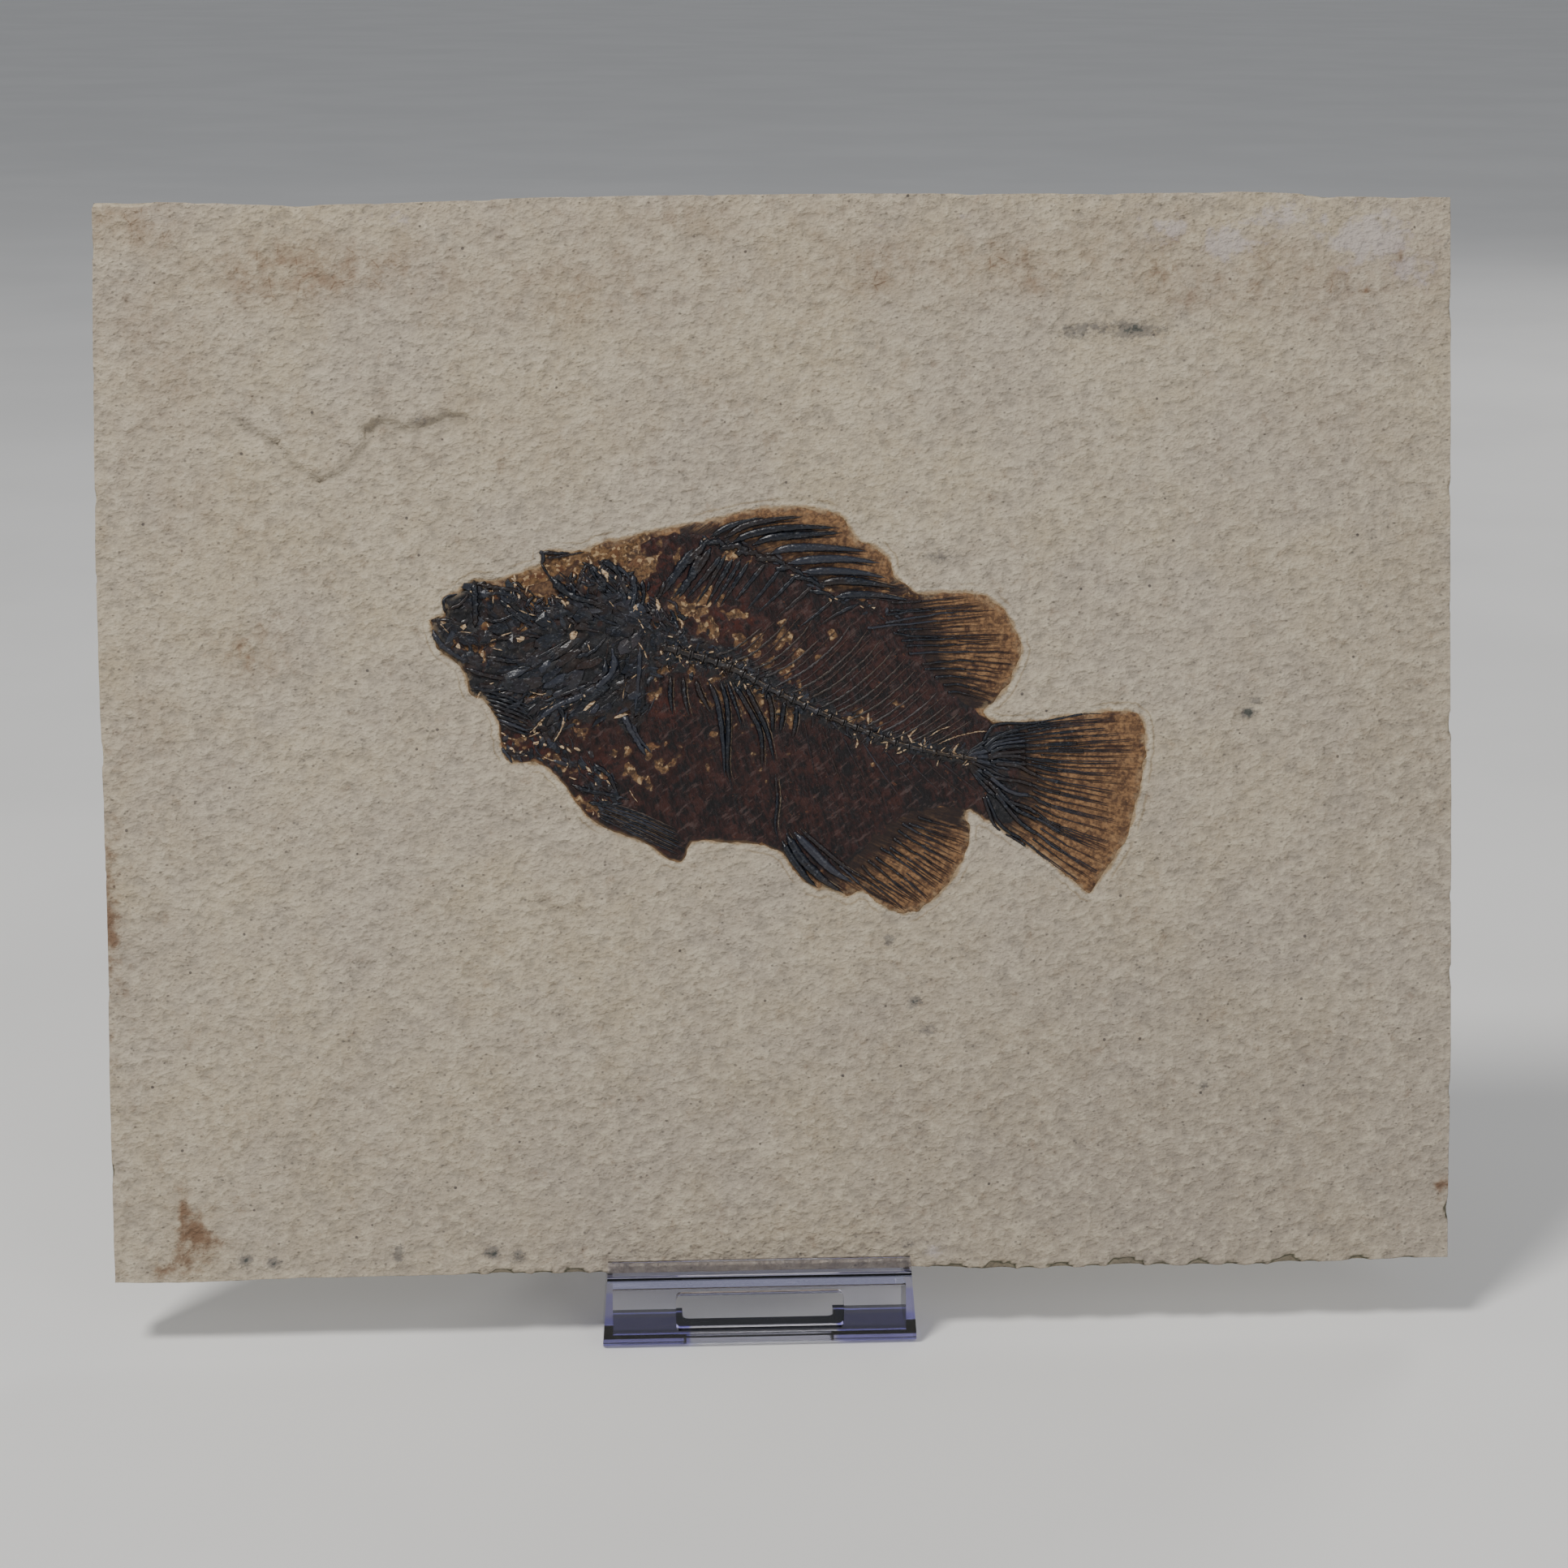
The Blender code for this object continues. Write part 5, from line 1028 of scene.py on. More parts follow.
class Relief:
    """The fish's skin as a grid of heights, which the bones are laid on."""

    def __init__(self):
        low = FISH_EDGE.min(axis=0) - SKIN_MARGIN
        high = FISH_EDGE.max(axis=0) + SKIN_MARGIN
        self.lines_u = np.arange(low[0], high[0], SKIN_STEP)
        self.lines_v = np.arange(low[1], high[1], SKIN_STEP)
        u, v = np.meshgrid(self.lines_u, self.lines_v, indexing="ij")
        self.u, self.v = u, v
        self.ragged = 0.55 * layered_noise(u, v, size=2.0, seed=201)
        self.ragged = self.ragged + 0.25 * layered_noise(u, v, size=0.8, seed=205, layers=2)
        self.inside = depth_inside(u, v, FISH_EDGE) + 0.42 * layered_noise(u, v, size=1.7, seed=219, layers=2)
        self.flank = depth_inside(u, v, np.array(SCALED_FLANK)) + 1.3 * self.ragged
        self.comb_fins()
        self.spread_dark()
        self.spread_gold()
        self.rusty = stains(u, v, RUSTY_SKIN)
        self.level = self.heights()

    def comb_fins(self):
        """How far round and out each point lies in its fin's fan, and how clear the web is there."""
        u, v = self.u, self.v
        self.shade = np.ones(u.shape)
        self.comb = np.zeros(u.shape)
        self.reach = np.zeros(u.shape)
        for low, high, centre, dark_until, clear_from, radius in FIN_FANS:
            here = (u > low[0]) & (v > low[1]) & (u < high[0]) & (v < high[1])
            reach = np.hypot(u - centre[0], v - centre[1])
            self.comb[here] = (np.arctan2(v - centre[1], u - centre[0]) * radius)[here]
            self.reach[here] = reach[here]
            self.shade[here] = smoothstep(dark_until, clear_from, -self.flank)[here]
        nape = smoothstep(*NAPE_ACROSS, u) * smoothstep(*NAPE_UP, v)
        self.shade = self.shade * (1 - NAPE_SHADE * nape)

    def spread_dark(self):
        """How far each point is inside the dark bone of the skull, the column and the tail's root."""
        u, v = self.u, self.v
        spiky_u, spiky_v = turned(u, v, SPIKES_TURN)
        spiky = layered_noise(spiky_u * 0.4, spiky_v, size=1.3, seed=203, layers=2)
        self.skull = depth_inside(u, v, np.array(DARK_SKULL)) + 0.9 * self.ragged + 1.3 * spiky
        widest, loss = COLUMN_REACH
        reach = widest - loss * smoothstep(-20, 30, u)
        column = reach - path_distance(u, v, smooth_path(BACKBONE, 6)) + 1.2 * self.ragged
        fingers = layered_noise(self.comb / 1.4, self.reach / 14, size=1.0, seed=263, layers=1)
        tail_root = depth_inside(u, v, np.array(TAIL_PLATE)) + 0.6 * self.ragged + 2.6 * fingers
        self.dark = np.maximum(np.maximum(self.skull, column), tail_root)

    def spread_gold(self):
        """How far each point is inside the bare golden patches and flecks."""
        u, v = self.u, self.v
        gold = np.full(u.shape, FAR_BELOW)
        bent_u, bent_v = (
            line + GOLD_BEND * layered_noise(u, v, size=2.6, seed=seed)
            + 0.35 * layered_noise(u, v, size=0.9, seed=seed + 1)
            for line, seed in ((u, 207), (v, 209)))
        lobes = np.random.default_rng(219)
        for centre_u, centre_v, half_length, half_width, turn in GOLD_PATCHES:
            along, aside = turned(bent_u - centre_u, bent_v - centre_v, turn)
            thickness = min(half_length, 1.2 * half_width)
            for lobe, size in enumerate(GOLD_LOBES):
                drift = lobes.normal(0, 0.55, 2) * min(lobe, 1)
                away = np.hypot(along / half_length - drift[0], aside / half_width - drift[1]) / size
                gold = np.maximum(gold, (1 - away) * size * thickness)
        torn = layered_noise(u, v, size=1.5, seed=211)
        torn = torn + 0.6 * layered_noise(u, v, size=0.8, seed=215, layers=1)
        gold = gold + 0.3 * self.ragged + 0.75 * torn
        along, aside = turned(u, v, FLAKES_TURN)
        flakes = layered_noise(along * 0.6, aside, size=1.8, seed=217) + 0.6 * torn
        scarce = 1.02 - 1.1 * stains(u, v, GOLD_FLECKS)
        self.gold = np.maximum(gold, 0.9 * (flakes - scarce))

    def heights(self):
        u, v = self.u, self.v
        on_flank = smoothstep(0, 1, self.flank)
        level = fish_skin_level(u, v, self.inside)
        level = level + FLANK_RISE * on_flank + FLANK_CROWN * smoothstep(0, 16, self.flank)
        scales_u, scales_v = turned(u, v, SCALES_TURN)
        scales = SCALE_LUMPS * layered_noise(scales_u, scales_v * 0.55, size=0.9, seed=221, layers=2)
        level = level + on_flank * (scales + FLANK_LUMPS * layered_noise(u, v, size=3.5, seed=225))
        bony = smoothstep(0, 1.1, self.dark) * smoothstep(*BARE_TAIL, u)
        crumple_u, crumple_v = turned(u, v, CRUMPLE_TURN)
        crumple = np.abs(layered_noise(crumple_u * 0.5, crumple_v, size=3.4, seed=231))
        crumple = crumple + 0.4 * np.abs(layered_noise(u, v, size=1.3, seed=235))
        level = level + bony * (CRUMPLE_RISE + CRUMPLE_HEIGHT * crumple)
        for rise, outline in SKULL_PLATES:
            plate = depth_inside(u, v, smooth_path(outline, 2, closed=True))
            plate = plate + 0.25 * layered_noise(u, v, size=1.4, seed=241)
            level = level + PLATE_GAIN * rise * smoothstep(-0.1, 0.35, plate)
        web = WEB_LUMPS * smoothstep(0.3, 1.2, self.inside) * (1 - bony)
        level = level + web * layered_noise(self.comb / 0.9, self.reach / 4, size=1.0, seed=261, layers=1)
        bare = smoothstep(-0.15, 0.2, self.gold) * smoothstep(0, 0.8, self.flank + self.skull)
        level = level - bare * (GOLD_SINK + 0.3 * bony)
        grain = GRAIN_LUMPS * layered_noise(u, v, size=1.15, seed=251, layers=1)
        level = level + grain * smoothstep(0.1, 0.8, self.inside)
        return level - EDGE_DROP * smoothstep(0.1, -0.5, self.inside)

    def grid_place(self, points, room):
        """Where points lie in the grid, counted in its steps, at least some room from its far ends."""
        place_u = np.clip((points[:, 0] - self.lines_u[0]) / SKIN_STEP, 0, len(self.lines_u) - room)
        place_v = np.clip((points[:, 1] - self.lines_v[0]) / SKIN_STEP, 0, len(self.lines_v) - room)
        return place_u, place_v

    def at(self, points):
        """The skin's height at any points, read between the grid's own."""
        place_u, place_v = self.grid_place(np.atleast_2d(points), 2.001)
        i, j = place_u.astype(int), place_v.astype(int)
        across, up = place_u - i, place_v - j
        low = self.level[i, j] * (1 - across) + self.level[i + 1, j] * across
        high = self.level[i, j + 1] * (1 - across) + self.level[i + 1, j + 1] * across
        return low * (1 - up) + high * up

    def near_edge(self, spot):
        place_u, place_v = self.grid_place(np.atleast_2d(spot), 1)
        return self.inside[int(place_u[0]), int(place_v[0])] < CHIP_MARGIN


def outline_loop(faces):
    """The points round the rim of a sheet of quads, in the quads' own direction."""
    sides = np.vstack([faces[:, [corner, (corner + 1) % 4]] for corner in range(4)])
    keys = {(start, end) for start, end in sides.tolist()}
    following = {start: end for start, end in keys if (end, start) not in keys}
    first = min(following)
    loop = [first]
    while following[loop[-1]] != first:
        loop.append(following[loop[-1]])
    return np.array(loop)


def make_skin(relief):
    """The skin as a closed sheet: the relief on top, a short skirt, and a flat back."""
    kept = relief.inside > SKIN_END
    cell = kept[:-1, :-1] & kept[1:, :-1] & kept[1:, 1:] & kept[:-1, 1:]
    used = np.zeros(kept.shape, bool)
    for right in (0, 1):
        for up in (0, 1):
            used[right : right + cell.shape[0], up : up + cell.shape[1]] |= cell
    number = -np.ones(kept.shape, int)
    number[used] = np.arange(used.sum())
    top = np.stack([relief.u[used], relief.v[used], relief.level[used]], axis=1)
    i, j = np.nonzero(cell)
    quads = np.stack([number[i, j], number[i + 1, j], number[i + 1, j + 1], number[i, j + 1]], axis=1)
    rim = outline_loop(quads)
    skirt = top[rim].copy()
    skirt[:, 2] = SKIN_BACK
    below = len(top) + np.arange(len(rim))
    faces = quads.tolist() + band_faces(rim, below) + [below[::-1].tolist()]
    values = {}
    for name in ("inside", "flank", "dark", "gold", "rusty", "shade", "comb", "reach", "level"):
        field = getattr(relief, name)[used]
        values[name] = np.concatenate([field, field[rim]])
    skin = mesh_object("fish_skin", np.vstack([top, skirt]), faces, values)
    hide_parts("fossil_fish")
    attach(skin, "root")
    return skin


# ---------------------------------------------------------------------------
# The fish's bones
# ---------------------------------------------------------------------------

RAY_OVERLAP = 0.07  # how far back along its ray a branch starts inside the last one
RAY_POINTS = 6  # points along each branch
RAY_WIDTHS = [0, 2, 4, 5]  # the points that a branch's width is read at
THIN_BAR = 0.66  # bars thinner than this are made with fewer sides
THIN_SIDES = 5
STOUT_SIDES = 8
CHIP_CORNERS = 7
CHIP_FLARE = 1.12  # how much wider a chip is at its foot
PALE_SIZE = 0.55  # pale chips are smaller
CHIP_MARGIN = 0.7  # no chips or splinters lie closer to the fish's edge
CHIP_FOOT = 0.5  # how far a chip's foot reaches down into the skin
CHIP_RANGE = (0.1, 0.85)  # how far below and above the skin a tipped chip's rim may lie
SPLINTER_TILT = 0.35
LEVELLING = 5  # the skin under a bar is evened out over this many of its points
TIP_WIDTHS = (0.8, 0.25)  # what is left of a ray's width at its last two places


class Bones:
    """Collects bars of bone, and then makes one mesh of them."""

    def __init__(self, relief, seed):
        self.relief = relief
        self.random = np.random.default_rng(seed)
        self.verts = []
        self.faces = []
        self.smooth = []
        self.values = {"warm": [], "pale": [], "tone": []}
        self.total = 0

    def keep(self, verts, faces, smooth, warm, pale):
        """Adds points, faces counted from the first of them, the points' values and a tone of their own."""
        tone = self.random.uniform()
        self.faces += [[corner + self.total for corner in face] for face in faces]
        self.smooth += [smooth] * len(faces)
        self.verts.append(verts)
        for key, value in (("warm", warm), ("pale", pale), ("tone", tone)):
            self.values[key].append(np.broadcast_to(value, len(verts)).astype(float))
        self.total += len(verts)

    def bar(self, points, widths, thickness=0.8, sink=0.12, warm=(0, 0), pale=0, spacing=0.4, wobble=0.06,
            tilt=0, lift=0, ends=True, sides=6):
        """A bar that follows the skin. Its widths are given from root to tip, in any number."""
        if max(widths) < THIN_BAR:
            sides = THIN_SIDES
        centres, shares = even_path(points, spacing)
        count = len(centres)
        aside = left_of(centres)
        width = np.interp(shares, np.linspace(0, 1, len(widths)), widths)
        width = width * (1 + wobble * self.random.standard_normal(count))
        if ends:
            width = width * np.clip(np.sin(np.pi * np.clip(shares, 0.03, 0.97)) * 3, 0, 1)
        centres = centres + aside * (wobble * 0.5 * width * self.random.standard_normal(count))[:, None]
        ground = self.relief.at(centres)
        if count > LEVELLING + 1:
            padded = np.pad(ground, LEVELLING // 2, "edge")
            ground = np.convolve(padded, np.ones(LEVELLING) / LEVELLING, "valid")
        rise = width * thickness / 2
        level = ground + rise * (1 - 2 * sink) + lift + tilt * (shares - 0.5)
        angles = np.arange(sides) * 2 * np.pi / sides
        sideways = np.cos(angles)[None, :] * (width / 2)[:, None]
        upward = np.sin(angles)[None, :] * rise[:, None]
        rings = np.empty((count, sides, 3))
        rings[:, :, 0] = centres[:, 0, None] + aside[:, 0, None] * sideways
        rings[:, :, 1] = centres[:, 1, None] + aside[:, 1, None] * sideways
        rings[:, :, 2] = level[:, None] + upward
        tips = [[*centres[0], level[0]], [*centres[-1], level[-1]]]
        warmth = warm[0] + (warm[1] - warm[0]) * shares
        warmth = np.concatenate([np.repeat(warmth, sides), warm])
        self.keep(np.vstack([rings.reshape(-1, 3), tips]), tube_faces(count, sides), True, warmth, pale)

    def shard(self, spot, length, width, turn, rise, slope, warm, pale):
        """A flat chip of bone with broken sides, tipped a little out of the skin."""
        turns = np.arange(CHIP_CORNERS) + self.random.uniform(-0.3, 0.3, CHIP_CORNERS)
        turns = turns * 2 * np.pi / CHIP_CORNERS
        reach = self.random.uniform(0.65, 1.1, CHIP_CORNERS)
        along = np.cos(turns) * reach * length / 2
        aside = np.sin(turns) * reach * width / 2
        angle = math.radians(turn)
        u = spot[0] + along * math.cos(angle) - aside * math.sin(angle)
        v = spot[1] + along * math.sin(angle) + aside * math.cos(angle)
        ground = self.relief.at(spot)[0]
        level = ground + rise + slope[0] * along + slope[1] * aside
        level = np.clip(level, ground - CHIP_RANGE[0], ground + CHIP_RANGE[1])
        foot = np.stack([spot[0] + (u - spot[0]) * CHIP_FLARE, spot[1] + (v - spot[1]) * CHIP_FLARE,
                         np.full(CHIP_CORNERS, ground - CHIP_FOOT)], axis=1)
        peak = [spot[0] + self.random.normal(0, 0.12) * length, spot[1] + self.random.normal(0, 0.12) * width,
                level.mean() + self.random.uniform(0, 0.22) * width]
        faces = [tuple(range(2 * CHIP_CORNERS - 1, CHIP_CORNERS - 1, -1))]
        for side in range(CHIP_CORNERS):
            after = (side + 1) % CHIP_CORNERS
            faces.append((2 * CHIP_CORNERS, side, after))
            faces.append((side, CHIP_CORNERS + side, CHIP_CORNERS + after, after))
        self.keep(np.vstack([np.stack([u, v, level], axis=1), foot, peak]), faces, False, warm, pale)

    def spot_near(self, centres, scatter):
        """A random spot near one of some centres."""
        return centres[self.random.integers(len(centres))] + self.random.normal(0, scatter, 2)

    def shards(self, centres, count, lengths, widths, turn, turn_spread, scatter, pale_share, rise=0.2):
        """Broken chips of bone scattered round some centres."""
        for _ in range(count):
            spot = self.spot_near(centres, scatter)
            if self.relief.near_edge(spot):
                continue
            pale = 1.0 if self.random.uniform() < pale_share else 0.0
            size = PALE_SIZE if pale else 1.0
            length = self.random.uniform(*lengths) * size
            width = self.random.uniform(*widths) * size
            angle = turn + self.random.normal(0, turn_spread)
            height = self.random.uniform(0.3, 1.0) * rise
            slope = self.random.normal(0, 0.10, 2)
            warm = self.random.uniform(0, 0.6) ** 2
            self.shard(spot, length, width, angle, height, slope, warm, pale)

    def splinters(self, centres, count, lengths, widths, turn, turn_spread, scatter, pale_share):
        """Loose slips of bone scattered round some centres."""
        for _ in range(count):
            spot = self.spot_near(centres, scatter)
            if self.relief.near_edge(spot):
                continue
            angle = math.radians(turn + self.random.normal(0, turn_spread))
            length = self.random.uniform(*lengths)
            width = self.random.uniform(*widths)
            direction = np.array([math.cos(angle), math.sin(angle)])
            bend = np.array([-direction[1], direction[0]]) * self.random.normal(0, 0.12) * length
            path = [spot - direction * length / 2, spot + bend, spot + direction * length / 2]
            pale = 1.0 if self.random.uniform() < pale_share else 0.0
            warm = self.random.uniform(0, 0.45)
            slant = self.random.normal(0, SPLINTER_TILT) * width
            self.bar(path, (width * 0.5, width, width * 0.4), thickness=0.6, sink=0.3, warm=(warm, warm),
                     pale=pale, tilt=slant, wobble=0.12)

    def ray(self, points, width, splits, spread, warm, longer, tip_share, shrink=0.7, thickness=0.75):
        """A fin ray that parts in two at each of its splits, drawn a little longer than its points."""
        points = np.array(points, float)
        last_span = points[-1] - points[-2]
        points[-1] += last_span / np.linalg.norm(last_span) * longer * self.random.uniform(0.5, 1.4)
        points = smooth_path(points, 8)
        reach = np.linspace(0, 1, len(points))
        aside = left_of(points)
        branches = [(0.0, 0.0, 1.0)]
        stops = list(splits) + [self.random.uniform(0.96, 1.02)]
        begin = 0.0
        for level, stop in enumerate(stops):
            next_branches = []
            warmth = tuple(warm[0] + (warm[1] - warm[0]) * share for share in (begin, stop))
            shares = np.linspace(max(begin - RAY_OVERLAP, 0), stop, RAY_POINTS)
            fall = 1 - (1 - tip_share) * shares
            for offset, slope, size in branches:
                end_offset = offset + slope * (stop - begin)
                drift = self.random.normal(0, 0.06, RAY_POINTS) * (shares > 0.2)
                shift = offset + slope * (shares - begin) + drift
                path = read_curve(points, reach, shares) + shift[:, None] * read_curve(aside, reach, shares)
                widths = width * size * fall[RAY_WIDTHS]
                if stop == stops[-1]:
                    widths[-2:] *= TIP_WIDTHS
                self.bar(path, widths, thickness=thickness, warm=warmth, wobble=0.05, ends=False,
                         lift=-0.04 * level)
                for side in (-1, 1):
                    next_branches.append((end_offset, side * spread / 2**level, size * shrink))
            branches = next_branches
            begin = stop

    def bars(self, rows, **look):
        """Bars from rows of a root width, a tip width and a path."""
        for root, tip, points in rows:
            self.bar(points, (root, (root + tip) / 2 * 1.05, tip), **look)

    def finish(self):
        values = {key: np.concatenate(rows) for key, rows in self.values.items()}
        bones = mesh_object("fish_bones", np.vstack(self.verts), self.faces, values)
        bones.data.polygons.foreach_set("use_smooth", self.smooth)
        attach(bones, "root")
        return bones


def skull_spots(relief, low, high):
    """Points spread over the dark skull between two corners, for scattering chips of bone."""
    step = int(CHIP_SPACING / SKIN_STEP)
    u, v, skull = (field[::step, ::step] for field in (relief.u, relief.v, relief.skull))
    inside = (skull > 0.4) & (u > low[0]) & (v > low[1]) & (u < high[0]) & (v < high[1])
    return np.stack([u[inside], v[inside]], axis=1)


def shifted(points, right, up):
    """A drawn path moved over, for a painted highlight along a bone's edge or a painted shadow beside it."""
    return np.array(points) + np.array([right, up])


def lay_skull(bones):
    for low, high, count, longest, widest, turn, spread in SKULL_CHIPS:
        spots = skull_spots(bones.relief, low, high)
        lengths = (0.35 * longest, longest)
        widths = (0.30 * widest, widest)
        bones.shards(spots, count, lengths, widths, turn, spread, scatter=0.4, pale_share=0.03, rise=0.15)
        bones.splinters(spots, count // 3, (0.4 * longest, longest), (0.22, 0.45), turn, spread,
                        scatter=0.5, pale_share=0.10)
    nape = even_path(NAPE_BORDER, 0.5)[0]
    bones.splinters(nape, 110, (1.2, 3.6), (0.35, 0.9), -52, 26, scatter=0.9, pale_share=0.12)
    bones.splinters(nape, 60, (1.0, 2.8), (0.3, 0.8), 60, 26, scatter=0.9, pale_share=0.12)
    bones.bars(SKULL_BARS, thickness=0.6, warm=(0.05, 0.1), wobble=0.12)
    for root, tip, points in PALE_SLIVERS_AND_HIGHLIGHTS:
        bones.bar(points, (0.3 * tip, 0.75 * root, 0.4 * root, 0.8 * tip, 0.2), thickness=0.7, pale=0.8,
                  lift=0.26, spacing=0.25, wobble=0.30)
    for path in fan_paths(BRANCHIAL_FAN):
        bones.bar(path, (0.5, 0.7, 0.4))


def lay_backbone(bones):
    column = even_path(BACKBONE, 0.6)[0]
    bones.shards(column, 190, (0.8, 2.4), (0.4, 0.9), 60, 50, scatter=0.9, pale_share=0.32)
    bones.splinters(column, 120, (1.0, 3.0), (0.25, 0.55), 62, 40, scatter=1.2, pale_share=0.25)
    bones.shards(column[:30], 120, (0.8, 2.4), (0.4, 1.0), 20, 60, scatter=1.5, pale_share=0.35)
    curve = smooth_path(BACKBONE, 12)
    reach = run_lengths(curve)
    for number in range(VERTEBRAE):
        ends = (np.array([0.04, 0.5, 0.96]) + number) / VERTEBRAE * reach[-1]
        path = read_curve(curve, reach, ends)
        taper = 1 - (1 - BACKBONE_TAPER) * number / VERTEBRAE
        joint, waist = (width * taper for width in VERTEBRA_WIDTHS)
        bones.bar(path, (joint, waist * 0.95, waist, waist * 0.95, joint), thickness=0.62, sink=0.25,
                  spacing=0.22, ends=False, wobble=0.05, pale=0.04)
        # A painted highlight along the top of each vertebra.
        bones.bar(path + np.array([0.2, 0.25]) * taper, (0.3, 0.2, 0.26), thickness=0.9, pale=0.22,
                  lift=0.42 * taper, wobble=0.15)


def lay_ribs(bones):
    """The spines above and below the backbone, and the ribs, each rib with a painted highlight beside it."""
    bones.bars(NEURAL_SPINES, thickness=0.55, warm=(0.1, 0.5), pale=0.06, wobble=0.18)
    for (root, _, lower), (_, _, upper) in zip(NEURAL_SPINES, NEURAL_SPINES[1:]):
        middle = [(np.array(lower[k]) + np.array(upper[k])) / 2 for k in (0, 1, -1)]
        bones.bar(middle, (0.2, root * 0.7, 0.15), thickness=0.5, warm=(0.4, 0.8), wobble=0.25)
    bones.bars(HAEMAL_SPINES, thickness=0.5, sink=0.3, warm=(0.3, 0.6))
    for root, tip, points in RIBS:
        bones.bar(points, (root, root * 1.2, tip), thickness=0.9)
        # A painted highlight along one edge of each rib.
        bones.bar(shifted(points, 0.6, 0.1), (0.1, 0.28, 0.08), thickness=0.9, pale=0.25, wobble=0.3)


def lay_fin_spines(bones):
    """The stout spines of the fins, each with a painted highlight along its upper edge, the dorsal ones with
    a painted shadow below, and what they stand on.
    """
    for root, tip, points in FIN_SUPPORTS:
        bones.bar(points, (root * 0.9, root * 1.15, root * 0.8, tip * 0.5), thickness=0.42, warm=(0, 0.2),
                  wobble=0.08)
    for root, tip, points in SPINE_FOOTINGS:
        bones.bar(points, (root * 0.6, root * 0.75, tip), thickness=0.5, warm=(0.05, 0.15), wobble=0.25)
    base = even_path(DORSAL_BASE, 0.5)[0]
    bones.shards(base, 50, (0.8, 2.0), (0.4, 0.8), -20, 30, scatter=0.6, pale_share=0.22)
    for root, tip, points in DORSAL_SPINES:
        bones.bar(points, (root * 0.8, root * 1.2, root * 1.1, root * 0.7, tip), thickness=0.65, wobble=0.03,
                  spacing=0.3, sides=STOUT_SIDES)
        # A painted shadow below each dorsal spine.
        bones.bar(shifted(points, -0.2, -0.62), (0.2, 0.42, 0.3, 0.15), thickness=0.7, warm=(0.1, 0.5),
                  wobble=0.12)
        # A painted highlight along its upper edge.
        bones.bar(shifted(points, 0, 0.34 * root), (0.1, 0.22, 0.18, 0.1), thickness=0.7, pale=0.3,
                  lift=0.12, wobble=0.15)
    for root, tip, points in ANAL_SPINES:
        bones.bar(points, (root * 0.9, root * 1.2, root, tip), thickness=0.65, wobble=0.03, spacing=0.3,
                  sides=STOUT_SIDES)
        # A painted highlight along each anal spine's upper edge.
        bones.bar(shifted(points, 0.3 * root, 0.2 * root), (0.1, 0.24, 0.18, 0.1), thickness=0.8, pale=0.35,
                  lift=0.12, wobble=0.15)


def lay_soft_rays(bones):
    """The branched rays of the soft dorsal fin, the soft anal fin and the tail, with finer ones between."""
    for points in SOFT_DORSAL_RAYS:
        bones.ray(points, 0.48, (0.60,), 0.34, (-0.5, 0.8), longer=3.4, tip_share=0.6, thickness=0.9)
    for lower, upper in zip(SOFT_DORSAL_RAYS, SOFT_DORSAL_RAYS[1:]):
        bones.ray(halfway(lower, upper, 0.66), 0.20, (), 0, (0.4, 0.9), longer=2.4, tip_share=0.7)
    for points in SOFT_ANAL_RAYS:
        bones.ray(points, 0.54, (0.5,), 0.42, (-0.5, 0.8), longer=2.4, tip_share=0.7, thickness=0.9)
    for lower, upper in zip(SOFT_ANAL_RAYS, SOFT_ANAL_RAYS[1:]):
        bones.ray(halfway(lower, upper, 0.60), 0.24, (), 0, (0.3, 0.7), longer=1.0, tip_share=0.7)
    for points, beside in zip(TAIL_RAYS, TAIL_RAYS[1:] + TAIL_RAYS[-2:-1]):
        gap = min(math.dist(points[-1], beside[-1]), WIDEST_TAIL_GAP)
        root = np.array(points[0]) * 0.55 + np.array(TAIL_ROOT) * 0.45
        bones.ray([root, *points], 0.42 + 0.26 * gap, (0.46, 0.72), 0.18 + 0.26 * gap, (-1.3, 0.8),
                  longer=3.2, shrink=0.64, tip_share=0.55)
        if gap > OPEN_TAIL_GAP:
            bones.ray(halfway(points, beside, 0.34), 0.34, (0.5,), 0.3, (0.0, 0.9), longer=2.6,
                      tip_share=0.7, thickness=0.8)


def lay_underside(bones):
    """The pelvic fin with a painted highlight along each ray, the crumbled bones of the belly and its rim,
    and the fan at the tail's root.
    """
    for points in fan_paths(PELVIC_FAN):
        path = points[0] + (points - points[0]) * bones.random.uniform(0.85, 1.05)
        bones.bar(path, (0.25, 0.42, 0.36, 0.3), thickness=1.1, warm=(0.0, 0.2), lift=0.05, wobble=0.12)
        # A painted highlight along the upper edge of each ray.
        bones.bar(shifted(path, 0.12, 0.24), (0.1, 0.24, 0.2, 0.1), thickness=1.0, pale=0.18, lift=0.08,
                  wobble=0.25)
    belly = even_path(BELLY_BONES, 0.5)[0]
    rim = even_path(BELLY_RIM, 0.4)[0]
    bones.shards(belly, 60, (1.0, 3.4), (0.5, 1.3), -50, 34, scatter=1.5, pale_share=0.25)
    bones.splinters(belly, 40, (1.4, 4.0), (0.2, 0.5), -48, 24, scatter=1.6, pale_share=0.15)
    bones.shards(rim, 110, (0.7, 2.4), (0.4, 1.1), -45, 40, scatter=0.6, pale_share=0.4)
    for points in fan_paths(HYPURAL_FAN):
        bones.bar(points, (0.5, 0.9, 0.5), thickness=0.35, sink=0.2, warm=(0.1, 0.2), wobble=0.12)


def make_bones(relief):
    """All the bones, laid in this order because later ones take later random numbers."""
    bones = Bones(relief, seed=5)
    lay_skull(bones)
    lay_backbone(bones)
    lay_ribs(bones)
    lay_fin_spines(bones)
    lay_soft_rays(bones)
    lay_underside(bones)
    return bones.finish()


# ---------------------------------------------------------------------------
# Materials
# ---------------------------------------------------------------------------

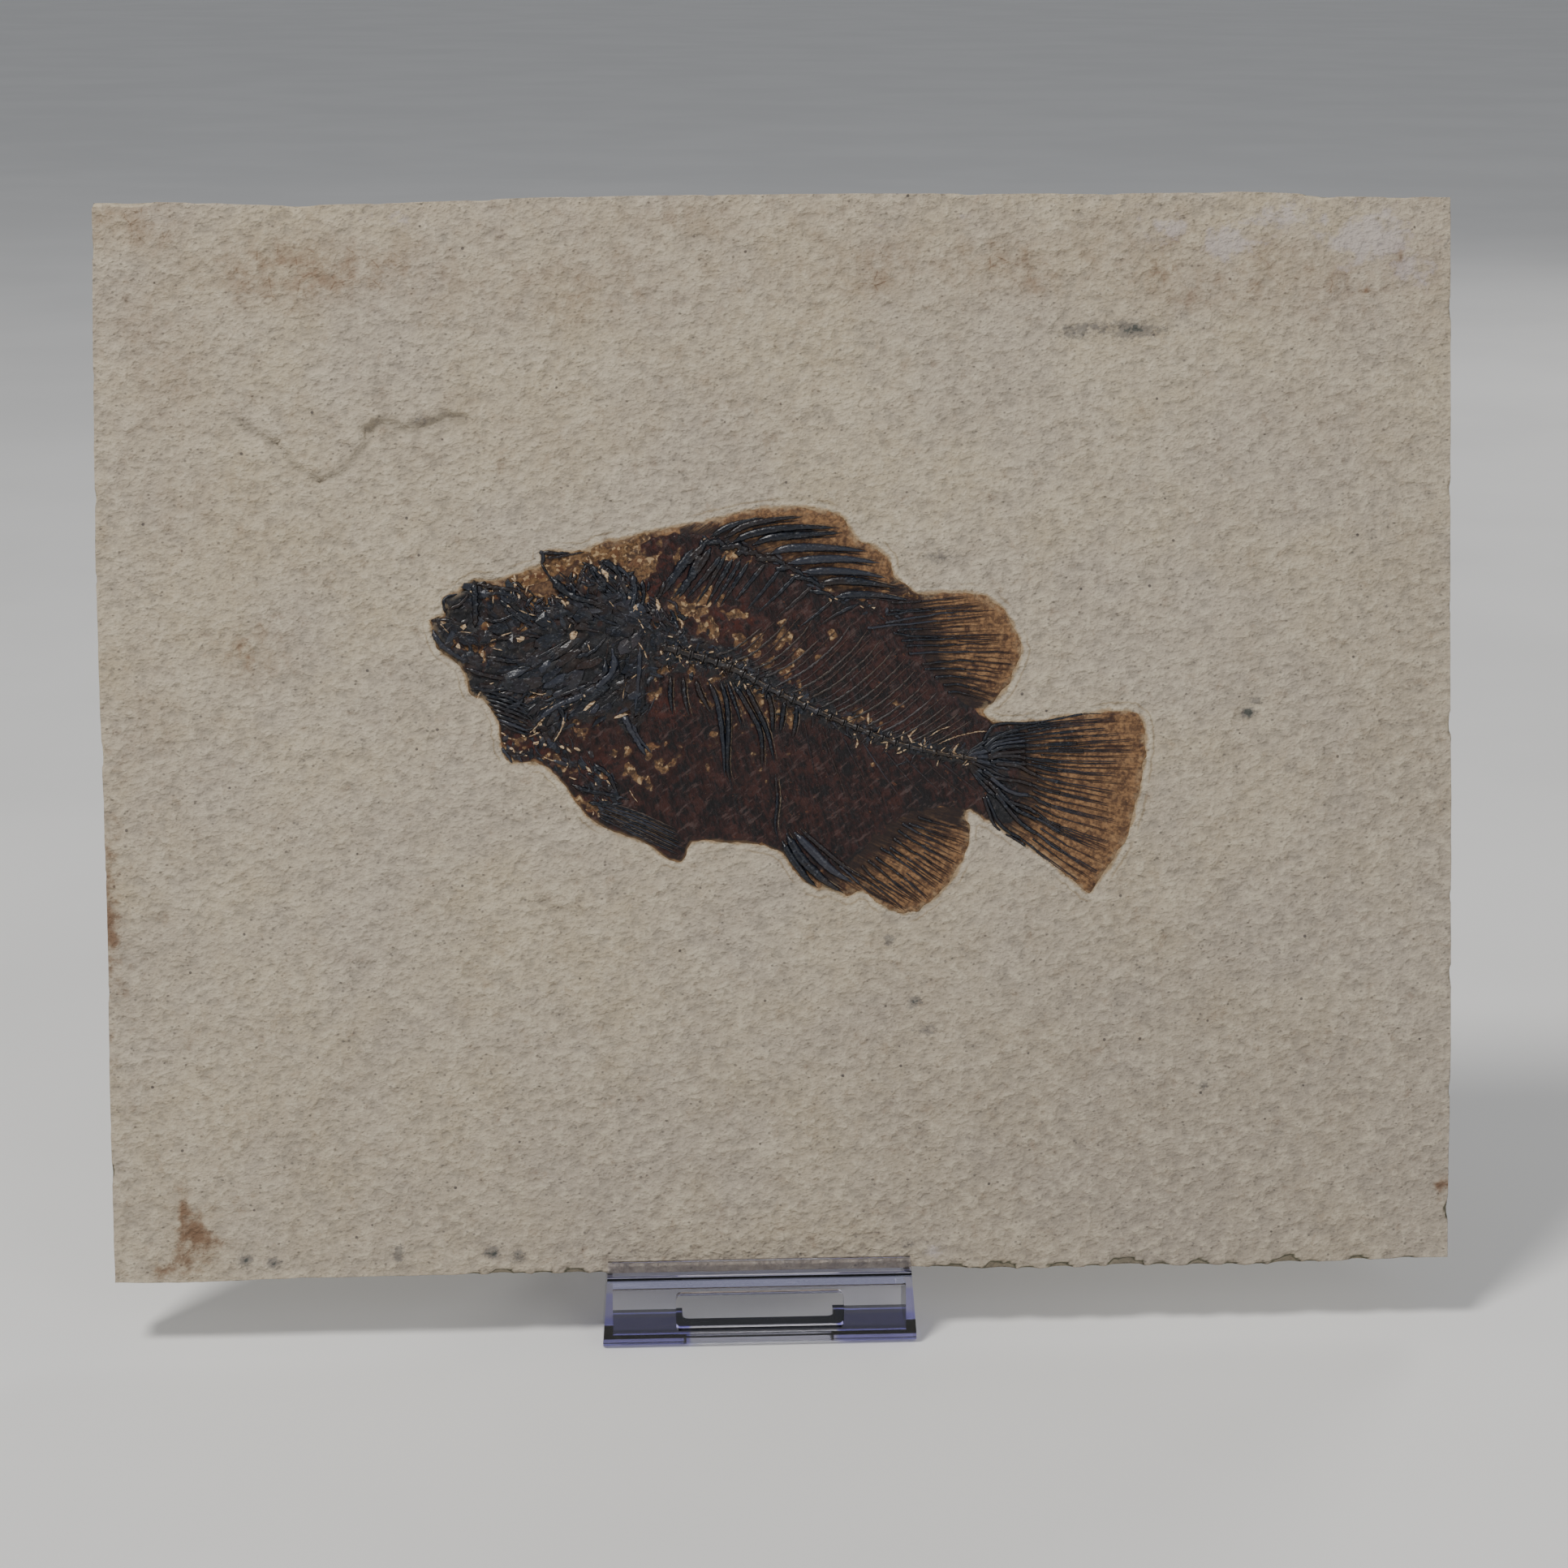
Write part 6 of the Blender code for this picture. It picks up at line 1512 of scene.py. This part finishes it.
# Sockets that share a name with others are found by their number.
MIX_FACTOR, MIX_VECTOR_A, MIX_VECTOR_B, MIX_COLOUR_A, MIX_COLOUR_B = 0, 4, 5, 6, 7
MIX_VECTOR_OUT, MIX_COLOUR_OUT = 1, 2
NOISE_SHIFT = 430  # millimetres from the noises' centre, where their layers would line up


def paint(red, green, blue):
    """A colour named by its usual 0 to 255 screen values."""
    channels = [value / 255 for value in (red, green, blue)]
    return tuple(c / 12.92 if c <= 0.04045 else ((c + 0.055) / 1.055) ** 2.4 for c in channels) + (1.0,)


class Look:
    """A node material, with a short call for each kind of node that it uses."""

    def __init__(self, name, **sockets):
        self.material = bpy.data.materials.new(name)
        self.material.use_nodes = True
        self.nodes = self.material.node_tree.nodes
        self.links = self.material.node_tree.links
        self.shader = self.nodes["Principled BSDF"]
        self.finish(**sockets)

    def feed(self, socket, value):
        if isinstance(value, bpy.types.NodeSocket):
            self.links.new(value, socket)
        else:
            socket.default_value = value

    def node(self, kind, **inputs):
        made = self.nodes.new(kind)
        for key, value in inputs.items():
            self.feed(made.inputs[key.replace("_", " ")], value)
        return made

    def place(self, stretch=(1, 1, 1), turn=0, shift=NOISE_SHIFT):
        """The piece's own coordinates in millimetres, turned, stretched and shifted."""
        coordinates = self.nodes.new("ShaderNodeTexCoord").outputs["Object"]
        spun = self.node("ShaderNodeMapping", Vector=coordinates, Rotation=(0, 0, math.radians(turn)))
        scaled = self.node("ShaderNodeMapping", Vector=spun.outputs[0],
                           Scale=tuple(share / MM for share in stretch), Location=(shift,) * 3)
        return scaled.outputs[0]

    def spot(self):
        """The place's three coordinates in millimetres."""
        return self.node("ShaderNodeSeparateXYZ", Vector=self.place(shift=0)).outputs

    def noise(self, size, detail=3.0, roughness=0.55, **place):
        """Noise whose lumps have about the given size in millimetres."""
        made = self.node("ShaderNodeTexNoise", Vector=self.place(**place), Scale=1 / size, Detail=detail,
                         Roughness=roughness)
        return made.outputs[0]

    def cells(self, size, feature="F1", **place):
        made = self.node("ShaderNodeTexVoronoi", Vector=self.place(**place), Scale=1 / size)
        made.feature = feature
        return made.outputs["Distance"]

    def value(self, name):
        made = self.nodes.new("ShaderNodeAttribute")
        made.attribute_name = name
        return made.outputs["Fac"]

    def sum(self, kind, first, second=0.0):
        made = self.nodes.new("ShaderNodeMath")
        made.operation = kind
        self.feed(made.inputs[0], first)
        self.feed(made.inputs[1], second)
        return made.outputs[0]

    def add(self, first, second):
        return self.sum("ADD", first, second)

    def times(self, first, second):
        return self.sum("MULTIPLY", first, second)

    def stirred(self, value, noise, strength):
        """A value moved up and down by a noise."""
        return self.add(value, self.times(self.add(noise, -0.5), strength))

    def step(self, value, low, high, start=0.0, end=1.0):
        """A smooth step of a value, from start at low to end at high."""
        made = self.nodes.new("ShaderNodeMapRange")
        made.interpolation_type = "SMOOTHSTEP"
        for socket, given in zip(made.inputs, (value, low, high, start, end)):
            self.feed(socket, given)
        return made.outputs[0]

    def band(self, value, centre, width):
        """1 where a value is at the centre, falling to 0 a width away on both sides."""
        away = self.sum("ABSOLUTE", self.add(value, -centre))
        return self.step(away, 0.0, width, 1.0, 0.0)

    def mix(self, factor, first, second):
        made = self.nodes.new("ShaderNodeMix")
        made.data_type = "RGBA"
        self.feed(made.inputs[MIX_FACTOR], factor)
        self.feed(made.inputs[MIX_COLOUR_A], first)
        self.feed(made.inputs[MIX_COLOUR_B], second)
        return made.outputs[MIX_COLOUR_OUT]

    def mix_normals(self, factor, first, second):
        made = self.nodes.new("ShaderNodeMix")
        made.data_type = "VECTOR"
        self.feed(made.inputs[MIX_FACTOR], factor)
        self.feed(made.inputs[MIX_VECTOR_A], first)
        self.feed(made.inputs[MIX_VECTOR_B], second)
        return made.outputs[MIX_VECTOR_OUT]

    def between(self, value, low, high, first, second):
        """From one screen colour to another, as a value goes from low to high."""
        return self.mix(self.step(value, low, high), paint(*first), paint(*second))

    def lay(self, colour, mask, shade, strength=1.0):
        """A screen colour laid over a colour through a mask."""
        if strength < 1.0:
            mask = self.times(mask, strength)
        return self.mix(mask, colour, paint(*shade))

    def tint(self, colour, *rows):
        """Screen colours laid over a colour in turn: (value, low, high, strength at high, screen colour)."""
        for value, low, high, strength, shade in rows:
            colour = self.lay(colour, self.step(value, low, high, 0.0, strength), shade)
        return colour

    def bump(self, height, depth):
        """A bump whose height value of 1 stands for a depth in millimetres."""
        return self.node("ShaderNodeBump", Height=height, Strength=1.0, Distance=depth * MM).outputs[0]

    def finish(self, **sockets):
        for key, value in sockets.items():
            self.feed(self.shader.inputs[key.replace("_", " ")], value)
        return self.material


def stone_ground(look, grain, pits, cloud):
    """The bare stone of the front: its two tones, smudges, grain and specks, with painted shade towards the
    bottom and in the grain's hollows, and painted highlight on the grain's tops.
    """
    broad = look.noise(26)
    blur = look.noise(3.0, detail=4, roughness=0.62, stretch=(0.75, 1.0, 1.0))
    colour = look.between(cloud, 0.3, 0.7, (183, 168, 143), (195, 181, 157))
    colour = look.tint(colour, (broad, 0.35, 0.65, 0.5, (178, 167, 154)))
    # Painted shade: the face darkened towards the bottom and the right.
    colour = look.lay(colour, look.value("face_shade"), (155, 144, 132), 0.60)
    smudge = look.times(look.step(blur, 0.50, 0.36), look.step(cloud, 0.35, 0.60, 0.5, 1.0))
    colour = look.lay(colour, smudge, (130, 121, 114), 0.20)
    # The grain's own tone, partly painted shade in its hollows and painted highlight on its tops, as the same
    # noises raise the bump.
    colour = look.tint(colour, (grain, 0.48, 0.34, 0.34, (122, 115, 107)),
                       (grain, 0.52, 0.66, 0.34, (214, 202, 178)),
                       (pits, 0.50, 0.34, 0.30, (146, 137, 124)))
    speck_cells = look.cells(1.05, stretch=(0.75, 1.0, 1.0))
    specks = look.times(look.step(speck_cells, 0.26, 0.12), look.step(look.noise(2.1, detail=1), 0.49, 0.58))
    colour = look.lay(colour, specks, (98, 93, 88), 0.62)
    return look.tint(colour, (look.cells(6.0), 0.060, 0.035, 0.8, (74, 70, 70)))


def stone_stains(look, colour):
    """The brown, rusty, chalky and grey stains, torn at their edges, and painted shade along the grooves."""
    torn = look.noise(2.6, detail=5, roughness=0.68)
    fine_torn = look.noise(0.9, roughness=0.65)
    brown = look.value("brown")
    grey_and_groove_shade = look.value("grey_and_groove_shade")
    patchy_brown = look.times(brown, look.step(torn, 0.34, 0.60, 0.25, 1.0))
    colour = look.lay(colour, patchy_brown, (144, 121, 100), 0.74)
    veins = look.step(look.cells(4.5, "DISTANCE_TO_EDGE"), 0.030, 0.006)
    cracks = look.times(look.times(veins, look.step(brown, 0.35, 0.7)), look.step(torn, 0.45, 0.6, 0.0, 0.55))
    colour = look.lay(colour, cracks, (104, 78, 58))
    return look.tint(
        colour,
        (look.stirred(look.value("rust"), torn, 1.9), 0.05, 0.90, 0.86, (112, 82, 60)),
        (look.stirred(look.value("chalk"), torn, 2.2), 0.42, 0.90, 0.62, (192, 182, 178)),
        # Grey spots, and painted shade along two grooves.
        (look.stirred(grey_and_groove_shade, fine_torn, 1.6), 0.34, 0.85, 0.62, (94, 92, 92)),
        (look.stirred(grey_and_groove_shade, fine_torn, 1.2), 1.00, 1.20, 0.75, (58, 66, 64)),
        # Painted shade in the grooves.
        (look.value("groove_shade"), 0.08, 0.6, 0.42, (124, 116, 104)))


def stone_round_fish(look, colour):
    """The dark rim, the pale ring and the thin brown contour round the fish."""
    outside = look.value("outside")
    wander = look.times(look.add(look.noise(1.6), -0.5), 1.5)
    near = look.add(outside, wander)
    colour = look.tint(colour, (near, 0.55, -0.10, 0.7, (148, 120, 84)))
    pale_ring = look.times(look.band(near, 0.65, 0.45), look.step(look.noise(11, detail=2), 0.42, 0.58))
    colour = look.lay(colour, pale_ring, (218, 207, 184), 0.28)
    line = look.band(look.add(outside, look.times(wander, 0.8)), 1.35, 0.30)
    contour = look.times(line, look.step(look.noise(7.5, detail=1), 0.42, 0.56))
    return look.lay(colour, contour, (126, 106, 78), 0.50)


def stone_chips(look, colour):
    """The chips along the edges: broken stone with painted shade at the bottom and painted highlight at the
    top, outlined low down.
    """
    chips = look.value("chips")
    height = look.spot()[1]
    # Painted shade on the low chips and painted highlight on the high ones.
    broken_lit_and_shaded = look.between(height, 30, 60, (104, 98, 78), (204, 190, 162))
    colour = look.mix(look.step(chips, 0.05, 0.35, 0.0, 0.55), colour, broken_lit_and_shaded)
    outline = look.times(look.band(chips, 0.30, 0.30), look.step(height, 60, 30, 0.0, 0.75))
    return look.lay(colour, outline, (64, 66, 48))


def limestone():
    look = Look("limestone", Specular_IOR_Level=0.28)
    slant = {"stretch": (0.80, 1.0, 1.0), "turn": -8}
    grain = look.noise(1.45, detail=2.5, roughness=0.52, **slant)
    pits = look.noise(0.7, detail=2, **slant)
    cloud = look.noise(7, detail=4, roughness=0.6)
    front = look.value("front")
    colour = stone_ground(look, grain, pits, cloud)
    colour = stone_stains(look, colour)
    colour = stone_round_fish(look, colour)

    saw = look.noise(0.9, detail=4, stretch=(0.25, 0.25, 1.0))
    split = look.noise(1.6, detail=6, roughness=0.68)
    weathered = look.noise(24, detail=6, roughness=0.62)
    sides = look.between(split, 0.35, 0.65, (186, 172, 142), (214, 204, 180))
    sides = look.tint(sides, (weathered, 0.42, 0.66, 0.55, (178, 154, 120)),
                      (saw, 0.55, 0.7, 0.35, (140, 126, 104)))
    colour = stone_chips(look, look.mix(front, sides, colour))

    face_bump = look.bump(look.add(grain, look.times(pits, 0.35)), 0.90)
    side_bump = look.bump(look.add(look.times(split, 1.1), look.times(saw, 0.3)), 0.8)
    return look.finish(Base_Color=colour, Roughness=look.step(grain, 0.3, 0.7, 0.92, 0.8),
                       Normal=look.mix_normals(front, side_bump, face_bump))


def membrane_colour(look, speckle, mottle):
    """The golden web of the fins, combed along the rays and dark at its root."""
    shade = look.value("shade")
    fan = look.node("ShaderNodeCombineXYZ", X=look.times(look.value("comb"), 2.2),
                    Y=look.times(look.value("reach"), 0.22))
    combed = look.node("ShaderNodeTexNoise", Vector=fan.outputs[0], Scale=1.0, Detail=2.0).outputs[0]
    web = look.between(speckle, 0.36, 0.64, (94, 66, 43), (144, 108, 73))
    web = look.tint(web, (mottle, 0.52, 0.70, 0.5, (170, 134, 94)), (mottle, 0.46, 0.30, 0.7, (64, 42, 28)))
    combing = look.times(look.step(combed, 0.53, 0.42), look.step(shade, 1.0, 0.75, 0.30, 0.65))
    web = look.lay(web, combing, (52, 30, 24))
    return look.tint(web, (look.stirred(shade, combed, 0.9), 0.80, 0.05, 0.92, (30, 19, 19)))


def scale_colour(look, streak):
    """The dark scales of the flank, with wisps, crumbs, rusty blotches and flecks."""
    rusty = look.value("rusty")
    patch = look.noise(2.8, roughness=0.6)
    wisp = look.noise(1.3, detail=4, roughness=0.65, stretch=(0.42, 1.4, 1.0), turn=-38)
    blotch = look.noise(1.5, roughness=0.6, stretch=(1.0, 1.2, 1.0), turn=15)
    flecks = look.noise(0.8, detail=2, stretch=(0.7, 1.0, 1.0), turn=30)
    scales = look.between(streak, 0.34, 0.66, (17, 8, 8), (48, 24, 21))
    scales = look.tint(scales, (patch, 0.52, 0.64, 0.7, (62, 33, 27)),
                       (patch, 0.46, 0.36, 0.8, (12, 11, 13)),
                       (wisp, 0.54, 0.66, 0.55, (86, 68, 64)),
                       (wisp, 0.44, 0.34, 0.6, (12, 9, 10)),
                       (look.noise(0.9, detail=2), 0.70, 0.77, 0.5, (122, 92, 66)))
    rust = look.times(look.step(blotch, 0.46, 0.60), look.step(rusty, 0.15, 0.7))
    scales = look.lay(scales, rust, (78, 34, 24), 0.62)
    burnt = look.times(look.step(blotch, 0.44, 0.34), look.step(rusty, 0.1, 0.6, 0.3, 0.8))
    scales = look.lay(scales, burnt, (18, 12, 12))
    return look.tint(scales, (flecks, 0.68, 0.76, 0.6, (104, 62, 38)))


def skull_colour(look):
    """The blue-black bone of the skull and the column."""
    crumble = look.noise(0.9, detail=4, roughness=0.65)
    glint = look.noise(0.6, roughness=0.65, stretch=(0.6, 1.0, 1.0), turn=-40)
    bone = look.between(crumble, 0.34, 0.66, (13, 14, 17), (35, 34, 37))
    return look.tint(bone, (look.noise(4.4, detail=2), 0.54, 0.66, 0.7, (50, 36, 30)),
                     (look.noise(2.4, turn=40), 0.58, 0.68, 0.6, (38, 42, 52)),
                     (glint, 0.57, 0.68, 0.5, (94, 88, 82)))


def gold_colour(look, speckle, mottle):
    """The bare patches where scales have come away, with painted highlights."""
    golden = look.between(speckle, 0.36, 0.64, (66, 45, 29), (122, 92, 61))
    return look.tint(golden, (mottle, 0.50, 0.60, 0.6, (92, 52, 32)),
                     (mottle, 0.46, 0.36, 0.6, (50, 32, 22)),
                     # Painted highlights: bright specks on the bare patches.
                     (look.noise(1.0, detail=2), 0.55, 0.64, 0.75, (178, 150, 112)))


def fish_skin_look():
    look = Look("fossil skin", IOR=1.5, Specular_IOR_Level=0.36)
    inside = look.value("inside")
    flank = look.value("flank")
    gold = look.value("gold")
    speckle = look.noise(0.7, roughness=0.62)
    mottle = look.noise(2.0, detail=4, roughness=0.62)
    streak = look.noise(0.55, roughness=0.6, stretch=(1.0, 0.30, 1.0), turn=-18)
    is_gold = look.step(gold, -0.05, 0.12)

    colour = look.mix(look.step(flank, -0.15, 0.15), membrane_colour(look, speckle, mottle),
                      scale_colour(look, streak))
    colour = look.mix(look.step(look.value("dark"), -0.2, 0.2), colour, skull_colour(look))
    colour = look.mix(is_gold, colour, gold_colour(look, speckle, mottle))
    colour = look.lay(colour, look.band(gold, -0.15, 0.30), (50, 24, 18), 0.7)
    colour = look.tint(colour, (inside, 0.5, 0.0, 0.6, (126, 98, 64)))
    faded = look.times(look.step(inside, 1.6, 0.0), look.step(mottle, 0.46, 0.58))
    faded = look.times(faded, look.step(flank, 0.0, -0.6))
    colour = look.lay(colour, faded, (176, 154, 122), 0.38)
    # Painted shade where the skin lies low, as at its edge and in sunken patches.
    colour = look.tint(colour, (look.value("level"), -0.05, -0.30, 0.35, (40, 28, 22)))

    matt = look.add(look.step(flank, -0.15, 0.15, 0.62, 0.36), look.times(is_gold, 0.2))
    grit = look.add(look.times(speckle, 0.7), look.times(streak, 0.6))
    return look.finish(Base_Color=colour, Roughness=look.stirred(matt, speckle, 0.35),
                       Normal=look.bump(grit, 0.22))


def fish_bone_look():
    look = Look("fossil bone", IOR=1.52, Specular_IOR_Level=0.40)
    streak = look.noise(0.4, stretch=(0.5, 1.0, 1.0), turn=12)
    glint = look.noise(0.45, roughness=0.65, stretch=(0.6, 1.0, 1.0), turn=-30)
    tone = look.value("tone")
    warm = look.value("warm")
    bone = look.between(streak, 0.32, 0.68, (8, 11, 17), (23, 28, 39))
    bone = look.tint(bone, (look.noise(1.6, detail=2), 0.56, 0.75, 0.5, (34, 25, 23)),
                     (look.noise(5.0, detail=2), 0.50, 0.62, 0.75, (38, 27, 22)),
                     (tone, 0.30, 0.0, 0.7, (40, 28, 24)),
                     (tone, 0.70, 1.0, 0.7, (50, 53, 64)),
                     (glint, 0.56, 0.68, 0.55, (88, 90, 96)))
    brown = look.between(streak, 0.32, 0.68, (34, 18, 11), (74, 44, 26))
    pale = look.between(streak, 0.32, 0.62, (112, 86, 62), (200, 174, 140))
    colour = look.mix(look.step(warm, 0.1, 1.0), bone, brown)
    # Pale bone, and the painted highlights laid along bones.
    colour = look.mix(look.value("pale"), colour, pale)
    matt = look.stirred(look.step(warm, 0.2, 1.0, 0.33, 0.52), streak, 0.3)
    return look.finish(Base_Color=colour, Roughness=matt, Normal=look.bump(streak, 0.09))


def clear_acrylic():
    """Clear plastic, with a painted violet reflection at the front plate's ends."""
    look = Look("clear acrylic", Transmission_Weight=1.0, IOR=1.49)
    smudge = look.noise(9, detail=4, roughness=0.6)
    scratch = look.noise(0.3, detail=2, stretch=(0.03, 1.0, 1.0), turn=8)
    matt = look.add(look.step(smudge, 0.45, 0.75, 0.015, 0.06), look.step(scratch, 0.66, 0.74, 0.0, 0.05))
    across, back, height = look.spot()
    beside = look.step(look.sum("ABSOLUTE", look.add(across, -WINDOW_CENTRE)), *WINDOW_END)
    low = look.step(height, *REFLECTION_HEIGHT)
    # Painted violet reflection, low at the front plate's ends beside the window.
    painted_reflection = look.times(look.times(beside, low), look.step(back, *REFLECTION_DEPTH))
    depth = look.node("ShaderNodeVolumeAbsorption", Color=ABSORBED, Density=ABSORPTION)
    look.links.new(depth.outputs[0], look.nodes["Material Output"].inputs["Volume"])
    return look.finish(Base_Color=look.mix(painted_reflection, CLEAR, VIOLET_REFLECTION), Roughness=matt,
                       Normal=look.bump(smudge, 0.01))


def floor_look():
    look = Look("pale floor", Specular_IOR_Level=0.3)
    cloud = look.noise(160, detail=4)
    colour = look.between(cloud, 0.3, 0.7, (238, 237, 235), (244, 243, 241))
    return look.finish(Base_Color=colour, Roughness=look.step(cloud, 0.3, 0.7, 0.5, 0.58))


# ---------------------------------------------------------------------------
# Floor, lights and camera
# ---------------------------------------------------------------------------


def link(name, data):
    made = bpy.data.objects.new(name, data)
    bpy.context.scene.collection.objects.link(made)
    return made


def dress(piece, material):
    piece.data.materials.clear()
    piece.data.materials.append(material)


def make_floor():
    mesh = bpy.data.meshes.new("floor")
    corners = [(x * FLOOR_REACH, y * FLOOR_REACH, 0) for x, y in ((-1, -1), (1, -1), (1, 1), (-1, 1))]
    mesh.from_pydata(corners, [], [(0, 1, 2, 3)])
    floor = link("floor", mesh)
    dress(floor, floor_look())


def area_light(name, place, size, power, colour):
    light = bpy.data.lights.new(name, "AREA")
    light.shape = "DISK"
    light.size = size
    light.energy = power
    light.color = colour
    lamp = link(name, light)
    lamp.location = place
    lamp.rotation_euler = (AIM - Vector(place)).to_track_quat("-Z", "Y").to_euler()


def make_lights():
    for light in LIGHTS:
        area_light(*light)
    world = bpy.data.worlds.new("studio")
    world.use_nodes = True
    background = world.node_tree.nodes["Background"].inputs
    background["Color"].default_value = SKY_COLOUR
    background["Strength"].default_value = SKY_STRENGTH
    bpy.context.scene.world = world


def make_camera():
    lens = bpy.data.cameras.new("camera")
    lens.lens = CAMERA_LENS
    lens.sensor_width = CAMERA_SENSOR
    lens.sensor_fit = "HORIZONTAL"
    lens.clip_end = CAMERA_REACH
    camera = link("camera", lens)
    camera.location = CAMERA_PLACE
    camera.rotation_euler = Euler(CAMERA_TURN, "XYZ")
    bpy.context.scene.camera = camera


def main():
    make_floor()
    make_lights()
    make_camera()
    dress(make_slab(), limestone())
    relief = Relief()
    dress(make_skin(relief), fish_skin_look())
    dress(make_bones(relief), fish_bone_look())
    dress(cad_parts["display_stand"], clear_acrylic())


main()
